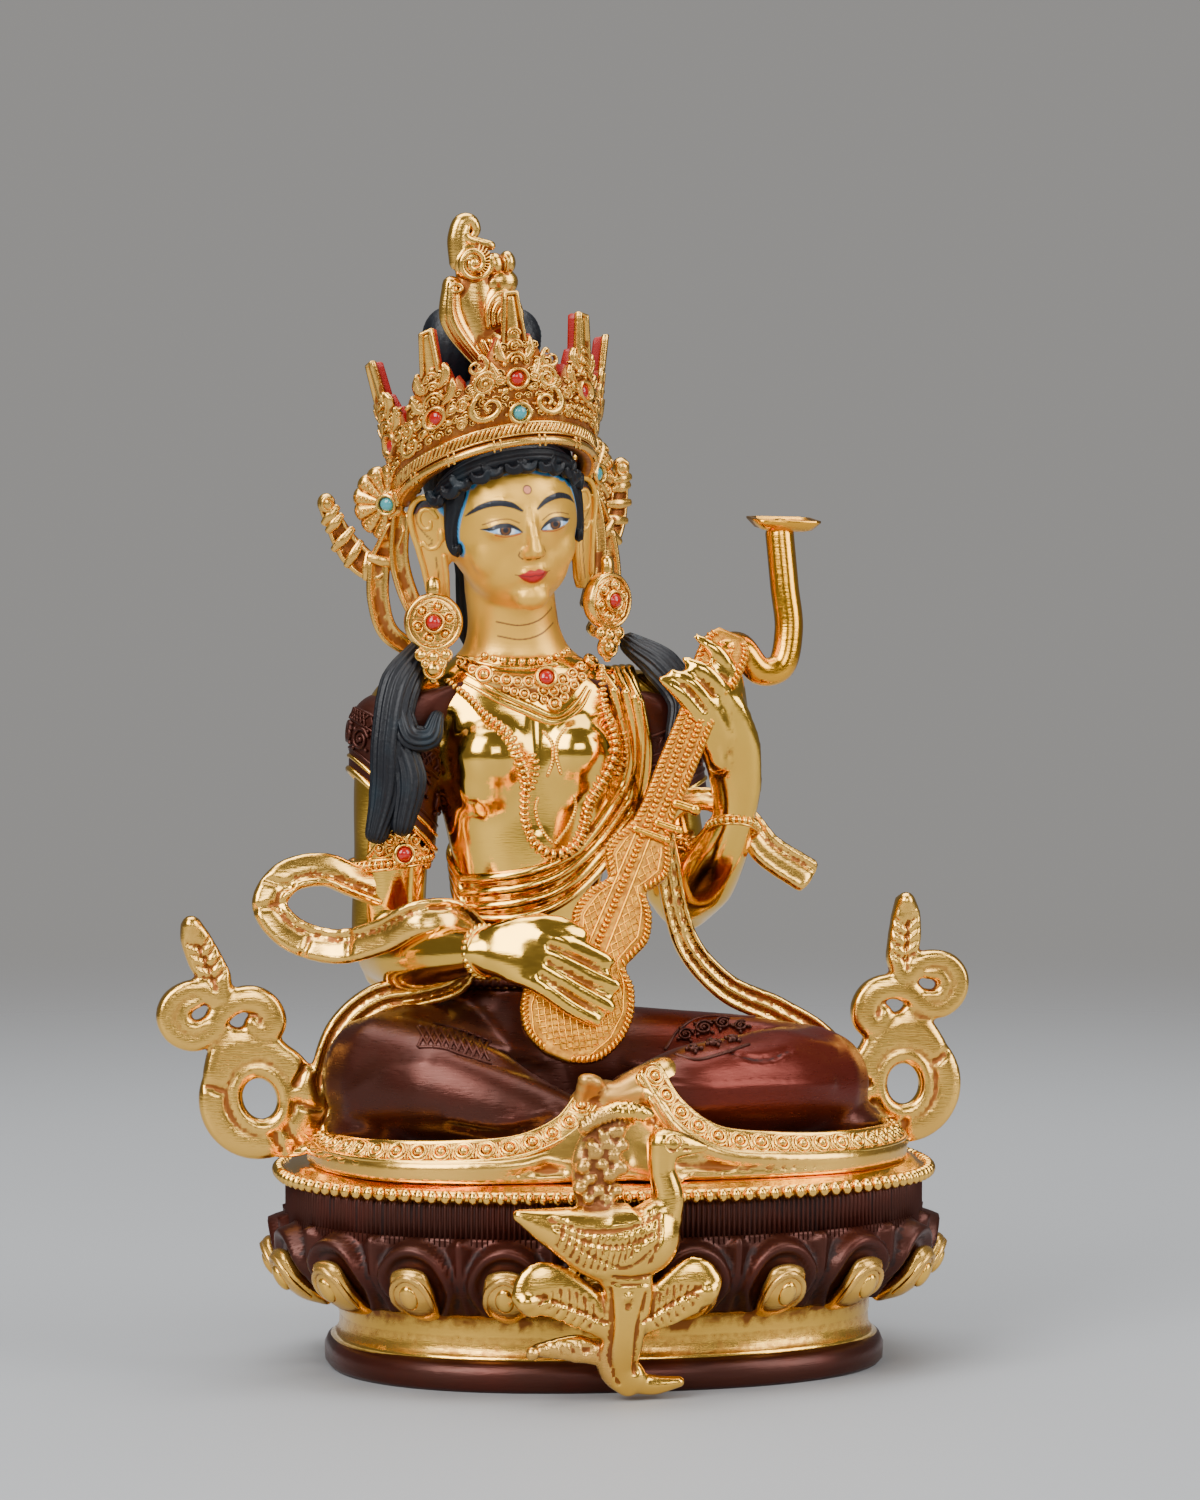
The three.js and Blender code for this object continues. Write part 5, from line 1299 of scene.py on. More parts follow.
jewels = {
    "neckBeads": [(-26.9, 92.0), (-22.7, 91.1), (-19.1, 90.2), (-14.2, 89.9), (-9.8, 90.4), (-6.6, 91.7),
                  (-4.4, 93.9)],
    "neckLine": [(-26.7, 90.7), (-23.6, 89.8), (-20.0, 89.1), (-14.2, 88.7), (-8.9, 89.3), (-4.8, 91.5),
                 (-2.8, 93.9)],
    "collar": [(-26.4, 89.2), (-22.7, 87.4), (-18.2, 86.0), (-13.9, 85.0), (-9.2, 84.4), (-5.8, 86.4),
               (-3.4, 88.7), (-2.6, 90.6)],
    # x, z and radius of each boss on the collar
    "bosses": [(-26.0, 89.4, 0.9), (-24.0, 88.3, 0.8), (-22.0, 87.4, 1.5), (-19.8, 86.6, 0.8),
               (-18.0, 86.4, 1.15),
               (-16.0, 86.2, 0.85), (-14.0, 86.2, 1.0), (-7.9, 86.4, 1.1), (-6.2, 87.5, 0.9),
               (-4.6, 88.6, 0.9),
               (-2.8, 89.6, 1.3), (-9.3, 82.1, 1.15), (-16.6, 84.4, 0.75), (-14.8, 84.0, 0.9),
               (-13.0, 83.4, 0.75),
               (-11.4, 84.5, 1.0), (-11.2, 82.9, 0.7), (-9.6, 84.4, 0.95), (-7.6, 83.2, 0.8),
               (-7.6, 84.8, 0.95),
               (-5.8, 85.4, 0.85), (-9.3, 86.2, 0.8), (-12.4, 86.6, 0.7), (-18.0, 84.9, 0.6),
               (-4.4, 86.8, 0.8)],
    "folds": [[(-25.4, 87.8), (-20.0, 84.7), (-13.8, 81.9), (-8.9, 80.1), (-5.3, 82.4), (-3.3, 85.3)],
              [(-25.8, 86.3), (-20.0, 83.2), (-14.7, 80.9), (-8.9, 78.9), (-4.6, 81.3), (-2.6, 84.6)]],
    "string": [(-28.9, 86.5), (-24.5, 83.0), (-21.8, 79.9), (-19.1, 77.7), (-16.9, 75.0), (-16.0, 72.4),
               (-14.9, 69.7),
               (-14.5, 67.5), (-14.7, 64.8), (-14.7, 61.3), (-13.8, 58.6), (-12.5, 56.4), (-9.8, 54.8),
               (-7.1, 55.2),
               (-4.8, 57.2), (-3.7, 59.9), (-3.3, 62.5), (-2.6, 64.7), (-0.8, 67.4), (1.0, 70.9), (1.7, 74.0),
               (1.4, 76.6), (0.5, 79.3), (-0.1, 82.4), (-0.6, 85.5), (-0.8, 88.6), (-0.8, 91.7)],
    "stringSizes": [0.72, 0.85, 1.0, 1.1, 1.3, 1.25, 1.1, 1.0, 1.0, 1.0, 1.1, 1.25, 1.3, 1.15, 1.05, 1.0, 1.1,
                    1.3,
                    1.35, 1.2, 1.0, 0.9, 0.85, 0.8],
    "chestArcs": [[(-11.1, 77.2), (-9.6, 75.0), (-9.5, 71.9), (-10.4, 69.2)],
                  [(-12.3, 65.0), (-12.7, 63.0), (-11.6, 59.5), (-9.7, 57.0)],
                  [(-7.2, 77.7), (-8.5, 75.8), (-8.8, 72.7), (-8.0, 69.6)],
                  [(-5.5, 65.4), (-5.3, 63.0), (-6.6, 59.9), (-8.9, 56.8)]],
    "sash": [[(0.5, 90.8), (1.9, 84.6), (3.7, 78.0), (4.6, 72.6), (3.2, 67.3), (0.5, 62.9), (-2.2, 59.0),
              (-5.3, 55.4),
              (-8.9, 53.3), (-13.8, 51.6), (-20.1, 50.7), (-26.0, 50.6)],
             [(2.3, 90.4), (4.1, 84.2), (5.9, 77.1), (6.2, 70.8), (4.6, 65.5), (1.4, 60.7), (-1.7, 56.7),
              (-5.3, 53.2),
              (-9.3, 50.6), (-14.7, 48.9), (-21.0, 48.2), (-26.2, 48.1)],
             [(3.7, 89.9), (5.9, 83.3), (7.3, 75.7), (7.1, 68.2), (5.0, 62.4), (1.4, 57.6), (-2.2, 53.6),
              (-5.7, 50.1),
              (-10.2, 47.5), (-15.6, 46.1), (-21.4, 45.5), (-26.2, 45.5)],
             [(5.0, 89.5), (6.6, 82.4), (7.6, 74.4), (7.2, 66.8), (5.3, 60.7), (2.3, 55.8), (-1.7, 51.4),
              (-6.6, 47.0),
              (-11.6, 44.4), (-17.8, 43.2), (-24.0, 43.5)]],
    "armlets": [((-38.1, 9.0, 53.4), (-0.12, 0.0, 1.0), 7.35, 0.95),
                ((14.6, 11.3, 55.4), (0.2, 0.15, 1.0), 7.2, 0.9)],
    "plaque": [(-43.2, 54.9), (-40.6, 58.2), (-37.6, 61.2), (-34.4, 59.2), (-32.0, 56.0), (-31.2, 51.2)],
    "plaqueBosses": [(-41.2, 56.3, 1.0), (-39.4, 57.9, 1.15), (-37.5, 59.4, 1.25), (-35.2, 57.9, 1.15),
                     (-33.4, 56.0, 1.0),
                     (-33.0, 53.4, 0.95), (-35.2, 55.6, 0.8), (-39.4, 55.9, 0.8), (-37.4, 57.4, 0.8),
                     (-34.6, 53.9, 0.8)],
    "bracelets": [((-25.2, -19.8, 38.9), (0.52, -0.84, 0.06), 4.35, 26),
                  ((22.9, -5.6, 59.6), (0.1, 0.42, 1.0), 4.5, 26)],
    # turn and place of the coral in the necklace and in the right armlet
    "corals": [(turnMatrix(-0.3, 0, 0), (-11.4, -4.4, 87.2)), (turnMatrix(0, 0, 0.1), (-37, -1.4, 55.2))],
}


def seenLine(spots, lift=0.0, surface=None):
    return (surface or skinSurface).seen(raisedSeat(spots), lift, beyond=-11)  # behind the hands


def beadRing(centre, axis, radius, count, size):
    axis = unit(axis)
    side = unit(np.cross(axis, (0.3, 0.9, 0.1)))
    other = np.cross(axis, side)
    parts = []
    middle = np.array(centre) + (0, 0, seat)
    ring = [middle + radius * 1.02 * (side * math.cos(a) + other * math.sin(a))
            for a in np.linspace(0, 2 * math.pi, 25)[:-1]]
    for shift in (-0.95, 0.95):
        parts.append(sweep(np.array(ring) + axis * shift * size, size * 0.3, facing=tuple(axis), closed=True,
                           steps=48, around=7))
    for k in range(count):
        a = k / count * 2 * math.pi
        out = side * math.cos(a) + other * math.sin(a)
        parts.append(framed(middle + out * radius, np.cross(axis, out), out,
                            (size * 0.72, size * 0.98, size * 0.95), 10, 6))
    return parts


def buildJewellery():
    parts, matt = [], []

    def add(new, finish):
        parts.extend(new)
        matt.extend([finish] * len(new))
    add(beadsAlong(skinSurface, seenLine(jewels["neckBeads"]), 1.75, 0.74, 0.35, flat=0.95, around=9, rows=5),
        0.4)
    add([sweep(seenLine(jewels["neckLine"], 0.25), 0.42, 0.5, steps=60, around=8)], 0.2)
    add([sweep(seenLine(jewels["collar"], -0.3), [0.6, 1.4, 2.0, 2.5, 3.2, 2.9, 2.0, 1.4], 0.9, steps=50,
               around=18)], 0.8)
    for x, z, radius in jewels["bosses"]:
        add(laid(skinSurface, smallBoss(radius * 1.08), (x, z), lift=0.55), 0.7)
    for fold in jewels["folds"]:
        add([sweep(seenLine(fold, 0.0), [0.3, 0.55, 0.7, 0.6, 0.5, 0.3], 0.5, steps=60, around=10)], 0.05)
    for arc in jewels["chestArcs"]:
        line = seenLine(arc, 0.02)
        add([sweep(line, 0.34, 0.4, steps=70, around=7, ripple=lambda t: 0.28 * np.sin(t * 2 * np.pi * 16))],
            0.15)
    string = seenLine(jewels["string"])
    add([sweep(string + (0, 0.25, 0), 0.55, 0.5, steps=140, around=7)], 0.7)
    add(beadsAlong(skinSurface, string, 1.22, jewels["stringSizes"], 0.55, around=10, rows=6), 0.45)
    # the second row beside each bust
    for row in ([(-13.6, 73.4), (-12.8, 71.4), (-12.9, 69.2), (-13.6, 67.0)],
                [(3.2, 77.4), (3.7, 74.6), (3.2, 71.6), (1.8, 68.8)]):
        add(beadsAlong(skinSurface, seenLine(row), 1.2, 0.85, 0.4, around=8, rows=5), 0.45)
    back = [(-27.8, 2.5), (-27.4, 9.0), (-24.4, 15.6), (-16.0, 19.0), (-5.0, 18.0), (1.6, 14.0), (2.4, 8.6),
            (1.6, 3.0)]
    for k, fold in enumerate(jewels["sash"]):
        line = seenLine(fold, 0.15, clothedSurface)
        width = [1.0, 1.35, 1.4, 1.3, 1.15, 1.0, 0.95, 1.0, 1.0, 0.95]
        add([sweep(line, width, 0.95, steps=100, around=12)], 0.15)
        # over the back, from the waist up to the shoulder
        sag = np.array([0, -1, -3, -5, -4, 1.5, 4, 3.5])
        heights = np.linspace(50.0 - 2.3 * k, 88 + 0.6 * k, len(back)) + sag
        shift = np.linspace(0, 1.4 * k, len(back))
        rear = [(x + dx, y, z + seat) for (x, y), z, dx in zip(back, heights, shift)]
        rear, _ = clothedSurface.nearest(smoothLine(rear, 60)[0], 0.1)
        add([sweep(np.vstack([line[-1:], rear, line[:1]]), 0.95, 0.85, facing=(0.2, 1, 0.2), steps=90,
                   around=12)], 0.15)
    # armlets, and the plaque on the right one
    for centre, axis, radius, size in jewels["armlets"]:
        add(beadRing(centre, axis, radius, 40, size), 0.5)
    edge = seenLine(jewels["plaque"], 0.25)
    add([sweep(edge, 0.42, 0.55, steps=50, around=8, ripple=lambda t: 0.2 * np.sin(t * 2 * np.pi * 22))], 0.6)
    add([sweep(seenLine([(-41.4, 55.6), (-37.6, 57.6), (-34.0, 54.6)], -0.2), [1.2, 2.6, 1.6], 0.8, steps=24,
               around=16)], 0.8)
    for x, z, radius in jewels["plaqueBosses"]:
        add(laid(skinSurface, smallBoss(radius), (x, z), lift=0.35), 0.7)
    for centre, axis, radius, count in jewels["bracelets"]:
        add(beadRing(centre, axis, radius, count, 0.85), 0.35)
    # bezels of the two corals
    for turn, place in jewels["corals"]:
        bezels = [flatRing(0, 0, 1.75, 0.42, 0.9, lift=-0.1, steps=22, around=8),
                  blob((0, 0, -0.95), (1.9, 1.9, 1.0), around=16, rows=8)]
        add([turnedOut(np.stack([v[:, 0], -v[:, 2], v[:, 1]], axis=1) @ turn.T + place + (0, 0, seat),
                       f) for v, f in bezels], 0.5)
    piece = makePiece("jewelleryAndSash", parts, {"matt": matt})
    markRecess(piece, 0.75, 1.0)
    return dressed(piece, ornamentMetal, "goddess_figure")


# centre, radius and tilt of the rings down each sleeve
sleeves = {
    "right": [(-25.5, 7.4, 86.6, 7.6, 0.25), (-31.6, 7.6, 83.4, 8.6, -0.1), (-35.4, 7.7, 78.4, 8.6, -0.45),
              (-37.2, 8.1, 72.6, 8.25, -0.75),
              (-37.7, 8.4, 66.6, 8.0, -0.92), (-37.9, 8.6, 62.8, 7.9, -0.96)],
    "left": [(-1.5, 7.4, 86.6, 7.6, -0.25), (5.0, 7.6, 83.4, 8.7, 0.05), (9.0, 7.9, 78.4, 8.6, 0.3),
             (11.0, 8.6, 72.4, 8.0, 0.4),
             (12.6, 9.6, 66.0, 7.8, 0.45), (13.4, 10.4, 62.2, 7.7, 0.45)],
    "rosettes": 9, "rosetteRadius": 2.15, "crosses": 44,
}


def sleeveRings(rows, steps=36, around=52):
    line, _ = smoothLine(rows, steps)
    a = np.arange(around) / around * 2 * np.pi
    rings = []
    for x, y, z, r, tilt in line:
        px = r * np.cos(a)
        rings.append(np.column_stack([x + px, y + r * np.sin(a), z + seat + tilt * px]))
    return np.array(rings)


def onSleeve(rings, parts, angle, back):
    # ornament laid on the tube: back counts rings up from the hem
    count, around, _ = rings.shape
    i, j = int(count - 1 - back), int(angle / (2 * math.pi) * around) % around
    place = rings[i, j]
    up = unit(rings[i - 2, j] - rings[i, j])
    across = unit(rings[i, (j + 1) % around] - rings[i, j - 1])
    normal = unit(np.cross(across, up))
    middle = rings[i].mean(0)
    if np.dot(normal, place - middle) < 0:
        normal = -normal
    axes = np.stack([np.cross(up, normal), up, normal])
    return [turnedOut(v @ axes + place, f) for v, f in parts]


def rosette(radius):
    line = arcPoints(0, 0, radius, radius * 0.3, 0.4, 0.4 + 3.1 * math.pi, 14)
    parts = [flatWire(line, radius * 0.17, 0.55, lift=0.1, steps=30, around=6),
             dome(0, 0, radius * 0.3, radius * 0.3, 0.75, around=8, rows=5)]
    for k in range(4):
        a = math.pi / 4 + k * math.pi / 2
        parts.append(dome(radius * 1.12 * math.cos(a), radius * 1.12 * math.sin(a), 0.5, 0.35, 0.5, turn=a,
                          around=8, rows=5))
    return parts


def buildSleeves():
    brown, gold = [], []
    for side in ("right", "left"):
        rings = sleeveRings(sleeves[side])
        brown.append(skinOf(rings))
        hem, low = rings[-1], rings[-4]
        for ring, radius in ((hem, 0.62), (low, 0.42)):
            gold.append(sweep(ring[::2], radius, facing=(0, 0, 1), closed=True, steps=70, around=8))
        for k in range(sleeves["rosettes"]):
            angle = (k + 0.5) / sleeves["rosettes"] * 2 * math.pi
            brown += onSleeve(rings, rosette(sleeves["rosetteRadius"]), angle, 9)
        cross = [flatWire([(-0.7 * lean, -0.9), (0.7 * lean, 0.9)], 0.2, 0.5, steps=3,
                          around=5) for lean in (1, -1)]
        for k in range(sleeves["crosses"]):
            brown += onSleeve(rings, cross, k / sleeves["crosses"] * 2 * math.pi, 15)
        for back, radius in ((4.5, 0.3), (13, 0.34), (17, 0.34)):
            brown.append(sweep(rings[int(len(rings) - 1 - back)][::2], radius, facing=(0, 0, 1), closed=True,
                               steps=60, around=6))
    edges = makePiece("sleeveEdges", gold, {"matt": 0.3})
    markRecess(edges, 0.8, 1.0)
    dressed(edges, ornamentMetal, "goddess_figure")
    piece = makePiece("sleeves", brown, {"copper": 1.0, "matt": 0.5})
    markRecess(piece, 0.9, 1.0)
    return dressed(piece, copperMetal, "goddess_figure")


sleevePiece = buildSleeves()
clothedSurface = Surface(gildedSkin, sleevePiece)  # the sash runs over both
print("sleeves made")
buildJewellery()
print("jewellery made")


# the robe's gilded hem, the cloth between the shins and the foot

hem = {
    "right": [(-9, -32.5, 13), (-13, -35, 9), (-21, -37, 5.8), (-33, -34.5, 4.6), (-45, -27.4, 4.2),
              (-51.4, -15.5, 4.0), (-52.6, -2, 4.0)],
    "left": [(2, -33.5, 18.5), (6, -35.5, 12), (13, -37, 6.9), (26, -35.3, 5.0), (40, -29.6, 4.4),
             (50.0, -17, 4.1), (52.4, -4, 4.0)],
    "bossEvery": 4.0,
}


def hemBand(points, facing, side):
    face = unit(facing)
    parts = [sweep(points, 2.3, 1.0, facing=facing, steps=110,
                   section=[(-1, -1), (1, -1), (1.08, 0), (1, 1.05), (0.8, 1.25), (0.66, 0.75),
                           (-0.66, 0.75), (-0.8, 1.25), (-1, 1.05), (-1.08, 0)])]
    fine, _ = smoothLine(points, 400)
    run = runAlong(fine)
    across = unit(np.cross(np.gradient(fine, axis=0), face)) * side
    wavy = 2.3 + 0.4 * np.sin(run / hem["bossEvery"] * 2 * np.pi)
    parts.append(sweep((fine + across * wavy[:, None])[::3], 0.6, 0.75, facing=facing, steps=200, around=6))
    u, k = 1.4, 0
    while u < run[-1] - 1:
        place = np.array([np.interp(u, run, fine[:, i]) for i in range(3)])
        ahead = np.array([np.interp(u + 0.5, run, fine[:, i]) for i in range(3)])
        along = unit(ahead - place)
        across = unit(np.cross(along, face))
        out = np.cross(across, along)
        axes = np.stack([along, across, out])
        if k % 2 == 0:
            drawn = smallBoss(1.5) + [flatRing(0, 0, 1.8, 0.2, 0.4, lift=0.05, steps=18, around=5)]
        else:
            drawn = [flatWire([(-0.8 + 0.55 * j, -1.3), (-0.3 + 0.55 * j, 1.3)], 0.16, 0.4, lift=0.05,
                              steps=3, around=5) for j in range(3)]
        parts += [turnedOut(v @ axes + place + out * 0.72, f) for v, f in drawn]
        u += hem["bossEvery"] / 2
        k += 1
    return parts


def buildHem():
    parts = hemBand(hem["right"], (-0.2, -1, 0.7), -1) + hemBand(hem["left"], (0.2, -1, 0.7), 1)
    cloth = [
        sweep([(-4.4, -28.6, 13.6), (-5.0, -32.0, 11), (-6.0, -36.2, 6.4), (-7.0, -39.4, 2.2)],
              [6.0, 8.4, 11.6, 15.0], [3, 2.8, 2.2, 1.4],
              facing=(0, -1, 0.6), around=36, steps=30),
        sweep([(-53.8, -3, 0.5), (-52.3, -16.4, 0.5), (-45, -29, 0.5), (-33, -36, 0.6), (-21, -38.3, 0.6),
               (-8, -39.4, 0.8),
               (3, -39.4, 0.8), (13.4, -38.6, 0.6), (26, -36.8, 0.6), (40, -31, 0.5), (51, -18, 0.5),
               (53.6, -4, 0.5)],
              1.3, 1.0, facing=(0, 0, 1), around=18, steps=150),
        # the smooth outer edge of the cloth, down to the dais
        sweep([(-9, -33.6, 9.6), (-13, -36.4, 5.4), (-21, -38.0, 2.9), (-33, -35.6, 2.1), (-45, -28.4, 1.9),
               (-52, -16, 1.9),
               (-53.4, -3, 1.8)], 1.7, 1.9, facing=(0, -1, 0.8), around=20, steps=90),
        sweep([(2.4, -34.6, 14.6), (6.4, -36.6, 8.6), (13.4, -38.2, 4.2), (26, -36.4, 2.6), (40, -30.6, 2.1),
               (50.8, -17.6, 1.9),
               (53.2, -4, 1.8)], 1.7, 1.9, facing=(0, -1, 0.8), around=20, steps=90),
        sweep([(-30, -34.4, 2.6), (-18, -35.6, 3.6), (-4, -36.2, 4.4), (9, -36.4, 4.2), (22, -35.6, 3.2),
               (32, -33, 2.6)],
              [2.0, 3.0, 4.0, 3.4, 2.6, 2.0], [1.6, 2.4, 3.0, 2.6, 2.0, 1.6], facing=(0, -1, 0.8), around=20,
              steps=60),
        sweep([(-2.4, -33.2, 12.6), (-2.6, -36.4, 7.4), (-3.0, -39.6, 2.4)], [0.8, 1.2, 1.5], steps=20,
              around=12),
        sweep([(-8.0, -33.4, 11.6), (-9.6, -36.8, 6.8), (-12.4, -39.0, 2.4)], [0.8, 1.2, 1.4], steps=20,
              around=12),
        # foot and toes
        sweep([(5.4, -29.6, 16.4), (1.2, -31.6, 15.2), (-3.4, -32.4, 13.9), (-7.4, -31.8, 14.6)],
              [4.3, 3.9, 3.0, 2.2], [4.0, 3.7, 3.0, 2.2],
              around=24, steps=26),
    ]
    toes = [((-8.4 - 0.5 * k, -34.4 + 0.7 * k, 16.9 - 1.5 * k), 1.75 - 0.14 * k) for k in range(5)]
    for place, size in toes:
        cloth.append(blob(place, (size * 1.5, size, size * 0.85), turn=(0, 0.25, 0.2), around=14, rows=9))
    smooth = makePiece("gildedCloth", cloth, up=seat)
    blended(smooth, 0.56, smooth=2)
    markRecess(smooth, 1.0, 1.2)
    verts = places(smooth)
    footShade = eased(verts[:, 2], seat + 12.2, seat + 14.5) * eased(-verts[:, 0], -3.5, 3.0)
    setMark(smooth, "matt", 0.6 + 0.35 * footShade)
    setMark(smooth, "copper", 0.42 * footShade)
    setMark(smooth, "warm", footShade)
    dressed(smooth, giltMetal, "goddess_figure")
    piece = makePiece("robeHem", parts, {"matt": 0.45}, up=seat)
    markRecess(piece, 0.8, 1.0)
    dressed(piece, ornamentMetal, "goddess_figure")


def buildRobeRelief():
    # rosettes and bands on the thighs, and the ruffle round the waist
    relief = []
    for x, z, radius, turn in ((18.6, 22.4, 1.7, 0.2), (22.2, 23.2, 1.5, 0.5), (15.2, 21.2, 1.4, -0.2),
                               (25.6, 22.6, 1.3, 0.8),
                               (20.4, 19.6, 1.2, 1.2), (16.8, 18.6, 1.1, 0.9), (24.0, 20.2, 1.1, 0.1)):
        relief += laid(robeSurface, rosette(radius), (x, z), turn=turn, lift=0.2)
    bands = [[(11.4, 18.8), (14, 22.4), (18, 24.6), (23, 25.2), (28, 24.4)],
             [(13.4, 17.8), (17, 16.8), (22, 17.8), (27, 19.4)],
             [(-34, 23.8), (-30, 24.0), (-26, 22.8), (-21, 20.8)],
             [(-34, 20.0), (-30, 19.8), (-26, 18.4), (-21, 16.8)]]
    for k in range(9):
        x, z = -33.4 + 1.4 * k, 21.9 - 0.34 * k + 0.6 * math.sin(k / 2.5)
        bands += [[(x - 0.9, z - 1.7), (x, z), (x + 0.9, z + 1.7)],
                  [(x - 0.9, z + 1.7), (x, z), (x + 0.9, z - 1.7)]]
    for line in bands:
        drawn = robeSurface.seen(raisedSeat(line), 0.0)
        if len(drawn) > 2:
            relief.append(sweep(drawn, 0.34, 0.4, steps=20, around=6))
    ruffle = [(-14 + 14.9 * math.cos(a), 9.4 + 11.2 * math.sin(a), 31.4 + seat)
              for a in np.linspace(0, 2 * math.pi, 61)[:-1]]
    relief.append(sweep(ruffle, 0.8, facing=(0, 0, 1), closed=True, steps=200, around=7,
                        ripple=lambda t: 0.3 * np.sin(t * 2 * np.pi * 58)))
    piece = makePiece("robeRelief", relief, {"copper": 1.0, "matt": 0.5})
    markRecess(piece, 0.8, 1.0)
    dressed(piece, copperMetal, "goddess_figure")


buildHem()
buildRobeRelief()
print("hem made")


# crown and finial; ornament is drawn flat, as distance along the band, height and relief, and then
# laid on the crown's wall

crown = {"band": 5.0, "plate": 2.2, "flare": 0.2, "ringEvery": 7.6, "ropeTurns": 74}
crownLeaves = [
    {"angle": -1.51, "half": 0.29, "height": 19.6, "stone": 0.23},
    {"angle": -0.87, "half": 0.35, "height": 20.0, "stone": 0.22},
    {"angle": 0.0, "half": 0.52, "height": 22.5, "stone": 0.32},
    {"angle": 0.87, "half": 0.35, "height": 20.0, "stone": 0.30},
    {"angle": 1.51, "half": 0.29, "height": 19.6, "stone": 0.32},
]

wallAngles = np.linspace(-2.05, 2.05, 821)
wallFeet = crownFoot(wallAngles)
wallRun = runAlong(wallFeet[:, :2])
wallRun -= np.interp(0.0, wallAngles, wallRun)


def alongWall(angle):
    return float(np.interp(angle, wallAngles, wallRun))


def wallPlace(angle, out, rise):
    angle = np.asarray(angle, float)
    flare = crown["flare"] * np.sin(angle) ** 4
    outward = np.stack([np.sin(angle), -np.cos(angle), np.zeros_like(angle)], axis=-1)
    lifted = crownFoot(angle) + outward * (np.asarray(out) + flare * rise)[..., None]
    lifted[..., 2] += rise
    return lifted


def onWall(verts):
    angle = np.interp(verts[:, 0], wallRun, wallAngles)
    return wallPlace(angle, crown["plate"] / 2 - 0.15 + verts[:, 2], verts[:, 1])


def wallPiece(parts, s=0.0, rise=0.0, mirror=False, turn=0.0):
    done = []
    for verts, faces in parts:
        part = moved((verts, faces), mirror=mirror)
        part = moved(part, turn=(0, 0, turn), by=(s, rise, 0))
        done.append((onWall(part[0]), part[1]))
    return done


# The wall itself, with the leaves' outline; its back, its top edge and the prongs' sides are painted red.
leafEdge = [(-1, 0.28), (-0.9, 0.42), (-0.74, 0.50), (-0.6, 0.47), (-0.5, 0.56), (-0.36, 0.66), (-0.27, 0.62),
            (-0.2, 0.66), (-0.13, 0.99), (-0.08, 1.0), (0.08, 1.0), (0.13, 0.99), (0.2, 0.66), (0.27, 0.62),
            (0.36, 0.66), (0.5, 0.56), (0.6, 0.47), (0.74, 0.50), (0.9, 0.42), (1, 0.28)]


def crownWallParts():
    edge = []
    for leaf in crownLeaves:
        for u, v in leafEdge:
            edge.append((leaf["angle"] + u * leaf["half"], crown["band"] + v * leaf["height"]))
    edge = np.array(sorted(edge))
    angles = np.unique(np.concatenate([edge[:, 0], np.linspace(edge[0, 0], edge[-1, 0], 240)]))
    rises = np.interp(angles, edge[:, 0], edge[:, 1])
    half = crown["plate"] / 2
    rings = []
    for angle, rise in zip(angles, rises):
        section = [(-half, 0.0), (-half, rise * 0.5), (-half, rise - 0.2), (-half + 0.3, rise),
                   (half - 0.45, rise),
                   (half - 0.1, rise - 0.35), (half - 0.1, rise * 0.5), (half - 0.1, 0.0)]
        out = np.array([p[0] for p in section])
        up = np.array([p[1] for p in section])
        rings.append(wallPlace(np.full(len(section), angle), out, up))
    return [skinOf(rings)]


def prongParts(leaf):
    s, top = alongWall(leaf["angle"]), crown["band"] + leaf["height"]
    low = crown["band"] + leaf["height"] * 0.62
    width = 0.2 * leaf["half"] * 16
    frame = []
    outline = [(-width * 1.15, low), (-width * 0.62, top - 0.15), (width * 0.62, top - 0.15),
               (width * 1.15, low)]
    for a, b in zip(outline[:-1], outline[1:]):
        frame.append(flatWire([a, ((a[0] + b[0]) / 2, (a[1] + b[1]) / 2), b], 0.38, 0.75, steps=8, around=8))
    plate = flatWire([(0, low - 0.5), (0, top - 0.9)], [width * 1.0, width * 0.5], 0.35, steps=8, around=8)
    return wallPiece(frame + [plate], s=s)


def spiralBoss(radius, turns=1.6, ticks=0):
    start, count = 0.5, 16
    line = arcPoints(0, 0, radius, radius * 0.28, start, start + turns * 2 * math.pi, count)
    parts = [flatWire(line, radius * 0.17, radius * 0.3, lift=0.35, steps=26, around=5),
             dome(0, 0, radius * 0.27, radius * 0.27, radius * 0.45, lift=0.35, around=9, rows=5),
             dome(0, 0, radius * 1.02, radius * 1.02, 0.5, around=16, rows=5)]
    for k in range(ticks):
        a = k / ticks * 2 * math.pi
        parts.append(flatWire([(radius * 0.78 * math.cos(a), radius * 0.78 * math.sin(a)),
                               (radius * 1.08 * math.cos(a), radius * 1.08 * math.sin(a))], 0.16, 0.4,
                              lift=0.3,
                              steps=3, around=5))
    return parts


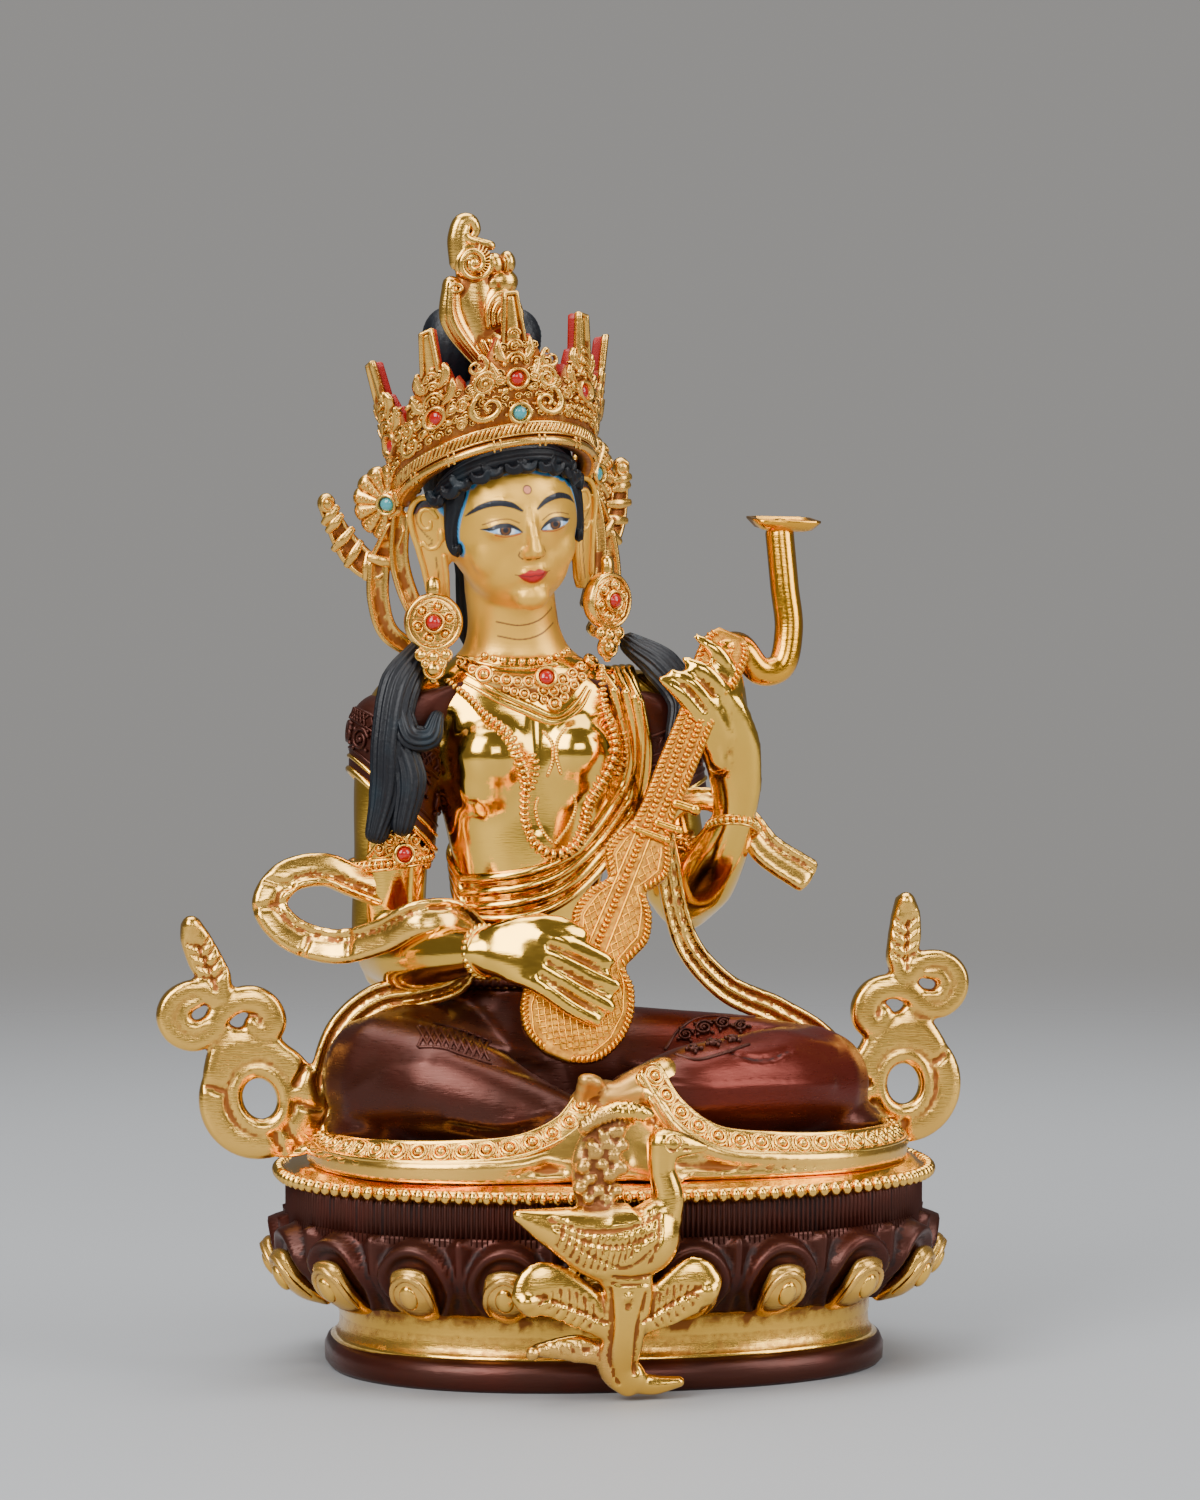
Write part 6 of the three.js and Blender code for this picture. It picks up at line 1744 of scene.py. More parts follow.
def hookedScroll(size=1.0):
    # a C with ribs on its back, an inner ring and a hooked tip
    line = [(-1.9, 2.0), (-2.5, 0.8), (-2.1, -0.7), (-0.8, -1.5), (0.8, -1.2), (1.6, 0.0), (1.1, 1.1),
            (0.0, 1.2),
            (-0.6, 0.4), (-0.1, -0.2)]
    parts = [flatWire(line, [0.5, 0.65, 0.7, 0.65, 0.6, 0.5, 0.45, 0.4, 0.35, 0.3], 0.75, lift=0.3, steps=32,
                      around=7),
             flatWire([(-1.9, 2.0), (-1.2, 2.7), (-0.6, 2.3), (-0.8, 1.8)], [0.5, 0.45, 0.35, 0.25], 0.6,
                      lift=0.3,
                      steps=14, around=6)]
    for k in range(6):
        a = math.pi * (0.86 + 0.14 * k)
        parts.append(flatWire([(1.9 * math.cos(a), 0.2 + 1.6 * math.sin(a)),
                               (2.75 * math.cos(a), 0.2 + 2.2 * math.sin(a))],
                              0.17, 0.5, lift=0.45, steps=3, around=5))
    return [(v * size, f) for v, f in parts]


def bezel(stoneRadius=1.35, height=1.1):
    return [flatRing(0, 0, stoneRadius + 0.42, 0.42, height, lift=0.2, steps=20, around=7),
            dome(0, 0, stoneRadius + 0.5, stoneRadius + 0.5, 0.45, around=14, rows=5)]


def leafParts(leaf):
    s, band, tall = alongWall(leaf["angle"]), crown["band"], leaf["height"]
    middle = band + leaf["stone"] * tall
    wide = leaf["half"] * 16
    parts = wallPiece(bezel(), s=s, rise=middle)
    for side in (-1, 1):
        petals = [dome(0, 0, 1.25, 0.85, 0.95, around=12),
                  flatRing(0, 0, 0.75, 0.2, 0.3, lift=0.75, steps=12, around=5)]
        parts += wallPiece(petals, s=s + side * 2.95, rise=middle + 0.1)
        parts += wallPiece([dome(0, 0, 0.95, 0.7, 0.85, turn=side * -0.8, around=10)], s=s + side * 2.2,
                           rise=middle - 1.9)
        # pointed side leaves, in two tiers, each with a raised edge and a midrib
        for reach, rise, lean, size in ((0.52, 0.31, 0.85, 1.0), (0.40, 0.47, 0.5, 0.95)):
            shape = [flatWire([(0, 0), (0.5, 1.3), (0.25, 2.9), (-0.2, 4.0)], [0.5, 1.15, 0.95, 0.3], 0.7,
                              steps=10, around=8),
                     flatWire([(0.05, 0.3), (0.4, 1.5), (0.15, 3.1)], 0.18, 0.3, lift=0.65, steps=8,
                              around=6)]
            parts += wallPiece([(v * size, f) for v, f in shape], s=s + side * wide * reach * 0.55,
                               rise=band + rise * tall, mirror=side < 0, turn=-side * lean * 0.6)
    for rise, size in ((0.14, 1.0), (0.25, 0.85), (0.35, 0.72)):
        # half rings stacked over the stone
        arch = [flatWire(arcPoints(0, 0, 1.5, 1.5, 0.0, math.pi, 9), 0.34, 0.62, lift=0.3, steps=16,
                         around=7),
                flatWire(arcPoints(0, 0, 0.85, 0.85, 0.0, math.pi, 7), 0.26, 0.8, lift=0.3, steps=12,
                         around=6),
                dome(0, 0.2, 0.5, 0.55, 0.9, around=10)]
        parts += wallPiece([(v * size, f) for v, f in arch], s=s, rise=middle + rise * tall)
    return parts + prongParts(leaf)


def bandParts():
    parts = []
    ends = (-1.86, 1.86)
    s0, s1 = alongWall(ends[0]), alongWall(ends[1])
    line = [(s, 0.85) for s in np.linspace(s0, s1, 40)]
    roll = flatWire(line, 0.85, 1.05, lift=0.25, steps=120, around=10)
    parts.append((onWall(roll[0]), roll[1]))
    for s in np.arange(s0 + 2.5, s1 - 1, crown["ringEvery"]):
        for shift in (-0.5, 0.5):
            ring = flatWire([(0, -0.9), (0, 0), (0, 0.95)], 0.22, 0.42, lift=0.95, steps=5, around=5)
            parts += wallPiece([ring], s=s + shift, rise=0.85)
    for rise, width in ((2.15, 0.28), (4.15, 0.3)):
        thread = flatWire([(s, rise) for s in np.linspace(s0, s1, 40)], width, 0.62, lift=0.1, steps=80,
                          around=5)
        parts.append((onWall(thread[0]), thread[1]))
    for s in np.linspace(s0 + 0.6, s1 - 0.6, crown["ropeTurns"]):
        twist = flatWire([(-0.42, -0.75), (0, 0), (0.42, 0.75)], 0.36, 0.62, lift=0.2, steps=4, around=6)
        parts += wallPiece([twist], s=s, rise=3.15)
    return parts


def smallCurl(radius):
    line = arcPoints(0, 0, radius, radius * 0.34, 0.4, 0.4 + 2.6 * math.pi, 9)
    return [flatWire(line, radius * 0.21, radius * 0.62, lift=0.12, steps=9, around=5),
            dome(0, 0, radius * 0.36, radius * 0.36, radius * 0.75, lift=0.1, around=8, rows=4)]


def groundParts():
    # small curls and beads that cover the ground between the larger forms
    edges = sorted((alongWall(leaf["angle"] + u * leaf["half"]), v * leaf["height"]) for leaf in crownLeaves
                   for u, v in leafEdge)
    edgeRun, edgeRise = np.array(edges).T
    gems = [(alongWall(leaf["angle"]), leaf["stone"] * leaf["height"]) for leaf in crownLeaves]
    parts = []
    for row, rise in enumerate(np.arange(0.95, 13.6, 1.5)):
        for s in np.arange(edgeRun[0] + 1.2, edgeRun[-1] - 1, 1.95):
            at = s + (row % 2) * 0.97 + rng.uniform(-0.2, 0.2)
            nearest = min(math.hypot(at - x, rise - z) for x, z in gems)
            if rise > np.interp(at, edgeRun, edgeRise) - 0.9 or nearest < 1.9:
                continue
            size = rng.uniform(0.75, 1.0)
            if (row + int(s * 3)) % 3:
                drawn = smallCurl(size)
            else:
                drawn = [dome(0, 0, size * 0.6, size * 0.6, 0.75, around=8, rows=4)]
            parts += wallPiece(drawn, s=at, rise=crown["band"] + rise, mirror=at > 0,
                               turn=rng.uniform(-0.8, 0.8))
    return parts


def betweenParts():
    parts = groundParts()
    band = crown["band"]
    for side, angles in ((-1, (-0.34, -0.60, -1.2)), (1, (0.34, 0.60, 1.2))):
        a, b, c = (alongWall(angle) for angle in angles)
        parts += wallPiece(spiralBoss(2.15, ticks=14), s=a - side * 0.2, rise=band + 7.2, mirror=side > 0)
        parts += wallPiece(hookedScroll(1.12), s=a - side * 0.4, rise=band + 2.6, mirror=side > 0)
        parts += wallPiece(hookedScroll(0.7), s=a + side * 1.0, rise=band + 10.4, mirror=side < 0)
        parts += wallPiece(spiralBoss(1.35), s=b - side * 0.4, rise=band + 4.6, mirror=side > 0)
        parts += wallPiece(spiralBoss(1.2), s=b, rise=band + 1.5, mirror=side < 0)
        parts += wallPiece(spiralBoss(1.6, ticks=8), s=c, rise=band + 4.4, mirror=side > 0)
        parts += wallPiece(hookedScroll(0.8), s=c, rise=band + 1.6, mirror=side > 0)
        parts += wallPiece(spiralBoss(0.9), s=a + side * 2.0, rise=band + 6.0)
    parts += wallPiece(bezel(), s=0, rise=band * 1.2)
    for side in (-1, 1):
        # small bosses down the outer edge of the outermost leaf
        s = alongWall(side * 1.76)
        for out, rise, size in ((0.2, 6.8, 1.3), (0.9, 3.8, 1.35), (0.6, 10.0, 1.1), (-0.6, 13.0, 0.9)):
            parts += wallPiece(spiralBoss(size), s=s + side * out * 0.4, rise=crown["band"] + rise * 0.62,
                               mirror=side > 0)
    return parts


fan = {"radius": 7.4, "right": (-20.4, 5.4, 4.6), "left": (18.8, 5.4, 5.4), "turn": 0.7, "flutes": 9}


def onFan(verts, side):
    # drawn x outwards, y up, z towards the eye
    flat = np.stack([verts[:, 0] * side, -verts[:, 2], verts[:, 1]], axis=1)
    return flat @ turnMatrix(0, 0, side * fan["turn"]).T + (fan["right"] if side < 0 else fan["left"])


def fanParts(side):
    parts = [dome(0, 0, 3.1, 3.1, 1.3, around=20, rows=8)]
    start, sweepAngle = -1.45, 4.3
    for k in range(fan["flutes"]):
        a = start + sweepAngle * (k + 0.5) / fan["flutes"]
        tip = np.array([math.cos(a), math.sin(a)])
        width = fan["radius"] * sweepAngle / fan["flutes"] / 2 * 0.98
        parts.append(flatWire([tip * 1.6, tip * 4.2, tip * (fan["radius"] - width * 0.75)],
                              [0.5, width * 0.72, width], 1.05, steps=9, around=10))
        for step, reach in enumerate(np.arange(3.3, fan["radius"] - 0.6, 0.92)):
            spot = tip * reach
            parts.append(dome(spot[0], spot[1], 0.36 + 0.09 * step, 0.34, 0.55, turn=a + math.pi / 2,
                              lift=0.75, around=9, rows=5))
    parts += [(v + (0, 0, 1.0), f) for v, f in bezel()]
    return [(onFan(v, side), f) for v, f in parts]


ribbonSpread = {"right": 1.0, "left": 0.7}


def bandSection(lip=0.28, groove=0.45):
    # a flat band with raised rounded edges and a low middle, seen end on
    return [(-1, -0.75), (-0.4, -0.9), (0.4, -0.9), (1, -0.75), (1.08, 0.2), (1.0, 0.95), (0.8, 1.05),
            (1 - lip * 1.6, 0.9),
            (1 - lip * 2.2, groove), (0, groove * 0.8), (-(1 - lip * 2.2), groove), (-(1 - lip * 1.6), 0.9),
            (-0.8, 1.05),
            (-1.0, 0.95), (-1.08, 0.2)]


def ribbonParts(side):
    spread = ribbonSpread["right"] if side < 0 else ribbonSpread["left"]

    def spot(x, y, z):
        return (side * (16 + (x - 16) * spread), y, z)

    half = crown["plate"] / 2
    facing = (side * 0.25, -1, 0)
    curl = [spot(19.6, 5.4, 0), spot(23.6, 7.6, -7), spot(27, 9.6, -4), spot(30.8, 11, 4.6)]
    parts = [
        sweep([spot(18.6, 5.2, 2), spot(19.6, 5, -6), spot(18, 4.2, -14), spot(15.6, 3.4, -18.5)], 1.7, half,
              facing=facing, section=bandSection(), steps=34),
        sweep(curl, [1.8, 2.4, 2.4, 1.3], half, facing=facing, section=bandSection(0.2), steps=40),
        sweep([spot(23, 7, -6.4), spot(23.6, 6.8, -13), spot(22.4, 6, -19), spot(17, 4.6, -23.6)],
              [2.0, 1.9, 1.8, 1.5], half, facing=facing, section=bandSection(), steps=40),
    ]
    line, _ = smoothLine(curl, 15)
    for k in (4, 6, 8, 10, 12, 13):
        # slanted ridges over the curl
        width = 2.4 if k < 12 else 1.7
        across = unit(np.cross(unit(line[k + 1 if k < 14 else k] - line[k - 1]), facing))
        a, b = line[k] - across * width, line[k] + across * width
        lift = np.array(unit(facing)) * (half + 0.12)
        slant = (line[k] - line[k - 1]) * 0.45
        parts.append(sweep([a + lift * 0.8 - slant, line[k] + lift * 1.15, b + lift * 0.8 + slant],
                           [0.7, 1.05, 0.7],
                           0.45, facing=facing, steps=10, around=12))
    tip = np.array(spot(30.8, 11, 5.2))
    parts.append(blob(tip + (0, -0.4, 0), (1.7, 1.5, 1.9), around=16, rows=10))
    ring = [tip + (1.15 * math.cos(a), -1.6, 1.3 * math.sin(a)) for a in np.linspace(0.6, 5.4, 9)]
    parts.append(sweep(ring, 0.36, 0.45, steps=18, around=7))
    return parts


def buildCrown():
    wall = crownWallParts()
    relief = bandParts() + betweenParts()
    for leaf in crownLeaves:
        relief += leafParts(leaf)
    for side in (-1, 1):
        relief += fanParts(side) + ribbonParts(side)
    relief = [turnedOut(v, f) for v, f in relief]
    parts = inHead(wall + relief)
    piece = makePiece("crownWithLeaves", parts, {"matt": [0.9] * len(wall) + [0.8] * len(relief)}, up=seat)
    markRecess(piece, 0.7, 0.9)
    # the wall behind the ornament is darker: patina and painted shade between the relief
    count = len(wall[0][0])
    recess = np.maximum(readMark(piece, "recess"), 0)
    recess[:count] = np.maximum(recess[:count], 0.3)
    setMark(piece, "recess", recess)
    # red paint on the wall's back and top edge
    local = headLocal(piece)[:count]
    angle = np.arctan2(local[:, 0] - crownPlan["middle"], -local[:, 1])
    norm = normals(piece)[:count] @ turnBack
    outward = norm[:, 0] * np.sin(angle) - norm[:, 1] * np.cos(angle)
    red = np.zeros(len(recess))
    red[:count] = np.where((outward < 0.35) & (local[:, 2] > crownFoot(angle)[:, 2] + 4.5), 1.0, 0.0)
    setMark(piece, "red", red)
    return dressed(piece, ornamentMetal, "crown")


buildCrown()
print("crown made")


def buildFinial():
    parts = [sweep([(1.4, -6.2, 22), (-1.6, -5.8, 31), (-4.0, -4.8, 40), (-3.8, -4.2, 46.6),
                    (-5.6, -4.1, 52)],
                   [2.0, 3.4, 3.9, 3.7, 2.4], [1.3, 1.7, 2.0, 1.8, 1.4], steps=40, around=24)]
    for k in range(4):
        # fine ribs running down the stem
        part = k - 1.5
        parts.append(sweep([(1.6 + part * 0.7, -7.3, 22), (-0.6 + part * 1.15, -7.5, 28),
                            (-2.4 + part * 1.3, -7.3, 33.4)],
                           [0.4, 0.6, 0.55], 0.6, steps=20, around=8))
    # left leaf with its small hole at the top, and nested edges
    left = [(0.6, -6, 24), (-5.4, -5.6, 31.4), (-9, -5, 38), (-8.6, -4.8, 44)]
    parts.append(sweep(left, [1.2, 1.9, 2.4, 1.7], 1.5, steps=30, around=20))
    parts.append(sweep([(p[0] - 0.5, p[1] - 1.2, p[2]) for p in left], [0.5, 0.8, 1.0, 0.7], 0.8, steps=30,
                       around=10))
    hole = [(-8.4 + 1.15 * math.cos(a), -6.3, 43.4 + 0.75 * math.sin(a)) for a in np.linspace(0, 5.6, 9)]
    parts.append(sweep(hole, 0.45, 0.6, steps=20, around=8, closed=True))
    # right swelling of nested arcs
    parts.append(blob((-0.2, -5.6, 38.2), (3.7, 2.5, 5.4), around=28, rows=18))
    for k, (width, height) in enumerate(((3.2, 4.6), (2.3, 3.3), (1.35, 2.0))):
        arc = [(width * math.cos(a), -7.4 - 0.35 * k, 37.2 + height * math.sin(a))
               for a in np.linspace(-0.3, 3.4, 9)]
        parts.append(sweep(arc, 0.5, 0.6, steps=24, around=8))
    parts += [blob((0.3, -8.2, 36.8), (0.8, 0.7, 1.2)),
              blob((0.6, -5.2, 43.4), (3.2, 1.9, 2.6), around=22, rows=14)]
    # knob of two lobes with a slit
    parts += [blob((-0.6, -5.4, 46.8), (2.1, 1.9, 2.1), around=20, rows=12),
              blob((2.0, -5.4, 46.9), (1.5, 1.8, 2.1), around=18, rows=12),
              sweep([(1.2, -7.0, 48.4), (1.45, -7.3, 47.0), (1.4, -6.9, 45.6)], 0.3, 0.45, steps=10,
                    around=7)]
    # round scroll with ticks on its right half
    middle = np.array((-4.6, -6.0, 47.6))
    spiral = [middle + (r * math.cos(a), -0.6, r * math.sin(a))
              for a, r in zip(np.linspace(0.2, 0.2 - 3.1 * math.pi, 20), np.linspace(3.3, 0.9, 20))]
    parts += [blob(middle + (0, 0.8, 0), (3.5, 1.7, 3.7), around=26, rows=14),
              sweep(spiral, 0.62, 0.8, steps=56, around=9),
              blob(middle + (0, -0.8, 0), (0.9, 0.7, 0.9))]
    for a in np.linspace(-1.1, 1.2, 11):
        inner, outer = 2.1, 3.3
        parts.append(sweep([middle + (inner * math.cos(a), -1.15, inner * math.sin(a)),
                            middle + (outer * math.cos(a), -0.8, outer * math.sin(a))], 0.16, 0.3, steps=4,
                           around=6))
    # hook at the top, open to the right
    parts += [sweep([(-6.6, -4.6, 47.6), (-6.6, -4.6, 52.0), (-5.6, -4.6, 54.8), (-4.0, -4.7, 54.9),
                     (-3.3, -4.9, 53.2),
                     (-4.2, -5.1, 51.9)], [2.0, 2.0, 1.6, 1.2, 0.95, 0.6], [1.5, 1.5, 1.4, 1.2, 0.9, 0.6],
                    steps=40, around=16),
              sweep([(-4.9, -5.2, 54.0), (-5.4, -5.3, 52.2), (-3.0, -5.3, 50.9), (-0.9, -5.4, 50.2)],
                    [0.6, 0.9, 1.0, 0.9], 0.9,
                    steps=22, around=12)]
    parts = [turnedOut(v, f) for v, f in parts]
    piece = makePiece("flameFinial", inHead(parts), {"matt": 0.65}, up=seat)
    markRecess(piece, 0.7, 1.1)
    setMark(piece, "red", np.where(normals(piece)[:, 1] > 0.45, 1.0, 0.0))
    return dressed(piece, ornamentMetal, "topknot_finial")


buildFinial()
print("finial made")


# lute, drawn upright from the foot of its bowl: x across, y away from the eye, z up

luteSize = {"length": 84.0, "thickness": 4.4, "foot": (-13.2, -25.4, 20.2), "head": (21.6, -11, 95.4),
            "rope": 0.95, "hatch": 1.9, "stemRadius": 2.6}
luteProfile = [
    (0, 0.030), (0.012, 0.062), (0.03, 0.088), (0.08, 0.114), (0.14, 0.118), (0.2, 0.096), (0.235, 0.064),
    (0.262, 0.072), (0.305, 0.086), (0.36, 0.072), (0.4, 0.044), (0.42, 0.056), (0.45, 0.072), (0.49, 0.064),
    (0.54, 0.042), (0.68, 0.041), (0.82, 0.042), (0.9, 0.054), (0.97, 0.05), (0.995, 0.032),
]
luteStem = [(0, 0, 0.93), (0.0, 0.0, 0.96), (0.027, 0.036, 0.986), (0.089, 0.061, 0.96),
            (0.125, 0.071, 0.988),
            (0.112, 0.061, 1.068), (0.067, 0.042, 1.15), (0.012, 0.022, 1.252)]


def luteFrame():
    foot, head = np.array(luteSize["foot"]), np.array(luteSize["head"])
    up = unit(head - foot)
    across = unit(np.cross((0.12, 1, -0.2), up))
    return np.stack([across, np.cross(up, across), up]), foot


def inLute(parts):
    axes, foot = luteFrame()
    return [(v @ axes + foot, f) for v, f in parts]


def luteWidth(z):
    shares = np.array([p[0] for p in luteProfile]) * luteSize["length"]
    return np.interp(z, shares, np.array([p[1] for p in luteProfile]) * luteSize["length"])


def onLute(parts, lift=0.0):
    # flat ornament: x across, y up the lute, z towards the eye, on the front face
    front = -luteSize["thickness"] / 2 + 0.1
    return [turnedOut(np.stack([v[:, 0], front - lift - v[:, 2], v[:, 1]], axis=1), f) for v, f in parts]


def luteOutline(count):
    tall = luteSize["length"]
    return smoothLine([(w * tall, z * tall) for z, w in luteProfile], count)[0]


def luteBody():
    half = luteSize["thickness"] / 2
    section = np.array([(-1, -0.55), (-0.97, -0.85), (-0.9, -1), (-0.45, -0.94), (0, -0.92), (0.45, -0.94),
                        (0.9, -1),
                        (0.97, -0.85), (1, -0.55), (1, 0.2), (0.93, 0.62), (0.7, 0.92), (0.3, 1.06), (0, 1.1),
                        (-0.3, 1.06),
                        (-0.7, 0.92), (-0.93, 0.62), (-1, 0.2)])
    rings = [np.column_stack([section[:, 0] * w, section[:, 1] * half * min(1, 0.45 + w / 6),
                              np.full(len(section), z)])
             for w, z in luteOutline(110)]
    return skinOf(rings)


def ropeRound():
    parts = []
    outline = luteOutline(400)
    run = runAlong(outline)
    count = int(run[-1] / luteSize["rope"])
    for side in (-1, 1):
        for k in range(count):
            u = (k + 0.5) * luteSize["rope"]
            x, z = np.interp(u, run, outline[:, 0]), np.interp(u, run, outline[:, 1])
            x2, z2 = np.interp(u + 0.3, run, outline[:, 0]), np.interp(u + 0.3, run, outline[:, 1])
            along = unit(np.array([x2 - x, z2 - z]))
            inward = np.array([-along[1], along[0]])
            if z > 80 and x < 3.2:
                continue
            place = np.array([x, z]) + inward * 0.72
            lean = math.atan2(along[1], along[0]) + 1.05
            twist = blob((0, 0, 0.0), (0.92, 0.34, 0.62), (0, 0, lean), around=8, rows=5)
            part = moved(twist, by=(place[0], place[1], 0.05))
            parts.append(moved(part, mirror=side < 0))
    return parts


def luteStrings():
    parts = []
    tall = luteSize["length"]
    for z in np.arange(0.10 * tall, 0.965 * tall, 0.98):
        for x in ((-0.9,) if z < 0.53 * tall else (-1.0, 0.85)):
            parts.append(blob((x, z, 0.3), (0.8, 0.44, 0.6), (0, 0, 0.12), around=8, rows=5))
    for x0, x1 in ((1.25, 0.5), (-2.5, -2.2)):
        parts.append(flatWire([(x0, 0.1 * tall), (x1, 0.52 * tall)], 0.26, 0.45, lift=0.1, steps=20,
                              around=7))
    # the thin line inside the rope border
    for side in (-1, 1):
        zs = np.linspace(0.02, 0.5, 40) * tall
        line = [(side * max(luteWidth(z) - 2.0, 1.6), z) for z in zs]
        parts.append(flatWire(line, 0.2, 0.42, lift=0.05, steps=90, around=6))
    return parts


def crossHatch():
    parts = []
    tall = luteSize["length"]
    for slope in (-1.35, 1.35):
        for c in np.arange(-12, 0.5 * tall + 12, luteSize["hatch"]):
            run = []
            for x in np.arange(-9.2, 9.3, 0.3):
                z = c + slope * x
                inside = 0.1 * tall < z < 0.5 * tall and abs(x) < luteWidth(z) - 2.1 and (x > 1.3 or x < -2.5)
                if inside:
                    run.append((x, z))
                if run and not inside:
                    if len(run) > 2:
                        parts.append(flatWire([run[0], run[-1]], 0.13, 0.34, lift=0.02, steps=3, around=5))
                    run = []
    # the bowl is finely hatched both ways
    for turn in (0.5, 2.1):
        across, along = (math.cos(turn), math.sin(turn)), (-math.sin(turn), math.cos(turn))
        for offset in np.arange(-6.6, 6.7, 1.1):
            reach = math.sqrt(7.2 ** 2 - offset ** 2)
            ends = [(across[0] * offset + along[0] * s, 9.0 + across[1] * offset + along[1] * s)
                    for s in (-reach, 0, reach)]
            parts.append(flatWire(ends, 0.17, 0.36, lift=0.02, steps=5, around=5))
    return parts


def luteTray():
    # a shallow dish with sloping sides, on the end of the stem
    rings = []
    for w, d, z in ((0.55, 0.5, -1.4), (0.78, 0.74, -1.0), (1.0, 1.0, 0.45), (1.0, 1.0, 0.8),
                    (0.86, 0.82, 0.85), (0.8, 0.76, 0.3)):
        corners = np.array([(-1, -0.82), (-0.8, -1), (0.8, -1), (1, -0.82), (1, 0.82), (0.8, 1), (-0.8, 1),
                            (-1, 0.82)])
        rings.append(np.column_stack([corners[:, 0] * 6 * w, corners[:, 1] * 4.5 * d, np.full(8, z)]))
    end = np.array(luteStem[-1]) * luteSize["length"]
    return moved(skinOf(rings), turn=(0.25, -0.42, 0.2), by=end + (0, 0, 0.9 + 0.4 * luteSize["stemRadius"]))


def buildLute():
    body = [luteBody()]
    stem = [sweep(np.array(luteStem) * luteSize["length"], luteSize["stemRadius"], steps=70, around=20),
            luteTray()]
    flat = ropeRound() + luteStrings() + crossHatch()
    for z, x0, x1, size in ((0.515, -2.6, 3.4, 0.75), (0.545, 0.6, 4.6, 0.8), (0.60, 2.4, 6.0, 0.9),
                            (0.86, -2.8, 3.0, 0.6)):
        tall = luteSize["length"]
        flat.append(flatWire([(x0, z * tall), (x1, z * tall + 0.3)], size, 0.9, lift=0.45, steps=8,
                             around=10))
        flat.append(dome(x1, z * tall + 0.3, size * 1.25, size * 1.25, 1.1, lift=0.45))
    parts = inLute(body + stem + onLute(flat))
    parts = [turnedOut(v, f) for v, f in parts]
    matt = [0.55] + [0.3, 0.4] + [0.7] * len(flat)
    piece = makePiece("chasedLute", parts, {"matt": matt}, up=seat)
    markRecess(piece, 0.7, 0.8)
    # the ground between the hatching is darker: patina and painted shade
    recess = readMark(piece, "recess")
    count = len(body[0][0])
    axes, foot = luteFrame()
    local = (places(piece)[:count] - (0, 0, seat) - foot) @ axes.T
    recess[:count] = np.where((local[:, 1] < -1.5), 0.16, recess[:count])
    setMark(piece, "recess", recess)
    chasedMetal = metal("chasedGold", tone="deep", roughness=0.17, mattRoughness=0.25, threshold=0.05,
                        cloudiness=0.22)
    return dressed(piece, chasedMetal, "lute")


buildLute()
print("lute made")


# scarves

scarf = {"width": 6.0, "thickness": 2.2, "scrollThickness": 3.2}
# seen end on: a bevelled outer face and a raised, rounded inner lip
lipped = [(-1, -1), (1, -1), (1.06, -0.2), (1.0, 0.5), (0.8, 0.95), (0.1, 1.05), (-0.22, 0.9), (-0.36, 0.25),
          (-0.5, 0.25), (-0.62, 1.1), (-0.82, 1.4), (-1.02, 1.1), (-1.08, 0)]
threeRibbed = [(-1, -1), (1, -1), (1.08, 0), (0.98, 1.0), (0.72, 1.15), (0.5, 0.35), (0.3, 0.3), (0.16, 1.0),
               (-0.16, 1.0),
               (-0.3, 0.3), (-0.5, 0.35), (-0.72, 1.15), (-0.98, 1.0), (-1.08, 0)]


def strap(points, side=None, section=lipped, facing=(0, -1, 0), steps=80):
    side = scarf["width"] / 2 if side is None else side
    return sweep(points, side, scarf["thickness"] / 2, facing=facing, section=section, steps=steps)


def onScroll(parts, side, middle, lean):
    # drawn about the ring's centre: x outwards, y up, z towards the eye
    placed = []
    for v, f in parts:
        out = v[:, 0] * math.cos(lean) + v[:, 1] * math.sin(lean)
        up = v[:, 1] * math.cos(lean) - v[:, 0] * math.sin(lean)
        placed.append(turnedOut(np.stack([side * out, -v[:, 2], up], axis=1) + middle, f))
    return placed


def ovalRing(radius, width, height, around, shape):
    verts, faces = flatRing(0, 0, radius, width, height, steps=48, around=around)
    return verts * shape, faces


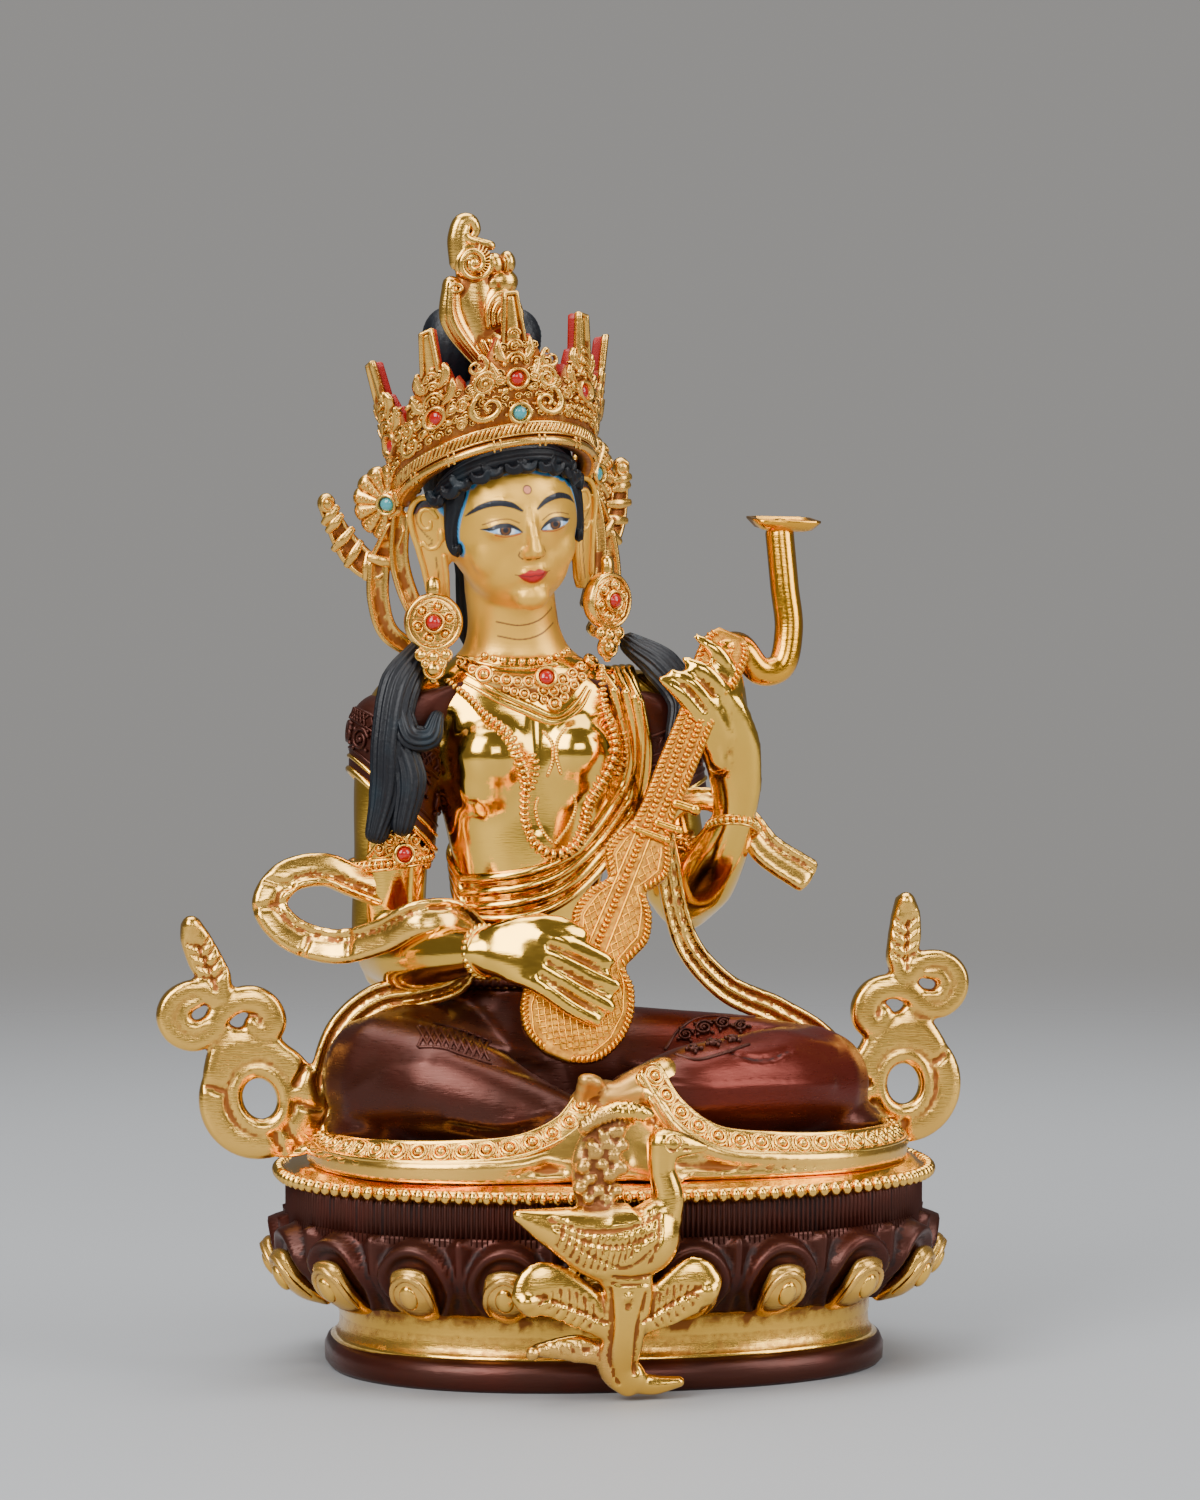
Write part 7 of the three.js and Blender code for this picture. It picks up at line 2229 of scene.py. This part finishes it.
def scrollParts():
    half = scarf["scrollThickness"] / 2
    bevelled = [(-1, -1), (1, -1), (1.04, 0.1), (0.86, 0.75), (0.2, 1.0), (-0.6, 1.0), (-0.86, 0.85),
                (-1.04, 0.3)]
    rounded = [(math.cos(a), math.sin(a)) for a in np.linspace(0, 2 * math.pi, 19)[:-1]]

    def band(points, width, steps, section=bevelled, deep=half):
        p = np.column_stack([points, np.zeros(len(points))])
        return sweep(p, width, deep, facing=(0, 0, 1), section=section, steps=steps)
    parts = [
        band(arcPoints(0, 0, 8.6, 8.6, -1.04 * math.pi, math.pi, 16), [2.1, 2.2, 2.4, 2.4, 2.3, 2.2, 2.1],
             96),
        band([(6.6, 6.9), (3.1, 10.4), (-1.2, 10.4), (-4.9, 7.5), (-6.8, 3.0), (-6.1, -1.9)],
             [1.8, 2.6, 2.8, 2.6, 2.3, 1.8], 50),
        # the raised inner ring round its upright oval hole
        ovalRing(4.9, 1.7, half * 1.15, 16, (0.92, 1.14, 1)),
        ovalRing(6.5, 0.9, half * 0.66, 8, (0.96, 1.1, 1)),
        # one band curls left and flows on into the right-hand hook
        band([(1.3, 19.7), (4.3, 22.4), (8.6, 22.0), (10.6, 19.5), (10.1, 16.3), (7.3, 14.1), (4.1, 14.8),
              (1.4, 17.1), (-2.0, 18.1), (-5.3, 17.1), (-7.0, 14.6), (-6.9, 11.8), (-5.1, 10.5), (-3.4, 11.8),
              (-3.1, 13.6)],
             [1.8, 2.0, 2.1, 2.1, 2.1, 2.1, 2.1, 2.2, 2.3, 2.4, 2.4, 2.3, 2.1, 1.8, 1.2], 150),
        band([(4.4, 20.5), (7.3, 20.1), (8.3, 18.0), (6.9, 16.1), (4.6, 16.4)], [1.2, 1.7, 1.8, 1.6, 1.1], 44,
             section=rounded, deep=half * 1.1),
        band([(7.1, 13.3), (2.8, 13.7), (0.1, 10.6), (-3.5, 8.5), (-5.5, 5.6)], [1.2, 2.0, 2.2, 2.2, 1.6], 40,
             deep=half * 0.8),
        # the leaf, with its bulb at the top
        band([(0.7, 19.0), (0.3, 23.2), (0.9, 27.5), (1.2, 31.5), (1.1, 33.8)], [2.0, 2.9, 3.0, 2.6, 1.9],
             44),
        blob(np.array((1.1, 33.8, 0.5)), (1.75, 1.9, half * 1.1), around=20, rows=12),
    ]
    notches = [((-7.0, 0.4), (-10.6, 3.4)), ((-6.4, -3.2), (-9.8, -5.8)), ((-2.6, -6.6), (-3.8, -10.6)),
               ((0.0, -7.0), (-0.4, -11.0)), ((6.0, 4.0), (9.0, 6.2))]
    veins = [((0.8, 21.7), (1.0, 26.0)), ((1.0, 26.0), (1.3, 30.5)), ((0.8, 23.2), (2.3, 24.3)),
             ((0.8, 23.2), (-1.7, 24.2)), ((0.8, 25.3), (2.8, 26.7)), ((0.8, 25.3), (-1.8, 26.3)),
             ((1.0, 27.3), (3.0, 29.1)), ((1.0, 27.3), (-1.6, 28.6)), ((1.1, 29.2), (3.0, 31.1)),
             ((1.1, 29.2), (-1.3, 30.4))]
    return parts, notches, veins


def buildScarf(name, node, straps, side, middle, lean, cuts=()):
    flat, notches, veins = scrollParts()
    parts = straps + onScroll(flat, side, middle, lean)
    piece = makePiece(name, parts, up=seat)
    blended(piece, 0.47, smooth=3)
    strokes = []
    for lines, lifts, width, depth in ((notches, (1.7, 1.75, 1.4), 0.8, -0.75),
                                       (veins, (1.6, 1.6, 1.5), 0.5, -0.55)):
        for a, b in lines:
            line = np.column_stack([[a, ((a[0] + b[0]) / 2, (a[1] + b[1]) / 2), b], lifts])
            strokes.append((onScroll([(line, [[0, 1, 2]])], side, middle, lean)[0][0], width, depth))
    worked(piece, strokes + [(line, 0.8, -0.7) for line in cuts], up=seat)
    markRecess(piece, 0.9, 1.1)
    backward = normals(piece)[:, 1]
    setMark(piece, "matt", np.full(len(backward), 0.6))
    setMark(piece, "red", eased(backward, 0.35, 0.6))
    return dressed(piece, ornamentMetal, node)


buildScarf("rightScarf", "right_scarf", [
    strap([(-40.5, 5, 48.2), (-46.4, 3, 50.6), (-51, 2, 52.4), (-58, 1, 51.2), (-61.4, 0, 46.4),
           (-58, -1.4, 41.4), (-50, -4, 38.8),
           (-42, -9, 41), (-36, -13, 44.4), (-30, -12, 44.6), (-25.6, -8, 41), (-25, -3, 36)],
          facing=(0.1, -1, 0.35),
          steps=150),
    strap([(-25, -4, 37.4), (-28, -2, 32.4), (-34, -1.8, 30.4), (-42, -1.4, 28.8), (-48.4, -1.6, 23.4),
           (-51.4, -1.8, 15), (-52.6, -1.8, 8), (-55.6, -2, 3.8), (-60, -2, 2.6)],
          side=[2.8, 2.8, 2.8, 2.8, 2.8, 2.8, 2.6, 2.0], section=threeRibbed, steps=110),
], -1, (-63.4, -2, 11.4), 0.34, cuts=[
    [(-57.5, -0.6, 49.4), (-62.2, -0.4, 51.0)], [(-58.4, -1.2, 46.8), (-64.2, -1.0, 45.6)],
    [(-54, -3.6, 42), (-56, -3.8, 37)], [(-48, -6, 42), (-47.6, -6.4, 37)],
])
buildScarf("leftScarf", "left_scarf", [
    strap([(10.4, 0.4, 60), (14, -0.4, 64), (20, 0.6, 64.4), (26, 0.6, 61), (30, -1, 55.4),
           (37.4, -2.4, 50.4)],
          side=[1.8, 2, 2, 2.4, 3, 3.2], facing=(0.1, -1, 0.4), steps=70),
    strap([(10.6, 0.6, 61.6), (12, 0.8, 53), (13.4, 1.2, 45), (16.4, 2, 37), (23.4, 2.6, 29.6), (33, 3.4, 25),
           (42, 4, 19), (47.6, 3, 10), (50, 2, 5)], side=[2, 2.2, 2.2, 2.4, 2.6, 2.8, 2.8, 2.6],
          section=threeRibbed,
          steps=130),
], 1, (56.6, 2, 11.4), -0.02)
print("scarves made")


# earrings and stones

earring = {"radius": 5.3, "thickness": 2.4, "bosses": 6, "bezelRise": 0.8,
           "right": ((-31.6, -1.4, 97.2), -0.1), "left": ((0.8, 1.2, 101), 0.6)}
stone = {"radius": 1.35, "height": 1.8, "seatDepth": 0.9}


def onEarring(parts, which):
    place, turn = earring[which]
    return [turnedOut(np.stack([v[:, 0], -v[:, 2], v[:, 1]], axis=1) @ turnMatrix(0, 0, turn).T + place, f)
            for v, f in parts]


def buildEarring(which, node):
    r, half = earring["radius"], earring["thickness"] / 2
    disc = sweep([(0, 0, -half), (0, 0, half - 0.35)], r - 0.3, r - 0.3, facing=(0, 1, 0), around=40, steps=4,
                 tips=(0.06, 0.05))
    parts = [disc, flatRing(0, 0, r - 0.55, 0.62, half + 0.25, steps=48, around=12),
             flatRing(0, 0, r - 1.55, 0.2, 0.45, lift=half - 0.2, steps=40, around=6)]
    for k in range(earring["bosses"]):
        a = (k + 0.25) / earring["bosses"] * 2 * math.pi
        x, y = 2.95 * math.cos(a), 2.95 * math.sin(a)
        parts += [dome(x, y, 0.78, 0.78, 1.05, lift=half - 0.3, around=12),
                  flatRing(x, y, 0.98, 0.24, 0.55, lift=half - 0.2, steps=16, around=6)]
    parts += [sweep([(0, 0, half - 1.0), (0, 0, half + earring["bezelRise"] - 0.2)], 1.95, 1.95,
                    facing=(0, 1, 0), around=20,
                    steps=3, tips=(0.05, 0.08)),
              flatRing(0, 0, stone["radius"] + 0.38, 0.36, 0.7, lift=half + earring["bezelRise"] - 0.25,
                       steps=22, around=8)]
    parts.append(sweep([(0, r - 0.6, 0), (0, r + 1.2, 0.2), (0, r + 2.0, 0)], 1.3, 1.0, facing=(0, 0, 1),
                       steps=10, around=12))
    low = -r
    for x, y, size in ((-2.2, -0.6, 1.15), (2.2, -0.6, 1.15), (0, -1.0, 1.3), (-1.2, 0.5, 0.9),
                       (1.3, 0.5, 0.9),
                       (-1.4, -2.2, 0.8), (1.5, -2.2, 0.8)):
        parts += [dome(x, low + y, size, size, size, lift=0.4),
                  flatRing(x, low + y, size * 0.95, 0.22, 0.4, lift=0.7, steps=14, around=6)]
    parts += [blob((0, low - 3.2, 0.2), (1.55, 1.55, 1.5), around=18, rows=10),
              flatRing(0, low - 3.2, 1.75, 0.36, 0.9, lift=0.1, steps=22, around=8),
              dome(0, low - 5.2, 0.8, 0.75, 0.7)]
    piece = makePiece(which + "Earring", onEarring(parts, which), {"matt": 0.6}, up=seat)
    markRecess(piece, 0.7, 1.0)
    return dressed(piece, ornamentMetal, node)


buildEarring("right", "right_earring")
buildEarring("left", "left_earring")


def stonePaint(name, colour, veins):
    material = bpy.data.materials.new(name)
    material.use_nodes = True
    tree = material.node_tree
    shader = tree.nodes["Principled BSDF"]
    where = addNode(tree, "ShaderNodeTexCoord").outputs["Object"]
    tint = between(tree, noiseAt(tree, where, 700, 3), 0.5, 0.8)
    tree.links.new(mixed(tree, combine(tree, "MULTIPLY", tint, 0.5), colour, veins),
                   shader.inputs["Base Color"])
    shader.inputs["Roughness"].default_value = 0.16
    shader.inputs["Coat Weight"].default_value = 0.4
    return material


coralStone = stonePaint("polishedCoral", (0.40, 0.006, 0.003), (0.55, 0.03, 0.012))
turquoiseStone = stonePaint("polishedTurquoise", (0.055, 0.30, 0.33), (0.14, 0.46, 0.46))


def faceInHead(turn, place):
    return turnMatrix(*headTurn) @ turn, inHead([(place[None, :], [])])[0][0][0]


def wallFace(angle, rise):
    flare = crown["flare"] * math.sin(angle) ** 4
    return faceInHead(turnMatrix(-flare, 0, angle), wallPlace(angle, crown["plate"] / 2, rise))


def fanFace(side):
    turn = turnMatrix(0, 0, side * fan["turn"])
    middle = np.array(fan["right"] if side < 0 else fan["left"])
    return faceInHead(turn, middle + turn @ (0, -crown["plate"] / 2, 0))


def earringFace(which):
    place, turn = earring[which]
    turn = turnMatrix(0, 0, turn)
    return turn, np.array(place) + turn @ (0, -earring["thickness"] / 2 - earring["bezelRise"], 0)


def buildStone(node, material, turn, place):
    bpy.ops.object.select_all(action="DESELECT")
    bpy.ops.mesh.primitive_uv_sphere_add(segments=24, ring_count=14, radius=1.0, location=(0, 0, 0))
    piece = bpy.context.active_object
    piece.name = node.replace("_", " ").title().replace(" ", "") + "Cabochon"
    verts = places(piece) * mm
    shape = np.stack([verts[:, 0] * stone["radius"], -verts[:, 2] * (stone["height"] - stone["seatDepth"]),
                      verts[:, 1] * stone["radius"]], axis=1)
    foot = shape[:, 1] > 0
    shape[foot, 1] = np.minimum(shape[foot, 1], stone["seatDepth"])
    setPlaces(piece, shape @ turn.T + place + (0, 0, seat))
    dressed(piece, material, node)


stones = [("coral_crown_" + name, wallFace(leaf["angle"], crown["band"] + leaf["stone"] * leaf["height"]))
          for name, leaf in zip(("right_outer", "right_inner", "front", "left_inner", "left_outer"),
                                crownLeaves)]
stones += [("coral_right_earring", earringFace("right")), ("coral_left_earring", earringFace("left")),
           ("coral_necklace", jewels["corals"][0]), ("coral_armlet", jewels["corals"][1])]
for node, (turn, place) in stones:
    buildStone(node, coralStone, turn, place)
for node, (turn, place) in (("turquoise_crown_front", wallFace(0.0, crown["band"] * 1.2)),
                            ("turquoise_crown_right", fanFace(-1)), ("turquoise_crown_left", fanFace(1))):
    buildStone(node, turquoiseStone, turn, place)
print("earrings and stones made")


# swan and lotus stem, before the base

swanPlace = (-8, -49.5, 0)


def swanParts():
    def form(points, side, deep=None, around=24, steps=30, **rest):
        return sweep(points, side, deep, around=around, steps=steps, **rest)
    return [
        form([(-15.6, 0, 33.4), (-9, -0.4, 31), (0, -1, 28.4), (6.6, -0.8, 29.6), (9.6, 0, 33)],
             [1.2, 4, 7.2, 6.6, 4],
             [1.2, 3, 4.6, 4.4, 3], around=34, steps=50),
        form([(8.2, 0, 30), (10.6, -0.4, 35.6), (9.4, -0.4, 41), (9.6, -0.6, 45)], [3.6, 2.8, 2.4, 3],
             [3, 2.4, 2.2, 2.6]),
        form([(9.4, -0.6, 45.4), (13, -0.8, 45.2), (17, -0.8, 44.6)], [3, 2.2, 0.7], [2.8, 1.8, 0.7]),
        form([(-1.4, 0.6, 30), (-2.6, 0.8, 37), (-2.2, 0.8, 43), (0, 0.8, 48), (3.0, 0.8, 50.0)],
             [2.0, 3.4, 4.0, 3.4, 2], 1.9),
        sweep([(-4.4, -0.6, 48.4), (-1.4, -0.9, 50.6), (2.6, -0.9, 51.6), (7.0, -0.4, 50.6)],
              [1.1, 1.4, 1.5, 1.1], 1.5, steps=90, around=18,
              ripple=lambda t: 0.22 * np.sin(t * 2 * np.pi * 15)),
        form([(1, -1, 27), (3.4, -0.6, 21), (3, 1.2, 12), (2.4, 3.6, 6.4), (5, 4, 3.2)],
             [5.6, 4.4, 3.6, 3.8, 3],
             [3, 2.6, 2.6, 2.6, 2], square=0.8),
        form([(2, 1, 12), (-4, 0.6, 17), (-11.6, 0, 20.6), (-14.6, 0, 18)], [2, 4.0, 5.0, 3.2], 1.5),
        form([(3.6, 1, 13), (9.4, 0.4, 17), (15.6, 0, 20.6), (18.4, 0, 20)], [2, 4.0, 5.2, 3.2], 1.5),
        form([(1.6, 3.4, 7.4), (-5, 3, 9.6), (-12, 2.8, 9.6)], [1.6, 2.6, 1.2], 1.4),
        form([(4, 4, 3.4), (9, 4.4, 2.6), (13.4, 4.6, 3)], [2, 1.8, 1], 1.4),
        blob((-14.4, -0.6, 18.4), (2.0, 1.6, 1.7)), blob((17.6, -0.6, 19.6), (1.9, 1.5, 1.9)),
        blob((-13.0, 1.8, 9.2), (1.3, 1.3, 1.3)),
    ]


def budLumps():
    # small uneven scales in staggered rows
    parts = []
    for row in range(9):
        t = row / 8
        middle = -2.2 + 2.4 * t * t
        columns = (-2.9, 0.0, 2.9) if row % 2 else (-1.5, 1.5)
        for x in columns:
            size = rng.uniform(1.15, 1.75)
            spot = (middle + x * (0.8 + 0.35 * math.sin(math.pi * t)), -0.9,
                    31.8 + 16.0 * t + rng.uniform(-0.5, 0.5))
            parts.append(blob(spot, (size, 1.35, size * 0.85), turn=(0.35, rng.uniform(-0.6, 0.6), 0),
                              around=14, rows=9))
    return parts


def buildSwan():
    piece = makePiece("swanOnStem", [(v + swanPlace, f) for v, f in swanParts() + budLumps()])
    blended(piece, 0.36, smooth=5)
    x, y, z = (places(piece) - swanPlace).T
    splitFaces(piece, (y < 0) & (np.hypot(x - 11.2, z - 45.4) < 3.4))
    x0 = swanPlace[0]
    strokes = []

    def drawn(points, width, height):
        strokes.append(([(x + x0, z) for x, z in points], width, height))
    # the wing: two crosshatched edges above, long feathers below
    drawn([(-10.5, 33.0), (-5, 31.2), (2, 31.4), (8.2, 33.4)], 0.45, -0.45)
    drawn([(-9.6, 31.6), (-4.4, 29.2), (2, 28.6), (8.0, 30.8)], 0.45, -0.45)
    drawn([(-8.6, 30.2), (-3.6, 26.6), (2.4, 24.6), (7.6, 28.2)], 0.4, -0.35)
    drawn([(8.4, 33.6), (8.2, 29.4), (6.6, 25.4)], 0.45, -0.4)
    for k in range(15):
        t = k / 14
        x, z = -8.6 + 16.0 * t, 30.9 - 3.6 * math.sin(math.pi * min(1, t * 1.05)) + 1.4 * t
        drawn([(x, z), (x - 0.9, z - 2.6 - 1.3 * math.sin(math.pi * t))], 0.32, -0.5)
        drawn([(x, z + 0.4), (x + 0.5, z + 2.0)], 0.26, -0.35)
    # eye, beak and cheek
    drawn(arcPoints(11.0, 45.7, 1.25, 1.25, 0, 6.28, 24), 0.3, -0.3)
    drawn([(13.0, 44.5), (15.0, 44.3), (17.2, 44.4)], 0.3, -0.45)
    # veins of the leaves
    for side, base, tip in ((-1, (-0.6, 14.6), (-12.6, 19.6)), (1, (6.0, 14.6), (16.0, 20.2))):
        drawn([base, ((base[0] + tip[0]) / 2, (base[1] + tip[1]) / 2 + 0.3), tip], 0.4, -0.5)
        for k in range(7):
            t = 0.15 + 0.12 * k
            x, z = base[0] + (tip[0] - base[0]) * t, base[1] + (tip[1] - base[1]) * t
            reach = 2.8 * math.sin(math.pi * min(0.95, t + 0.1)) + 0.6
            drawn([(x, z), (x + side * 0.4, z + reach)], 0.34, -0.45)
            drawn([(x, z), (x + side * 1.2, z - reach * 0.75)], 0.34, -0.4)
    # the stem's blades, the lines on its block and its dot
    drawn([(-0.2, 20.6), (0.4, 14), (0.2, 8), (2.0, 3.4)], 0.55, -0.6)
    drawn([(6.4, 19.6), (5.0, 14), (4.8, 9), (5.2, 5.4)], 0.6, -0.6)
    drawn([(0.2, 22.9), (3.4, 22.6), (6.6, 22.8)], 0.35, -0.45)
    drawn([(0.2, 21.7), (3.4, 21.4), (6.4, 21.6)], 0.35, -0.4)
    drawn([(2.9, 19.2), (3.1, 19.3)], 0.8, 0.55)
    drawn([(2.9, 17.6), (3.3, 17.7)], 0.7, -0.35)
    for k in range(4):
        drawn([(-10.4 + k * 2.0, 10.8), (-9.6 + k * 2.0, 8.6)], 0.3, -0.35)
    drawn([(-3.4, 9.4), (-3.0, 9.6)], 0.8, -0.5)
    # crest of the bud, ribbed like a rope
    for k in range(13):
        t = k / 12
        x, z = -4.6 + 11.0 * t, 46.6 + 4.0 * math.sin(math.pi * (0.28 + 0.5 * t)) - 1.0
        drawn([(x, z), (x - 0.5, z + 1.8)], 0.36, 0.42)
    worked(piece, strokes)
    markRecess(piece, 0.9, 1.2)
    verts = places(piece)
    bud = eased(-np.hypot((verts[:, 0] - x0 + 1.4) / 6.2, (verts[:, 2] - 42.5) / 9.6), -1.05, -0.85)
    low = eased(-verts[:, 2], -12.5, -9.0) * (verts[:, 0] < x0 + 1)
    setMark(piece, "matt", np.clip(0.25 + bud + low, 0, 1))
    setMark(piece, "copper", np.clip(bud * 0.34 + low * 0.12, 0, 1))
    return dressed(piece, ornamentMetal, "swan_and_lotus_stem")


buildSwan()
print("swan made")


# stage: floor, light and camera


def plainMaterial(name, colour, roughness):
    material = bpy.data.materials.new(name)
    material.use_nodes = True
    shader = material.node_tree.nodes["Principled BSDF"]
    shader.inputs["Base Color"].default_value = (*colour, 1)
    shader.inputs["Roughness"].default_value = roughness
    return material


stage = {
    # a round pale floor that fades softly into the grey behind it, the same from every side
    "floor": (0.315, 0.323, 0.335), "radius": 1.3, "fade": (0.34, 0.98),
    "backdrop": (0.300, 0.293, 0.285), "world": (0.15, 0.149, 0.147),
    # place, size, power, aimed at the figure's middle
    "lights": [((-0.75, -0.75, 0.75), (0.7, 0.9), 22), ((0.85, -0.55, 0.55), (0.6, 0.9), 11),
               ((0.0, 0.1, 1.15), (1.2, 0.8), 13.5), ((0.1, -1.25, 0.5), (0.5, 0.35), 4),
               ((-0.2, 0.2, 1.6), (2.2, 0.6), 10)],
    "camera": (-0.15628, -0.88633, 0.15), "target": (-0.000744, 0.0, 0.111579), "lens": 118.48,
}


def floorMaterial():
    material = plainMaterial("paleFloor", stage["floor"], 0.6)
    tree = material.node_tree
    reach = addNode(tree, "ShaderNodeVectorMath", operation="LENGTH")
    tree.links.new(addNode(tree, "ShaderNodeTexCoord").outputs["Object"], reach.inputs[0])
    tree.links.new(between(tree, reach.outputs["Value"], stage["fade"][1], stage["fade"][0]),
                   tree.nodes["Principled BSDF"].inputs["Alpha"])
    return material


def buildWorld():
    world = bpy.data.worlds.new("studio")
    world.use_nodes = True
    tree = world.node_tree
    seen = addNode(tree, "ShaderNodeMix", data_type="RGBA")
    tree.links.new(addNode(tree, "ShaderNodeLightPath").outputs["Is Camera Ray"], seen.inputs["Factor"])
    seen.inputs["A"].default_value = (*stage["world"], 1)
    seen.inputs["B"].default_value = (*stage["backdrop"], 1)
    tree.links.new(seen.outputs["Result"], tree.nodes["Background"].inputs["Color"])
    bpy.context.scene.world = world


def buildStage():
    around = np.linspace(0, 2 * np.pi, 97)[:-1]
    radii = np.linspace(0.05, stage["radius"], 9)
    rings = [[(r * math.cos(a), r * math.sin(a), 0) for a in around] for r in radii]
    verts = [spot for ring in rings for spot in ring]
    count = len(around)
    faces = [(k * count + i, (k + 1) * count + i, (k + 1) * count + (i + 1) % count,
              k * count + (i + 1) % count)
             for k in range(len(rings) - 1) for i in range(count)]
    faces.append(tuple(range(count)))
    mesh = bpy.data.meshes.new("paleFloor")
    mesh.from_pydata(verts, [], faces)
    floor = bpy.data.objects.new("paleFloor", mesh)
    bpy.context.scene.collection.objects.link(floor)
    mesh.materials.append(floorMaterial())
    buildWorld()
    for k, (place, size, power) in enumerate(stage["lights"]):
        bpy.ops.object.light_add(type="AREA", location=place)
        lamp = bpy.context.active_object
        lamp.name = f"softbox{k + 1}"
        lamp.data.shape = "RECTANGLE"
        lamp.data.size, lamp.data.size_y = size
        lamp.data.energy = power
        lamp.rotation_euler = (Vector((0, 0, 0.11)) - Vector(place)).to_track_quat("-Z", "Y").to_euler()
    bpy.ops.object.camera_add(location=stage["camera"])
    camera = bpy.context.active_object
    camera.data.lens = stage["lens"]
    camera.data.sensor_width = 36
    camera.data.sensor_fit = "VERTICAL"
    camera.data.sensor_height = 36
    camera.data.clip_end = 20
    aim = Vector(stage["target"]) - Vector(stage["camera"])
    camera.rotation_euler = aim.to_track_quat("-Z", "Y").to_euler()
    bpy.context.scene.camera = camera


buildStage()
print("stage set")
